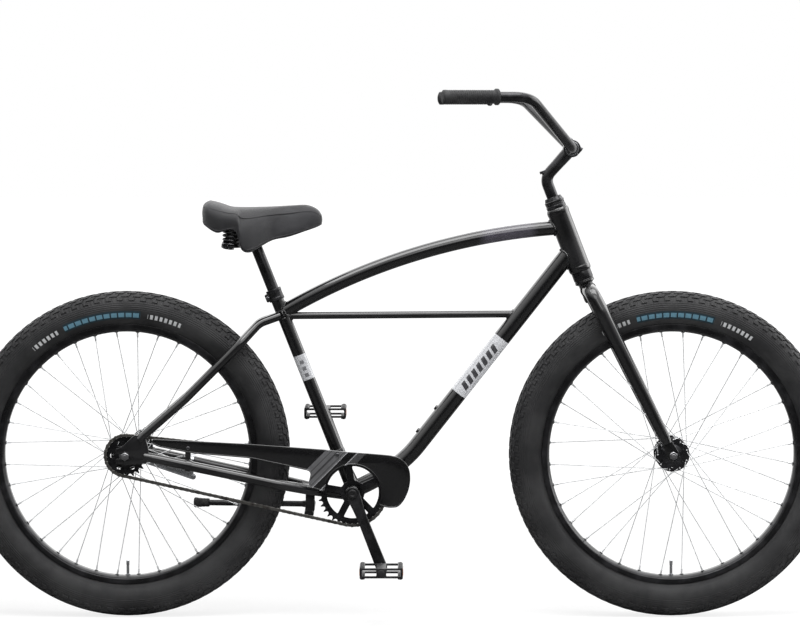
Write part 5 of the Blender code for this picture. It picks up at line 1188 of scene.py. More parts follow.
def weld(path, radius, host):
    """Rippled bead round the corner where a tube's last stretch meets a round host."""
    point, axis, host_radius = host
    way = (path[-1] - path[-2]).normalized()
    side = (Y_AXIS - way * way.dot(Y_AXIS)).normalized()
    other = way.cross(side)
    across = way - axis * way.dot(axis)
    count = 4 * round(math.tau * radius / 0.0028)
    corner = []
    for angle in (math.tau * i / count for i in range(count)):
        rim = (side * math.cos(angle) + other * math.sin(angle)) * radius
        start = path[-1] - way * WELD_RUN + rim
        gap = start - point
        gap -= axis * gap.dot(axis)
        a, b, c = across.dot(across), gap.dot(across), gap.dot(gap) - host_radius**2
        corner.append(start + way * ((-b - math.sqrt(max(0.0, b * b - a * c))) / a))
    ripple = [1 + 0.13 * math.sin(QUARTER * i) for i in range(count)]
    return tube(corner, looks_of("frame").weld_height * 1.5, 8, ripple, closed=True)


def tab_welds(path, offset, length):
    """Two fillets along a dropout, at the closed end of the tube that holds it."""
    way = (path[-2] - path[-1]).normalized()
    across = way.cross(Y_AXIS).normalized()
    starts = [path[-1] + across * offset * edge + way * 0.001 for edge in SIDES]
    return [rod(start, start + way * length, 0.0021, 0.0008, 10) for start in starts]


def head_core():
    return rod(on_steerer(HEAD_LOW), on_steerer(HEAD_HIGH), HEAD_TUBE_RADIUS - 0.002, 0)


def seat_core():
    return rod(BRACKET, SEAT_TOP, SEAT_TUBE_RADIUS - 0.0006, 0)


def shell_core():
    return cross_rod(BRACKET, -BRACKET_HALF, BRACKET_HALF, BRACKET_RADIUS - 0.0015, 0)


def make_head_tube():
    """Large head tube with a rolled collar at each end."""
    wide, neck, bore = HEAD_TUBE_RADIUS, 0.0230, 0.0190
    shape = turned([
        (bore, HEAD_HIGH), (neck, HEAD_HIGH), (wide, HEAD_HIGH - 0.005), (wide, HEAD_HIGH - 0.011),
        (wide - 0.0007, HEAD_HIGH - 0.013), (wide - 0.0007, HEAD_LOW + 0.013),
        (wide, HEAD_LOW + 0.011), (wide, HEAD_LOW + 0.005), (neck, HEAD_LOW), (bore, HEAD_LOW),
    ], 0.0012, 3, STEER_FOOT, STEER_UP, 72)
    piece("head_tube_shell", shape, enamel(), "frame", "head_tube")


def make_top_tube():
    """Top tube, which is an arc over the chord between its ends."""
    chord = TOP_TUBE_FRONT - TOP_TUBE_REAR
    up = plane(-chord.z, chord.x).normalized()
    radius = (chord.length_squared / 4 + TOP_TUBE_BULGE**2) / (2 * TOP_TUBE_BULGE)
    centre = (TOP_TUBE_REAR + TOP_TUBE_FRONT) / 2 + up * (TOP_TUBE_BULGE - radius)
    middle, half = math.atan2(up.z, up.x), math.asin(chord.length / 2 / radius)
    path = [plane(x, z) for x, z in arc(centre, radius, middle + half, middle - half, 48)]
    paint = panelled_paint("top tube enamel", (plane(0, 0.72), plane(1, 0), 0.183, 0.294),
                           (0.060, 0.056, 0.072), 0.030, (0.205, 0.270, 0.016, 0.62, 0.0035, 0.0),
                           (0.13, 0.12, 0.14), 0.4)
    piece("top_tube_shell", cut(tube(path, TOP_TUBE_RADIUS, 48), head_core(), seat_core()), paint,
          "frame", "top_tube")
    piece("top_tube_welds", [weld(path, TOP_TUBE_RADIUS, HEAD),
                             weld(path[::-1], TOP_TUBE_RADIUS, SEAT)], enamel(), "frame")


def make_down_tube():
    """Down tube with its panel and the two threaded bosses for a bottle cage."""
    path = [DOWN_TOP, *bend(DOWN_KNEE + DOWN_DIR * 0.0712, DOWN_KNEE, BRACKET, 16)]
    shapes = [cut(tube(path, DOWN_TUBE_RADIUS, 56), head_core(), shell_core())]
    normal = plane(-DOWN_DIR.z, DOWN_DIR.x)
    mark = on_line(DOWN_KNEE, DOWN_DIR, BRACKET.z)
    plugs = []
    for along in (0.151, 0.215):
        face = mark + DOWN_DIR * along + normal * (DOWN_TUBE_RADIUS + 0.003)
        shapes.append(turned([(0.0036, 0), (0.0036, -0.0075), (0.0062, -0.0050),
                              (0.0060, -0.0032), (0.0055, 0)], 0.0004, 2, face, normal, 32))
        plugs.append(socket_head(face - normal * 0.0028, normal, 0.0034, 0.0024))
    paint = panelled_paint("down tube enamel", (DOWN_TOP, DOWN_DIR, 0.4645, 0.618),
                           tuple(looks_of("frame").panel_colour), 0.0012,
                           (0.482, 0.601, 0.0170, 0.66, 0.0088, 0.35), (0.05, 0.05, 0.055), 0.25)
    piece("down_tube_shell", shapes, paint, "frame", "down_tube")
    piece("down_tube_welds", [weld(path[::-1], DOWN_TUBE_RADIUS, HEAD),
                              weld(path, DOWN_TUBE_RADIUS, SHELL)], enamel(), "frame")
    piece("bottle_boss_plugs", plugs, finish_of("bright steel"), "frame")


def make_seat_tube():
    """Seat tube open at the top, the thin tube that braces it, and the bracket's shell."""
    wall, top = SEAT_TUBE_RADIUS, SEAT_TUBE_LENGTH
    shape = lathe([(wall, 0.005), (wall, top), (0.0131, top), (0.0131, 0.040), (0.0020, 0.038),
                   (0.0020, 0.005)], BRACKET, SEAT_UP, 48)
    paint = panelled_paint("seat tube enamel", (BRACKET, SEAT_UP, 0.557, 0.614),
                           dimmed(looks_of("frame").panel_colour, 0.8), 0.0012,
                           (0.563, 0.608, 0.0150, 0.60, 0.0045, 0.0), (0.16, 0.16, 0.17), 0.3)
    piece("seat_tube_shell", cut(shape, shell_core()), paint, "frame", "seat_tube")
    front = on_line(DOWN_KNEE, DOWN_DIR, MID_TUBE_REAR.z + 0.004)
    brace = cut(rod(MID_TUBE_REAR, front, MID_TUBE_RADIUS, 0), seat_core())
    piece("mid_tube_shell", brace, enamel(), "frame", "mid_tube")
    piece("mid_tube_welds", [weld([front, MID_TUBE_REAR], MID_TUBE_RADIUS, SEAT),
                             weld([MID_TUBE_REAR, front], MID_TUBE_RADIUS, DOWN),
                             weld([SEAT_TOP, BRACKET], SEAT_TUBE_RADIUS, SHELL)],
          enamel(), "frame")
    half, out, bore = BRACKET_HALF, BRACKET_RADIUS, 0.0172
    shape = turned([(bore, -half), (out, -half), (out, half), (bore, half)], 0.0008, 3,
                   BRACKET, Y_AXIS, 64)
    piece("bracket_shell_body", shape, enamel(), "frame", "bracket_shell")


def chain_stay_path(side):
    return rounded([
        BRACKET + plane(-0.006, -0.010, side * 0.022),
        plane(STAND_X, STAND_PLATE_HEIGHT, side * 0.036),
        plane(REAR_HUB.x + TYRE_RADIUS - 0.0225, BRACKET.z + 0.0170, side * STAY_SPREAD),
        plane(REAR_HUB.x + 0.1765, REAR_HUB.z - 0.0295, side * (STAY_SPREAD + 0.002)),
        REAR_HUB + plane(0.040, 0, side * STAY_END),
    ], 0.07)


def seat_stay_path(side):
    tread = REAR_HUB + (MID_TUBE_REAR - REAR_HUB).normalized() * TYRE_RADIUS
    shoulder = tread + plane(-0.0158, 0.0094, side * 0.054)
    end = REAR_HUB + plane(0.030, 0.036, side * STAY_END)
    middle = shoulder.lerp(end, 0.55)
    return rounded([
        MID_TUBE_REAR + plane(-0.0085, 0, side * 0.013),
        tread + plane(0.0232, 0.0514, side * 0.029), shoulder,
        plane(middle.x, middle.z - 0.007, side * (STAY_SPREAD + 0.002)), end,
    ], 0.05)


def drawn_in(path, near, reach=0.022):
    """Share of the radius along a path whose last stretch narrows to this share."""
    return [near + (1 - near) * min(1.0, left / reach) for left in reversed(runs(path[::-1]))]


def fine_end(path, reach=0.020, count=6):
    """The path with extra points near its end, for a taper."""
    last, before = path[-1], path[-2]
    way = (before - last).normalized()
    return path[:-1] + [last + way * reach * i / count for i in range(count, 0, -1)] + [last]


def axle_slot(centre, angle, length, half=0.0051):
    """(x, z) points round an axle, from one side of its slot's mouth to the other."""
    mouth = [centre + towards(angle) * length + towards(angle + QUARTER) * half * side
             for side in SIDES]
    bed = arc(centre, half, angle - QUARTER, angle - 3 * QUARTER, 17)
    return [tuple(mouth[0].xz), *bed, tuple(mouth[1].xz)]


def rear_dropout(side):
    """Plate with a slot that is open to the rear, in which the axle slides."""
    x, z = REAR_HUB.x, REAR_HUB.z
    edge = softened([(x + dx, z + dz) for dx, dz in (
        (-0.020, -0.016), (0.010, -0.019), (0.048, -0.014), (0.052, 0.012), (0.045, 0.040),
        (0.022, 0.048), (-0.006, 0.022), (-0.020, 0.016))], 0.006, 5)
    return plate([edge + axle_slot(REAR_HUB, math.pi, 0.020)], side * 0.0675, side * 0.0735, 0.0008)


def make_rear_stays():
    for side in SIDES:
        name = side_name(side)
        low, high = fine_end(chain_stay_path(side)), fine_end(seat_stay_path(side))
        stay = cut(tube(low, CHAIN_STAY_RADIUS, 32, drawn_in(low, 0.72)), shell_core())
        piece(f"chain_stay_{name}_tube", [stay, rear_dropout(side)], enamel(), "frame",
              f"chain_stay_{name}")
        stay = cut(tube(high, SEAT_STAY_RADIUS, 28, drawn_in(high, 0.75)), seat_core())
        piece(f"seat_stay_{name}_tube", stay, enamel(), "frame", f"seat_stay_{name}")
        piece(f"stay_{name}_welds", [
            weld(low[::-1], CHAIN_STAY_RADIUS, SHELL), weld(high[::-1], SEAT_STAY_RADIUS, SEAT),
            *tab_welds(low, CHAIN_STAY_RADIUS * 0.8, 0.013),
            *tab_welds(high, SEAT_STAY_RADIUS * 0.8, 0.013),
        ], enamel(), "frame")
    at = MID_TUBE_REAR - plane(0.066, 0.030)
    piece("seat_stay_bridge_tube", cross_rod(at, -0.031, 0.031, 0.0070, 0.0004, 28), enamel(),
          "frame", "seat_stay_bridge")
    plinth = block(plane(STAND_X, STAND_PLATE_HEIGHT), (0.044, 0.079, 0.005), edge=0.0012)
    piece("stand_plate", plinth, enamel(), "frame", "kickstand_plate")


def make_seat_clamp():
    """Split collar on the seat tube's top, its bolt through two ears at the rear."""
    bore, radius, height = SEAT_TUBE_RADIUS + 0.0003, 0.0172, 0.026
    collar = turned([(bore, -height), (radius, -height), (radius, -0.020),
                     (radius - 0.0006, -0.019), (radius - 0.0006, -0.007), (radius, -0.006),
                     (radius, 0), (bore, 0)], 0.0008, 3, SEAT_TOP, SEAT_UP, 64)
    middle = SEAT_TOP - SEAT_UP * height * 0.55
    back = towards(math.pi - SEAT_ANGLE + QUARTER)
    turn = QUARTER - SEAT_ANGLE
    inside = rod(SEAT_TOP - SEAT_UP * 0.05, SEAT_TOP + SEAT_UP * 0.01, bore, 0, 48)
    slit = block(middle + back * radius, (0.030, 0.002, height * 1.5), turn, 0)
    ears = block(middle + back * radius, (0.011, 0.020, height * 0.7), turn, 0.0030, 4)
    at = middle + back * (radius + 0.001)
    piece("seat_clamp_collar", [cut(collar, slit), cut(ears, inside, slit)],
          finish_of("black alloy"), "frame", "seat_clamp")
    piece("seat_clamp_bolt", [
        cross_rod(at, -0.0135, 0.011, 0.0025, 0.0003, 16),
        socket_head(at + Y_AXIS * 0.0100, Y_AXIS, 0.0043, 0.0040),
        hexagon(at - Y_AXIS * 0.0100, -Y_AXIS, 0.0080, 0.0030),
    ], finish_of("dark steel"), "frame")


def make_headset():
    bore, insert, flange = 0.0149, 0.0187, 0.0220
    for name, face, into, outer in (("lower", HEAD_LOW - 0.0003, 1, FORK_LENGTH + 0.0003),
                                    ("upper", HEAD_HIGH + 0.0003, -1, HEAD_HIGH + 0.0110)):
        depth, lip = face + into * 0.012, outer + into * 0.0022
        shape = turned([
            (bore, depth), (insert, depth), (insert, face), (flange, face),
            (flange, lip + into * 0.0016), (flange - 0.0011, lip + into * 0.0008),
            (flange - 0.0011, lip), (flange - 0.0004, lip - into * 0.0006),
            (flange - 0.0004, outer), (bore, outer),
        ], 0.0005, 2, STEER_FOOT, STEER_UP, 72)
        piece(f"headset_{name}_cup", shape, finish_of("headset alloy"), "frame",
              f"{name}_headset_cup")


def make_bracket_cups():
    """Cups with a notched flange outside the shell's faces."""
    face = BRACKET_HALF
    for side in SIDES:
        cup = turned([
            (0.0091, 0.0185), (0.0169, 0.0185), (0.0169, face + 0.0003), (0.0205, face + 0.0003),
            (0.0205, face + 0.0040), (0.0145, face + 0.0040), (0.0135, face + 0.0032),
            (0.0091, face + 0.0032),
        ], 0.0005, 2, BRACKET, (0, side, 0), 64)
        notches = together(*[
            block(BRACKET + towards(angle) * 0.0203 + plane(0, 0, side * (face + 0.0030)),
                  (0.0042, 0.0040, 0.0036), angle, 0)
            for angle in (math.tau * i / 8 for i in range(8))])
        piece(f"bracket_cup_{side_name(side)}_ring", cut(cup, notches), finish_of("black alloy"),
              "frame", f"bracket_cup_{side_name(side)}")


class BIKE_OT_frame(BikeOperator, bpy.types.Operator):
    """Painted tubes with their welds, dropouts, seat clamp, headset and bracket cups"""
    bl_idname = "bike.frame"
    bl_label = "Frame"
    makers = (make_head_tube, make_top_tube, make_down_tube, make_seat_tube, make_rear_stays,
              make_seat_clamp, make_headset, make_bracket_cups)


# Drive

RUN_ANGLE = math.atan2(BRACKET.z - REAR_HUB.z, BRACKET.x - REAR_HUB.x)
CENTRES = (REAR_HUB - BRACKET).length
LEAN = math.acos((COG_RADIUS - RING_RADIUS) / CENTRES)
UPPER, LOWER = RUN_ANGLE + LEAN, RUN_ANGLE - LEAN      # outward normals of the two runs
RUN_COUNT = CENTRES * math.sin(LEAN) / PITCH
COG_COUNT = COG_TEETH * (math.tau - 2 * LEAN) / math.tau
ROLLER_RADIUS = 0.0038
ROLLER_START = 0.5      # pitches from the start of the upper run to the first roller
SPROCKET_HALF = 0.0013
WINDOW_IN, WINDOW_OUT, ARM_HALF = 0.0265, 0.0570, 0.0075
PEDAL_LENGTH, PEDAL_WIDTH, PEDAL_HEIGHT = 0.093, 0.098, 0.026
PEDAL_GAP, PEDAL_RAIL, PEDAL_CORE = 0.014, 0.011, 0.0105


def chain_point(count):
    """Point of the pitch line this many pitches along."""
    count %= CHAIN_PITCHES
    upper, lower = towards(UPPER), towards(LOWER)
    if count < RUN_COUNT:
        return (BRACKET + upper * RING_RADIUS).lerp(REAR_HUB + upper * COG_RADIUS,
                                                    count / RUN_COUNT)
    count -= RUN_COUNT
    if count < COG_COUNT:
        return REAR_HUB + towards(UPPER + math.tau * count / COG_TEETH) * COG_RADIUS
    count -= COG_COUNT
    if count < RUN_COUNT:
        return (REAR_HUB + lower * COG_RADIUS).lerp(BRACKET + lower * RING_RADIUS,
                                                    count / RUN_COUNT)
    return BRACKET + towards(LOWER + math.tau * (count - RUN_COUNT) / RING_TEETH) * RING_RADIUS


def link(inner):
    """Two plates of a link about its middle, with its rollers or its riveted pins."""
    half, cheek = PITCH / 2, 1.05
    right = arc(plane(half, 0), 0.0042, -cheek, cheek, 6)
    left = arc(plane(-half, 0), 0.0042, math.pi - cheek, math.pi + cheek, 6)
    outline = right + [(0, 0.0030)] + left + [(0, -0.0030)]
    near = 0.00165 if inner else 0.00280
    reach, radius, steps = (0.0016, ROLLER_RADIUS, 14) if inner else (0.0043, 0.0018, 8)
    return together(
        *[plate([outline], side * near, side * (near + 0.00105), 0.0002, 0) for side in SIDES],
        *[cross_rod(plane(end * half, 0), -reach, reach, radius, 0, steps) for end in SIDES])


def make_chain():
    places = []
    for i in range(CHAIN_PITCHES):
        here, there = (chain_point(ROLLER_START + i + step) for step in (0, 1))
        way = (there - here).normalized()
        places.append(((here + there) / 2 - plane(0, 0, CHAIN_LINE), way, way.cross(Y_AXIS)))
    steel = finish_of("chain steel")
    piece("chain_links", path_copies(places, link(False), link(True), steel), steel, "frame",
          "chain")


def sprocket(centre, teeth, radius, phase, holes, edge):
    """Toothed plate with a round seat for a roller at each pitch from phase."""
    gap, points = ROLLER_RADIUS + 0.0003, []
    for i in range(teeth):
        angle = phase + math.tau * i / teeth
        points += arc(centre + towards(angle) * radius, gap, angle - math.radians(100),
                      angle - math.radians(260), 7)
        for step in (-0.0009, 0.0009):
            tip = centre + towards(angle + math.pi / teeth + step / radius) * (radius + 0.0034)
            points.append(tuple(tip.xz))
    return plate([points, *holes], -CHAIN_LINE - SPROCKET_HALF, SPROCKET_HALF - CHAIN_LINE, edge)


def window(middle, count=5):
    """(x, z) outline of one opening between two arms of the chainring."""
    half_in, half_out = (math.pi / 5 - math.asin(ARM_HALF / r) for r in (WINDOW_IN, WINDOW_OUT))
    inner = arc(BRACKET, WINDOW_IN, middle - half_in, middle + half_in, count)
    outer = arc(BRACKET, WINDOW_OUT, middle + half_out, middle - half_out, 2 * count)
    return softened(inner + outer, 0.0035, 4, closed=True)


def make_sprockets():
    finish = finish_of("ring enamel")
    windows = [window(CRANK_ANGLE + math.radians(-13) + math.tau * i / 5) for i in range(5)]
    ring = sprocket(BRACKET, RING_TEETH, RING_RADIUS, UPPER + math.tau * ROLLER_START / RING_TEETH,
                    [circle(BRACKET, 0.0158), *windows], 0.0006)
    lips = [turned([(0.0612, 0), (0.0612, 0.0007), (0.0628, 0.0007), (0.0628, 0)], 0.0003, 2,
                   BRACKET - plane(0, 0, CHAIN_LINE + SPROCKET_HALF * side), (0, -side, 0), 120)
            for side in SIDES]
    piece("chainring_plate", [ring, *lips], finish, "crankset", "chainring")
    holes = [circle(REAR_HUB + towards(math.tau * i / 6) * 0.0290, 0.0052, 20) for i in range(6)]
    cog = sprocket(REAR_HUB, COG_TEETH, COG_RADIUS,
                   UPPER + math.tau * (ROLLER_START - RUN_COUNT) / COG_TEETH,
                   [circle(REAR_HUB, 0.0125, 40), *holes], 0.0005)
    piece("rear_cog_plate", cog, finish, "rear_cog", "rear_cog")
    driver = turned([
        (0.0088, -0.0428), (0.0200, -0.0428), (0.0200, -CHAIN_LINE + 0.0026),
        (0.0122, -CHAIN_LINE + 0.0026), (0.0122, -CHAIN_LINE - 0.0026),
        (0.0088, -CHAIN_LINE - 0.0026),
    ], 0.0006, 2, REAR_HUB, Y_AXIS, 64)
    clip = turned([(0.0124, 0.0014), (0.0150, 0.0014), (0.0150, 0.0024), (0.0124, 0.0024)],
                  0.0003, 2, REAR_HUB - plane(0, 0, CHAIN_LINE), -Y_AXIS, 48)
    piece("cog_driver_body", [driver, clip], finish_of("axle steel"), "rear_cog", "cog_driver")


def crank_arm(side, end):
    """Forged arm: rounded edges, a boss on the spindle and an eye for the pedal."""
    direction = (end - BRACKET).normalized()
    angle = math.atan2(direction.z, direction.x)
    waist, across = BRACKET.lerp(end, 0.3), towards(angle + QUARTER) * 0.0110
    big = arc(BRACKET, 0.0155, angle + 0.9 * QUARTER, angle + 3.1 * QUARTER, 20)
    small = arc(end, 0.0125, angle - QUARTER, angle + QUARTER, 16)
    outline = softened([*big, tuple((waist - across).xz), *small, tuple((waist + across).xz)],
                       0.020, 6, closed=True)
    arm = plate([outline], side * CRANK_INSET, side * CRANK_FACE, 0.0036, 5)
    inner = CHAIN_LINE - 0.0045 if side < 0 else BRACKET_HALF + 0.008
    boss = turned([(0.0087, inner), (0.0153, inner), (0.0155, CRANK_INSET + 0.003),
                   (0.0087, CRANK_INSET + 0.003)], 0.0008, 3, BRACKET, (0, side, 0), 48)
    bore, eye = (cross_rod(at, side * 0.02, side * 0.12, radius, 0, 24)
                 for at, radius in ((BRACKET, 0.0088), (end, 0.0073)))
    return together(cut(arm, bore, eye), boss)


def make_cranks():
    outer, steel = CRANK_FACE, finish_of("axle steel")
    tip = outer + PEDAL_GAP + PEDAL_WIDTH - 0.012
    for side in SIDES:
        name = side_name(side)
        centre = BRACKET - CRANK_DIR * side * CRANK_LENGTH
        way = plane(0, 0, side)
        piece(f"crank_{name}_arm", crank_arm(side, centre), finish_of("crank alloy"), "crankset",
              f"crank_{name}")
        axle = lathe([
            (0, CRANK_INSET + 0.0015), (0.0068, CRANK_INSET + 0.0015),
            (0.0070, CRANK_INSET + 0.003), (0.0070, outer + 0.0003), (0.0090, outer + 0.0005),
            (0.0090, outer + 0.0090), (0.0078, outer + 0.0100), (0.0078, outer + 0.0118),
            (0.0050, outer + 0.0120), (0.0050, tip), (0, tip),
        ], centre, way, 32)
        flats = hexagon(centre + way * (outer + 0.0020), way, 0.0176, 0.0055, 0.0052)
        piece(f"pedal_axle_{name}_rod", [axle, flats], steel, "crankset", f"pedal_axle_{name}")
        make_pedal(side, centre)
    caps = [turned([(0, 0), (0.0084, 0), (0.0098, 0.0008), (0.0098, 0.0024), (0.0052, 0.0034),
                    (0.0044, 0.0026), (0, 0.0026)], 0.0005, 2,
                   BRACKET + plane(0, 0, side * (outer + 0.0002)), (0, side, 0), 40)
            for side in SIDES]
    reach = outer + 0.002
    piece("crank_spindle_rod", cross_rod(BRACKET, -reach, reach, 0.0084), steel, "crankset",
          "crank_spindle")
    piece("crank_caps", caps, finish_of("dust caps"), "crankset")


def make_pedal(side, centre):
    """Resin pedal: two toothed treads and a core, open between them, with reflectors."""
    name = side_name(side)
    long, wide, high, rail, core = PEDAL_LENGTH, PEDAL_WIDTH, PEDAL_HEIGHT, PEDAL_RAIL, PEDAL_CORE
    way = plane(0, 0, side)
    inner = CRANK_FACE + PEDAL_GAP
    middle = centre + way * (inner + wide / 2)
    body = block(middle, (long, wide, high), edge=0.0035, segments=4)
    gap = long / 2 - rail - core
    reach = long / 2 - 0.0045
    teeth, lamps = [], []
    for step in SIDES:
        hole = block(middle + plane(step * (core + gap / 2), 0), (gap, wide - 2 * rail, 2 * high),
                     edge=0.002)
        notch = block(middle + plane(0, step * (high / 2 + 0.002)),
                      (long - 2 * rail, wide * 2, high * 0.35), edge=0)
        opening = block(middle + plane(step * (reach + core) / 2, 0),
                        (reach - core, wide * 2, high - 0.013), edge=0.002)
        body = cut(body, hole, notch, opening)
        teeth += [
            block(middle + plane(step * (long - rail) / 2, up * (high / 2 + 0.0001),
                                 (i - 4) * 0.0095), (0.0062, 0.0052, 0.0024), 0, 0.0008, 1)
            for i in range(9) for up in SIDES]
        lamps.append(block(middle + plane(step * (long / 2 - 0.0004), 0), (0.0022, 0.056, 0.0145),
                           edge=0.0007))
    body = cut(body, cross_rod(centre, side * (inner - 0.01), side * (inner + wide - 0.009),
                               0.0057, 0, 24))
    end = turned([(0, 0), (0.0080, 0), (0.0080, 0.0016), (0.0060, 0.0024), (0, 0.0024)],
                 0.0005, 2, centre + way * (inner + wide - 0.0012), way, 32)
    piece(f"pedal_{name}_body", [body, *teeth, end], finish_of("pedal resin"), f"pedal_{name}",
          f"pedal_{name}")
    amber = Finish(f"amber {name}", "black_plastic", (0.75, 0.20, 0.01), 0.12, coat=1.0)
    prisms = amber.cells(420.0)
    amber.set(**{"Base Color": amber.mix(prisms.above(0.4, 0.3), (0.80, 0.24, 0.01),
                                         (0.45, 0.08, 0.005))})
    amber.bump(prisms, 0.0006, 0.6)
    piece(f"pedal_{name}_reflectors", lamps, amber, f"pedal_{name}")


# Chain guard, brake arm and kickstand

GUARD_LINE = 0.0655
GUARD_HALF = 0.00125
GUARD_UPPER = (             # (x, z) from the bracket
    (-0.4339, 0.1160), (-0.2199, 0.1050), (-0.0609, 0.0930), (-0.0119, 0.0880),
    (0.0421, 0.0840), (0.0821, 0.0805), (0.1011, 0.0760), (0.1151, 0.0650), (0.1231, 0.0490),
    (0.1246, 0.0270), (0.1201, 0.0040), (0.1111, -0.0150), (0.1031, -0.0250), (0.0956, -0.0305),
    (0.0771, -0.0315),
)
GUARD_LOWER = (
    (-0.0959, 0.0140), (-0.0879, 0.0480), (-0.1279, 0.0570), (-0.2219, 0.0770),
    (-0.3519, 0.0880), (-0.4229, 0.1020), (-0.4349, 0.1090),
)
GUARD_STRIPES = (           # from, to, softness, share of the stripes' colour
    (-0.3205, -0.3074, 0.0008, 0.45), (-0.3655, -0.3640, 0.0008, 0.35),
    (-0.3560, -0.3520, 0.0008, 0.35), (-0.3440, -0.3425, 0.0008, 0.35),
    (-0.3390, -0.3372, 0.0004, 2.4), (-0.3228, -0.3208, 0.0004, 2.4),
)


def guard_paint():
    """Gloss black with a cloudy slanted stripe, and others that are darker or lighter."""
    looks = looks_of("frame")
    black, grey = tuple(looks.frame_colour), tuple(looks.stripe_colour)
    finish = Finish("guard enamel", "frame_paint", black, 0.26, coat=1.0)
    x, _, z = finish.axes()
    way = (x - z) * math.sqrt(0.5)
    cloud = finish.noise(22.0, 5.0)
    colour = finish.mix(way.between(-0.3748, -0.3390, 0.0008), black,
                        finish.mix(cloud.above(0.45, 0.5), dimmed(grey, 0.75), grey))
    for low, high, soft, share in GUARD_STRIPES:
        colour = finish.mix(way.between(low, high, soft), colour, dimmed(grey, share))
    finish.set(**{"Base Color": colour, "Roughness": 0.26 + 0.10 * (cloud - 0.5)})
    return finish


def stay_clip(side):
    """Point and direction of a chain stay's centre line where straps hold on to it."""
    path = chain_stay_path(side)
    for start, end in zip(path, path[1:]):
        if end.x <= STAY_CLIP_X <= start.x:
            share = (STAY_CLIP_X - start.x) / (end.x - start.x)
            return start.lerp(end, share), (end - start).normalized()
    raise ValueError("the stay doesn't reach this far")


def clip_band(centre, axis, radius):
    """Strap round a tube, with rolled edges."""
    inner, outer = radius + 0.0003, radius + 0.0022
    return turned([(inner, -0.006), (outer, -0.006), (outer, 0.006), (inner, 0.006)],
                  0.0007, 3, centre, axis, 48)


def make_guard():
    """Pressed guard with a rolled rim, a strap to the seat tube and one to the chain stay."""
    upper, lower = ([(BRACKET.x + x, BRACKET.z + z) for x, z in side]
                    for side in (GUARD_UPPER, GUARD_LOWER))
    arch = arc(BRACKET, 0.0630, math.radians(-24), math.radians(176), 40)
    outline = softened(upper + arch + lower, 0.012, 5, closed=True)
    sheet = plate([outline], -GUARD_LINE - GUARD_HALF, GUARD_HALF - GUARD_LINE, 0.0006)
    rim = tube([plane(x, z, -GUARD_LINE) for x, z in outline], 0.0017, 10, closed=True,
               flat=(0, 1, 0))
    piece("chain_guard_sheet", [sheet, rim], guard_paint(), "frame", "chain_guard")
    at = on_line(BRACKET, SEAT_UP, BRACKET.z + 0.0830)
    reach = GUARD_LINE - SEAT_TUBE_RADIUS
    stay, along = stay_clip(-1)
    piece("chain_guard_straps", [
        block(at - plane(0, 0, SEAT_TUBE_RADIUS + reach / 2), (0.012, reach - 0.001, 0.002),
              edge=0.0006),
        block(plane(stay.x, stay.z + 0.0295, 0.0014 - GUARD_LINE), (0.012, 0.0027, 0.033),
              edge=0.0006),
        clip_band(at, SEAT_UP, SEAT_TUBE_RADIUS), clip_band(stay, along, CHAIN_STAY_RADIUS),
    ], enamel(), "frame")
    screws = [socket_head(plane(x, z, -GUARD_LINE - 0.0012), -Y_AXIS, 0.0040, 0.0022)
              for x, z in ((at.x, at.z), (stay.x, stay.z + 0.038))]
    piece("chain_guard_screws", screws, finish_of("dark steel"), "frame", slot="frame_paint")


def make_brake_arm():
    """Pressed lever of the coaster brake, with its strap and screw on the left stay."""
    stay, along = stay_clip(1)
    end = plane(STAY_CLIP_X + 0.004, stay.z - 0.036)
    angle = math.atan2(end.z - REAR_HUB.z, end.x - REAR_HUB.x)
    line = plane(0, 0, 0.0575)
    outline = [*arc(REAR_HUB, 0.0150, angle + QUARTER, angle + 3 * QUARTER, 24),
               *arc(end, 0.0065, angle - QUARTER, angle + QUARTER, 12)]
    lever = plate([outline, circle(REAR_HUB, 0.0088, 40)], line.y - 0.0015, line.y + 0.0015, 0.0006)
    ridge = [REAR_HUB.lerp(end, t) + line + plane(0, 0, 0.0012) for t in (0.16, 0.5, 0.88)]
    low, high = end.z - 0.002, stay.z - CHAIN_STAY_RADIUS - 0.001
    piece("brake_arm_lever", [
        lever, tube(ridge, 0.0026, 12, [0.8, 1.0, 0.7]),
        block(plane(STAY_CLIP_X, (low + high) / 2, line.y), (0.010, 0.004, high - low),
              edge=0.0008),
        clip_band(stay, along, CHAIN_STAY_RADIUS),
        socket_head(end + line + plane(0, 0, 0.002), Y_AXIS, 0.0048, 0.0034),
        hexagon(end + line - plane(0, 0, 0.002), -Y_AXIS, 0.0090, 0.0036),
    ], finish_of("zinc plate"), "frame", "brake_arm")


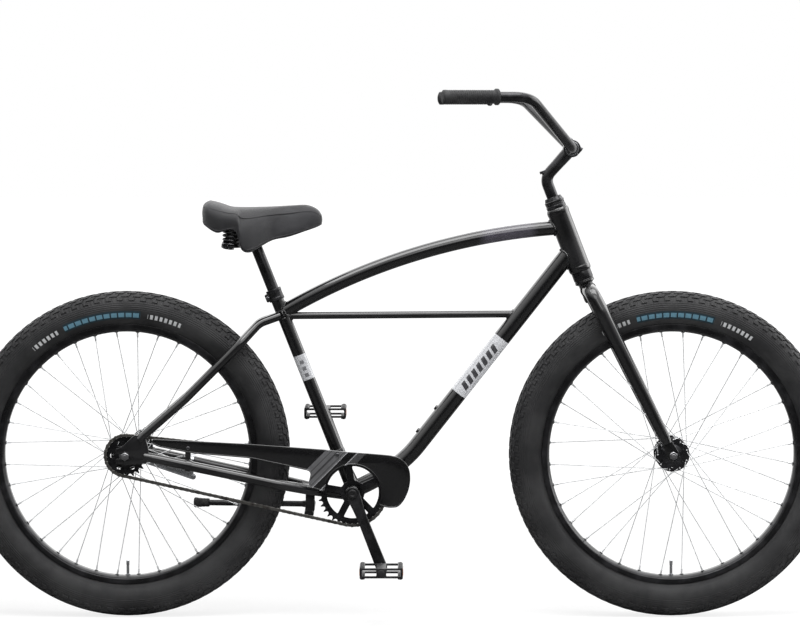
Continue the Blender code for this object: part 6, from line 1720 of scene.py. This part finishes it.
def make_kickstand():
    """Bracket bolted to the plate between the stays, pin, leg and rubber foot."""
    pivot = plane(STAND_X, BRACKET.z - 0.036, 0.046)
    folded = Vector((-0.996, 0.088, 0.004)).normalized()
    down = Vector((0.100, 0.500, -0.860)).normalized()
    axis = -folded.cross(down).normalized()
    under, over = STAND_PLATE_HEIGHT - 0.0028, STAND_PLATE_HEIGHT + 0.0028
    half, eye, end = 0.0070, 0.0105, 0.2553
    piece("stand_bracket_block", [
        block(plane(STAND_X, under - 0.003), (0.034, 0.038, 0.006), edge=0.0015),
        block(plane(STAND_X, under - 0.0245, 0.008), (0.020, 0.024, 0.045), edge=0.003),
        rod(pivot - axis * 0.038, pivot - axis * (half + 0.0003), eye, 0.001, 40),
    ], finish_of("stand alloy"), "frame", "kickstand_bracket")
    piece("stand_bracket_pin", [
        rod(pivot - axis * 0.020, pivot + axis * (half + 0.001), 0.0039, 0.0004, 24),
        turned([(0, 0), (0.0075, 0), (0.0075, 0.0020), (0.0052, 0.0035), (0, 0.0035)],
               0.0005, 2, pivot + axis * (half + 0.0004), axis, 32),
        hexagon(plane(STAND_X, over), plane(0, 1), 0.0130, 0.0055),
        rod(plane(STAND_X, under - 0.010), plane(STAND_X, over + 0.001), 0.0040, 0.0004, 20),
    ], finish_of("dark steel"), "frame")
    collar = turned([(0.0046, -half), (eye, -half), (eye, half), (0.0046, half)], 0.0012, 3,
                    pivot, axis, 48)
    leg = tube([pivot + folded * along for along in (0.0085, 0.014, 0.020, 0.030, 0.2548)],
               0.0065, 28, [1.25, 1.15, 1.0, 1.0, 1.0])
    bore = rod(pivot - axis * 0.02, pivot + axis * 0.02, 0.0046, 0, 24)
    piece("stand_leg_bar", [collar, cut(leg, bore)], finish_of("stand alloy"), "kickstand",
          "kickstand_leg")
    foot = softened([(radius, end + along) for radius, along in (
        (0.0067, -0.030), (0.0090, -0.030), (0.0096, -0.024), (0.0090, -0.023), (0.0098, -0.017),
        (0.0094, -0.016), (0.0104, -0.009), (0.0100, -0.008), (0.0115, 0.001), (0.0095, 0.004),
        (0, 0.004))], 0.0004, 2)
    piece("stand_foot_cap", lathe([(0, end), (0.0067, end), *foot], pivot, folded, 36),
          finish_of("foot rubber"), "kickstand", "kickstand_foot")


class BIKE_OT_drive(BikeOperator, bpy.types.Operator):
    """Chain, sprockets, cranks, pedals, chain guard, brake arm and kickstand"""
    bl_idname = "bike.drive"
    bl_label = "Drive"
    makers = (make_chain, make_sprockets, make_cranks, make_guard, make_brake_arm, make_kickstand)


# Fork, stem and handlebar

BLADE_UP, BLADE_FORE = towards(math.pi - BLADE_ANGLE), towards(QUARTER - BLADE_ANGLE)
CROWN = (STEER_FOOT, STEER_UP, 0.0158)
QUILL_LOW = STEERER_TOP - 0.085
CLAMP_HALF = 0.023      # half the width of the stem's clamp


def blade_path(side):
    return rounded([
        on_steerer(FORK_LENGTH - 0.0220) + plane(0.002, 0, side * 0.0163),
        on_steerer(FORK_LENGTH - 0.0250) + plane(0.004, 0, side * 0.0565),
        FRONT_HUB + BLADE_UP * (TYRE_RADIUS - 0.005) + plane(0, 0, side * 0.0625),
        FRONT_HUB + BLADE_UP * TYRE_RADIUS * 0.448 + plane(0, 0, side * 0.0605),
        FRONT_HUB + BLADE_UP * 0.030 + plane(0, 0, side * 0.0560),
    ], 0.060, 12)


def fork_dropout(side):
    """Plate with a slot that is open along the blade, in which the axle sits."""
    edges = [
        softened([tuple((FRONT_HUB + BLADE_UP * up + BLADE_FORE * fore).xz) for up, fore in part],
                 0.006, 4)
        for part in (((0.050, -0.008), (0.012, -0.013), (0, -0.014), (-0.012, -0.011)),
                     ((-0.012, 0.011), (0, 0.014), (0.012, 0.013), (0.050, 0.008)))]
    mouth = math.atan2(-BLADE_UP.z, -BLADE_UP.x)
    return plate([edges[0] + axle_slot(FRONT_HUB, mouth, 0.012) + edges[1]], side * 0.050,
                 side * 0.056, 0.0008)


def make_fork():
    base, top = FORK_LENGTH - 0.0480, STEERER_TOP - 0.0033
    steerer = turned([
        (0.0130, base), (0.0143, base), (0.0160, base + 0.006), (0.0160, FORK_LENGTH - 0.008),
        (0.0220, FORK_LENGTH - 0.004), (0.0220, FORK_LENGTH), (0.0143, FORK_LENGTH),
        (0.0143, top), (0.0130, top),
    ], 0.0006, 3, STEER_FOOT, STEER_UP, 64)
    piece("fork_steerer_tube", steerer, enamel(), "steering", "fork_steerer")
    knife = rod(on_steerer(base - 0.02), on_steerer(FORK_LENGTH + 0.01), STEERER_ROOM, 0, 40)
    welds = []
    for side in SIDES:
        path = fine_end(blade_path(side))
        along = runs(path)
        taper = [(1 - 0.21875 * max(0.0, run / along[-1] - 0.45) / 0.55)
                 * (0.80 + 0.20 * min(1.0, (path[-1] - point).length / 0.016))
                 for point, run in zip(path, along)]
        blade = cut(tube(path, BLADE_RADIUS, 40, taper), knife)
        welds += [weld(path[::-1], BLADE_RADIUS, CROWN), *tab_welds(path, 0.0085, 0.012)]
        piece(f"fork_blade_{side_name(side)}_tube", [blade, fork_dropout(side)], enamel(),
              "steering", f"fork_blade_{side_name(side)}")
    piece("fork_welds", welds, enamel(), "steering")


def make_locknut():
    low, bore = HEAD_HIGH + 0.0113, STEERER_ROOM
    shape = turned([
        (bore, low), (0.0220, low), (0.0220, low + 0.0012), (0.0210, low + 0.0016),
        (0.0210, low + 0.0022), (0.0220, low + 0.0026), (0.0220, low + 0.0060),
        (0.0206, low + 0.0068), (0.0180, STEERER_TOP), (0.0130, STEERER_TOP),
        (0.0130, STEERER_TOP - 0.003), (bore, STEERER_TOP - 0.003),
    ], 0.0004, 2, STEER_FOOT, STEER_UP, 72)
    nut = frame_at(on_steerer(low + 0.0105), STEER_UP)
    flats = together(*[
        block(None, (0.050, 0.008, 0.0062), edge=0,
              place=nut @ Matrix.Rotation(math.tau * i / 6, 4, "Z")
              @ Matrix.Translation((0, 0.0236, 0)))
        for i in range(6)])
    piece("headset_locknut_ring", cut(shape, flats), finish_of("headset alloy"), "steering",
          "headset_locknut")


def make_stem():
    """Quill stem: bent neck, split clamp with a four-bolt face plate, expander bolt."""
    out, up, half = STEM_OUT, towards(STEM_TILT + QUARTER), CLAMP_HALF
    bottom, elbow = on_steerer(QUILL_LOW), STEERER_TOP + STEM_RISE
    path = rounded([bottom, on_steerer(elbow), BAR_CLAMP], 0.030, 14)
    last = [path[-1].lerp(path[-2], share) for share in (0.75, 0.4, 0)]
    neck = tube([*path[:-1], *last], QUILL_RADIUS, 48, [1.0] * len(path) + [1.06, 1.10])
    seat = elbow + 0.0105
    bore = cross_rod(BAR_CLAMP, -half - 0.01, half + 0.01, BAR_RADIUS + 0.0002, 0, 64)
    hole = rod(bottom - STEER_UP * 0.01, on_steerer(elbow + 0.05), 0.0041, 0, 24)
    pocket = rod(on_steerer(seat - 0.0003), on_steerer(seat + 0.05), 0.0081, 0)
    barrel = cross_rod(BAR_CLAMP, -half, half, 0.0190, 0.0016, 64)
    ahead, behind = (block(BAR_CLAMP + out * shift, (0.076, 0.092, 0.076), STEM_TILT, 0)
                     for shift in (0.0375, -0.0375))
    finish = finish_of("stem alloy")
    piece("stem_neck", [cut(neck, bore, hole, pocket), cut(barrel.copy(), bore, ahead)], finish,
          "stem", "stem")
    corners = [BAR_CLAMP + up * across * 0.0150 + plane(0, 0, along * 0.0147)
               for along in SIDES for across in SIDES]
    lugs = [rod(at + out * 0.0006, at + out * 0.0125, 0.0042, 0.0008, 20) for at in corners]
    piece("stem_faceplate_cap", [cut(barrel, bore, behind), *lugs], finish, "stem",
          "stem_faceplate")
    bolts = [socket_head(at + out * 0.0122, out, 0.0036, 0.0040) for at in corners]
    piece("stem_faceplate_bolts", bolts, finish_of("dark steel"), "stem")
    inner = BAR_RADIUS + 0.0006
    shims = [turned([(inner, half - 0.004), (0.0158, half - 0.004), (0.0158, half + 0.0008),
                     (inner, half + 0.0008)], 0.0003, 2, BAR_CLAMP, (0, side, 0), 48)
             for side in SIDES]
    piece("stem_shim_rings", shims, finish_of("bright steel"), "stem")
    low = QUILL_LOW
    wedge = turned([
        (0, low - 0.024), (0.0117, low - 0.024), (0.0117, low - 0.006), (0.0058, low - 0.0003),
        (0.0038, low - 0.0003), (0.0038, seat), (0, seat),
    ], 0.0005, 2, STEER_FOOT, STEER_UP, 40)
    piece("expander_rod", [wedge, socket_head(on_steerer(seat), STEER_UP, 0.0075, 0.006)],
          finish_of("dark steel"), "stem", "expander_bolt")


GRIP_LENGTH = 0.125
GRIP_RIDGES = [         # (radius, distance from the grip's inner end)
    (radius, 0.0150 + 0.0046 * (i + share)) for i in range(21)
    for radius, share in ((0.0145, 0), (0.0145, 0.55), (0.0136, 0.66), (0.0136, 0.92))]


def make_handlebar():
    right, left = ([BAR_CLAMP + plane(x, z, side * y)
                    for x, z, y in ((0, 0, 0.045), (-0.100, 0.111, 0.275), (-0.2828, 0.111, 0.335))]
                   for side in SIDES)
    path = rounded([*right[::-1], *left], 0.075, 16)
    piece("handlebar_tube", tube(path, BAR_RADIUS, 36), finish_of("bar alloy"), "handlebar",
          "handlebar")
    bore, end = BAR_RADIUS + 0.0003, GRIP_LENGTH
    for side, corners in zip(SIDES, (right, left)):
        along = (corners[2] - corners[1]).normalized()
        grip = turned([
            (0, end - 0.0037), (bore, end - 0.0037), (bore, 0), (0.0166, 0), (0.0175, 0.0012),
            (0.0175, 0.0064), (0.0155, 0.0084), (0.0142, 0.0110), *GRIP_RIDGES, (0.0145, 0.1116),
            (0.0149, end - 0.006), (0.0145, end - 0.0025), (0.0100, end), (0, end),
        ], 0.0005, 2, corners[2] - along * 0.121, along, 48)
        piece(f"grip_{side_name(side)}_sleeve", grip, finish_of("grip rubber"), "handlebar",
              f"grip_{side_name(side)}")


class BIKE_OT_front(BikeOperator, bpy.types.Operator):
    """Fork, headset nut, quill stem, handlebar and grips"""
    bl_idname = "bike.front"
    bl_label = "Front"
    makers = (make_fork, make_locknut, make_stem, make_handlebar)


# Seat post and saddle

SPRING_AT = plane(POST_TOP.x - 0.0388, POST_TOP.z - 0.0295, 0.0680)
SPRING_WIRE = 0.0024
COVER_WALL = 0.0130
PAD_WALL = 0.0085          # the cover's thickness where it hangs as a skirt
SADDLE_STATIONS = (        # x, top, half width, skirt: x and heights from the post's top
    (-0.1043, 0.0570, 0.074, 0.0250), (-0.0938, 0.0675, 0.097, 0.0140),
    (-0.0688, 0.0630, 0.113, 0.0000), (-0.0438, 0.0545, 0.115, 0.0070),
    (-0.0268, 0.0530, 0.111, 0.0030), (-0.0168, 0.0530, 0.107, -0.0350),
    (0.0012, 0.0530, 0.098, -0.0430), (0.0212, 0.0535, 0.083, -0.0330),
    (0.0512, 0.0545, 0.06, -0.0170), (0.0862, 0.0565, 0.045, -0.0100),
    (0.1262, 0.0580, 0.037, 0.0030), (0.1482, 0.0500, 0.03, 0.0110),
    (0.1602, 0.0330, 0.018, 0.0180),
)
END_SHARES = (0, 0.3, 0.55, 0.78, 0.93)     # how the tail and the nose close, ring by ring


def saddle_stations(steps=5):
    """(x, top, half width, skirt) along the saddle, smoothly between its own stations."""
    known = [(POST_TOP.x + x, POST_TOP.z + top, half, POST_TOP.z + skirt)
             for x, top, half, skirt in SADDLE_STATIONS]
    smooth = []
    for rows in zip(known[:1] + known, known, known[1:], known[2:] + known[-1:]):
        for t in (k / steps for k in range(steps)):
            smooth.append(tuple(
                b + 0.5 * t * (c - a + t * (2 * a - 5 * b + 4 * c - d + t * (3 * (b - c) + d - a)))
                for a, b, c, d in zip(*rows)))
    return [*smooth, known[-1]]


def crown_point(station, angle, grow=0.0):
    """Point of the cover's section: 0 is the left hem, 90 degrees the crown."""
    x, top, half, skirt = station
    up, out = abs(math.sin(angle)) ** 0.55, abs(math.cos(angle)) ** 0.6
    if angle in (0, math.pi):
        up, out = 0, 1
    rise = top + grow - skirt
    return plane(x, skirt + rise * up, math.copysign((half + grow) * out * (0.93 + 0.07 * up),
                                                     math.cos(angle)))


def arch_angles(count):
    """Angles of the section's points, even along its squared-off outline."""
    rising = []
    for share in (2 * i / count for i in range(count // 2 + 1)):
        low, high = share ** 1.8, (1 - share) ** 1.67
        rising.append(QUARTER * low / (low + high))
    return [*rising, *[math.pi - angle for angle in reversed(rising[:-1])]]


def station_at(stations, x):
    for near, far in zip(stations, stations[1:]):
        if x <= far[0]:
            share = max(0.0, (x - near[0]) / (far[0] - near[0]))
            return tuple(a + (b - a) * share for a, b in zip(near, far))
    return stations[-1]


def cover_shell(shrink):
    """Open-bottomed shell of the padded cover, smaller by what the padding will add. Both
    of its skins run down the tail and the nose to the middle of the hem."""
    stations, angles = saddle_stations(), arch_angles(56)
    tail, nose = stations[0], stations[-1]
    places = [(tail, share, shrink) for share in END_SHARES]
    places += [(station, 1, max(0, shrink - min(station[0] - tail[0], nose[0] - station[0])))
               for station in stations]
    places += [(nose, share, shrink) for share in reversed(END_SHARES)]
    roof = BASE_HEIGHT + 0.0023
    rings = []
    for station, share, inward in places:
        shift = inward if station[0] < POST_TOP.x else -inward
        hem = station_at(stations, min(max(station[0], tail[0] + PAD_WALL), nose[0] - PAD_WALL))
        thin, low, lining = 1 - PAD_WALL / hem[2], station[3], hem[3]
        ring = []
        for point in (crown_point(station, angle, -shrink) for angle in angles):
            ring.append(plane(point.x + shift, low + (point.z - low) * share, point.y * share))
        for point in (crown_point(hem, angle, -shrink) for angle in reversed(angles)):
            inner = plane(point.x, min(point.z, roof), point.y * thin)
            ring.append(plane(inner.x, lining + (inner.z - lining) * share, inner.y * share))
        rings.append(ring)
    return skin(rings)


def swollen(mesh, pressure, cap):
    """The mesh after a cloth pressure run in which no point moves further than the cap."""
    obj = bpy.data.objects.new("padding", mesh)
    bpy.context.scene.collection.objects.link(obj)
    cloth = obj.modifiers.new("cloth", "CLOTH")
    cloth.settings.use_pressure = True
    cloth.settings.uniform_pressure_force = pressure
    cloth.settings.effector_weights.gravity = 0
    for frame_number in range(1, 21):
        bpy.context.scene.frame_set(frame_number)
    graph = bpy.context.evaluated_depsgraph_get()
    moves = [blown.co - vert.co
             for vert, blown in zip(mesh.vertices, obj.evaluated_get(graph).data.vertices)]
    bpy.context.scene.frame_set(1)
    obj.modifiers.remove(cloth)
    lined = [v.normal.z < -0.4 or v.normal.y * v.co.y < 0 for v in mesh.vertices]
    for vert, move, inside in zip(mesh.vertices, moves, lined):
        limit = cap * (0.2 if inside else 1.0)
        vert.co += move * min(1.0, limit / max(move.length, 1e-9))
    smooth = obj.modifiers.new("smooth", "SUBSURF")
    smooth.levels = smooth.render_levels = 1
    return evaluated(obj)


def seam(finder, stations, degrees, grow, radius):
    """Cord laid on the cover along its stations, at this angle of the section."""
    laid = []
    for station in stations:
        place, normal, _, _ = finder.find_nearest(crown_point(station, math.radians(degrees), grow))
        laid.append(place + normal * 0.0001)
    for _ in range(3):
        middle = [(a + b * 2 + c) / 4 for a, b, c in zip(laid, laid[1:], laid[2:])]
        laid = [laid[0], *middle, laid[-1]]
    return tube(laid, radius, 8)


def make_cover():
    looks = looks_of("saddle")
    colour = tuple(looks.cover_colour)
    vinyl = worn(Finish("saddle vinyl", "saddle_vinyl", colour, 0.50), colour, dimmed(colour, 1.7),
                 0.50, 0.16, 14.0)
    grain = vinyl.cells(650.0, "DISTANCE_TO_EDGE")
    vinyl.bump(grain.above(0.08, 0.16) * 0.7 + vinyl.noise(240.0, 3.0) * 0.5, 0.0005, 0.45)
    vinyl.set(**{"Sheen Weight": 0.15})
    pad = swollen(cover_shell(0.0030), 3.0 + 2.0 * looks.padding, 0.0042)
    finder = BVHTree.FromPolygons([v.co for v in pad.vertices], [p.vertices for p in pad.polygons])
    cover = piece("saddle_cover_pad", pad, vinyl, "saddle", "saddle_cover",
                  smooth=math.radians(70))
    stations = saddle_stations(4)
    seams = [seam(finder, stations[2:-1], degrees, 0.003, 0.0009) for degrees in (41, 139)]
    seams += [seam(finder, stations[1:-1], degrees, 0.0, 0.0013) for degrees in (0.4, 179.6)]
    # The cord is a real seam but a little darker than the cover: painted shade for the dark lines
    # along the crease and the hem.
    piping_shade_colour = dimmed(colour, 0.8)
    cord = worn(Finish("saddle piping", "saddle_vinyl", piping_shade_colour, 0.45), piping_shade_colour, colour, 0.45, 0.15,
                80.0)
    piece("saddle_piping", seams, cord, "saddle")


def make_base():
    """Base plate under the cover, with cross ribs and the springs' seats."""
    edge = [(x, half - 1.6 * COVER_WALL) for x, _, half, _ in saddle_stations(3)
            if POST_TOP.x - 0.0903 < x < POST_TOP.x + 0.1460]
    outline = [*edge, *[(x, -y) for x, y in reversed(edge)]]
    sheet = plate([outline], -BASE_HEIGHT - 0.0017, 0.0017 - BASE_HEIGHT, 0.0008)
    sheet.transform(Matrix.Rotation(-QUARTER, 4, "X"))      # from upright to level
    ribs = [block(plane(x, BASE_HEIGHT - 0.0030), (0.0025, 2 * (half - 0.030), 0.0040), edge=0.0006)
            for x, _, half, _ in saddle_stations(2)[5:-6:2]]
    seats = [turned([(0, 0), (0.0195, 0), (0.0195, 0.0022), (0.0135, 0.0022), (0.0120, 0.0060),
                     (0, 0.0060)], 0.0006, 2,
                    plane(SPRING_AT.x, BASE_HEIGHT - 0.0017, side * SPRING_AT.y), (0, 0, -1), 36)
             for side in SIDES]
    piece("saddle_base_plate", [sheet, *ribs, *seats], finish_of("base resin"), "saddle",
          "saddle_base")


def rail_path():
    """Centre line of the rails: one wire from spring to spring, round by the nose."""
    foot, nose = SPRING_AT.z - 0.0041, BASE_HEIGHT - 0.00555
    half = [
        plane(SPRING_AT.x, foot, SPRING_AT.y), plane(SPRING_AT.x - 0.022, foot + 0.002, 0.0510),
        plane(SADDLE_PIVOT.x - 0.0315, RAIL_HEIGHT, 0.0220),
        plane(SADDLE_PIVOT.x + 0.0504, RAIL_HEIGHT, 0.0220),
        plane(SADDLE_PIVOT.x + 0.1255, nose, 0.0125),
    ]
    other = [plane(p.x, p.z, -p.y) for p in reversed(half)]
    return rounded([*half, plane(SADDLE_PIVOT.x + 0.1425, nose), *other], 0.018, 8)


def make_saddle_metal():
    """Rails with the springs' lower cups and nuts, and the two coil springs."""
    wires = [tube(rail_path(), 0.0035, 20)]
    for side in SIDES:
        low = plane(SPRING_AT.x, SPRING_AT.z - 0.0030, side * SPRING_AT.y)
        wires += [turned([
            (0, 0), (0.0195, 0), (0.0213, 0.0008), (0.0213, 0.0044), (0.0199, 0.0044),
            (0.0199, 0.0026), (0.0085, 0.0026), (0.0080, 0.0060), (0, 0.0060),
        ], 0.0005, 2, low, (0, 0, 1), 40), hexagon(low, (0, 0, -1), 0.0110, 0.0042)]
    piece("saddle_rail_wire", wires, finish_of("rail enamel"), "saddle", "saddle_rails")
    foot = SPRING_AT.z + SPRING_WIRE + 0.0003
    height = BASE_HEIGHT - 0.00205 - SPRING_WIRE - foot
    # The springs take the darker steel, which is painted shade for the shadow under the saddle.
    dark = finish_of("spring steel")
    for side in SIDES:
        name = f"saddle_spring_{side_name(side)}"
        spring = coil(plane(SPRING_AT.x, foot, side * SPRING_AT.y), 0.0165, height,
                      looks_of("saddle").spring_turns, SPRING_WIRE, dark)
        piece(f"{name}_coil", spring, dark, "saddle", name)


def make_clamp_and_post():
    """Toothed clamp that grips the rails, on the post's lug, with its through bolt."""
    start, cheek = 0.0168, 0.0130
    reach = start + cheek + 0.006
    parts = [cross_rod(SADDLE_PIVOT, -reach, reach, 0.0040, 0.0006, 24)]
    teeth = [tuple((SADDLE_PIVOT + towards(math.tau * i / 72) * (0.0164, 0.0170)[i % 2]).xz)
             for i in range(72)]
    for side in SIDES:
        way = plane(0, 0, side)
        at = SADDLE_PIVOT + way * start
        parts += [
            plate([teeth], side * start, side * (start + 0.0030), 0.0003, 1),
            turned([(0, 0.0028), (0.0164, 0.0028), (0.0175, 0.0045), (0.0175, 0.0115),
                    (0.0140, cheek), (0, cheek)], 0.0010, 3, at, way, 56),
            hexagon(at + way * cheek, way, 0.0140, 0.0058),
        ]
    piece("saddle_clamp_cheeks", parts, finish_of("clamp alloy"), "saddle", "saddle_clamp")
    post = rod(POST_TOP - SEAT_UP * 0.300, POST_TOP, 0.0127, 0.0008, 48)
    sleeve = turned([(0, -0.036), (0.0150, -0.036), (0.0165, -0.0335), (0.0165, -0.001),
                     (0.0158, 0.001), (0, 0.001)], 0.0008, 3, POST_TOP, SEAT_UP, 48)
    lug = cross_rod(SADDLE_PIVOT, -0.016, 0.016, 0.0110, 0.0010, 40)
    bore = cross_rod(SADDLE_PIVOT, -0.03, 0.03, 0.0047, 0, 24)
    piece("seat_post_tube", [post, cut(sleeve, bore), cut(lug, bore)], finish_of("post alloy"),
          "seat_post", "seat_post")


class BIKE_OT_saddle(BikeOperator, bpy.types.Operator):
    """Padded saddle, base, rails, springs, clamp and seat post"""
    bl_idname = "bike.saddle"
    bl_label = "Saddle"
    makers = (make_cover, make_base, make_saddle_metal, make_clamp_and_post)


OPERATORS = (BIKE_OT_stage, BIKE_OT_wheels, BIKE_OT_frame, BIKE_OT_drive, BIKE_OT_front,
             BIKE_OT_saddle)


# The add-on's panel and its registration

class BIKE_PT_panel(bpy.types.Panel):
    """Lists the operators that dress the bike"""
    bl_label = "Fat tire bike"
    bl_space_type = "VIEW_3D"
    bl_region_type = "UI"
    bl_category = "Bike"

    def draw(self, context):
        for kind in LOOKS:
            looks = looks_of(kind)
            box = self.layout.box()
            for name in looks.bl_rna.properties.keys():
                if name not in ("rna_type", "name"):
                    box.prop(looks, name)
        for operator in OPERATORS:
            self.layout.operator(operator.bl_idname)


LOOKS = {"stage": StageLooks, "frame": FrameLooks, "wheels": WheelLooks, "saddle": SaddleLooks}


def register():
    for kind, group in LOOKS.items():
        bpy.utils.register_class(group)
        setattr(bpy.types.Scene, f"bike_{kind}", PointerProperty(type=group))
    for operator in OPERATORS:
        bpy.utils.register_class(operator)
    bpy.utils.register_class(BIKE_PT_panel)


def unregister():
    bpy.utils.unregister_class(BIKE_PT_panel)
    for operator in reversed(OPERATORS):
        bpy.utils.unregister_class(operator)
    for kind, group in LOOKS.items():
        delattr(bpy.types.Scene, f"bike_{kind}")
        bpy.utils.unregister_class(group)


def main():
    register()
    for operator in OPERATORS:
        getattr(bpy.ops.bike, operator.bl_idname.split(".")[1])()


if __name__ == "__main__":
    main()
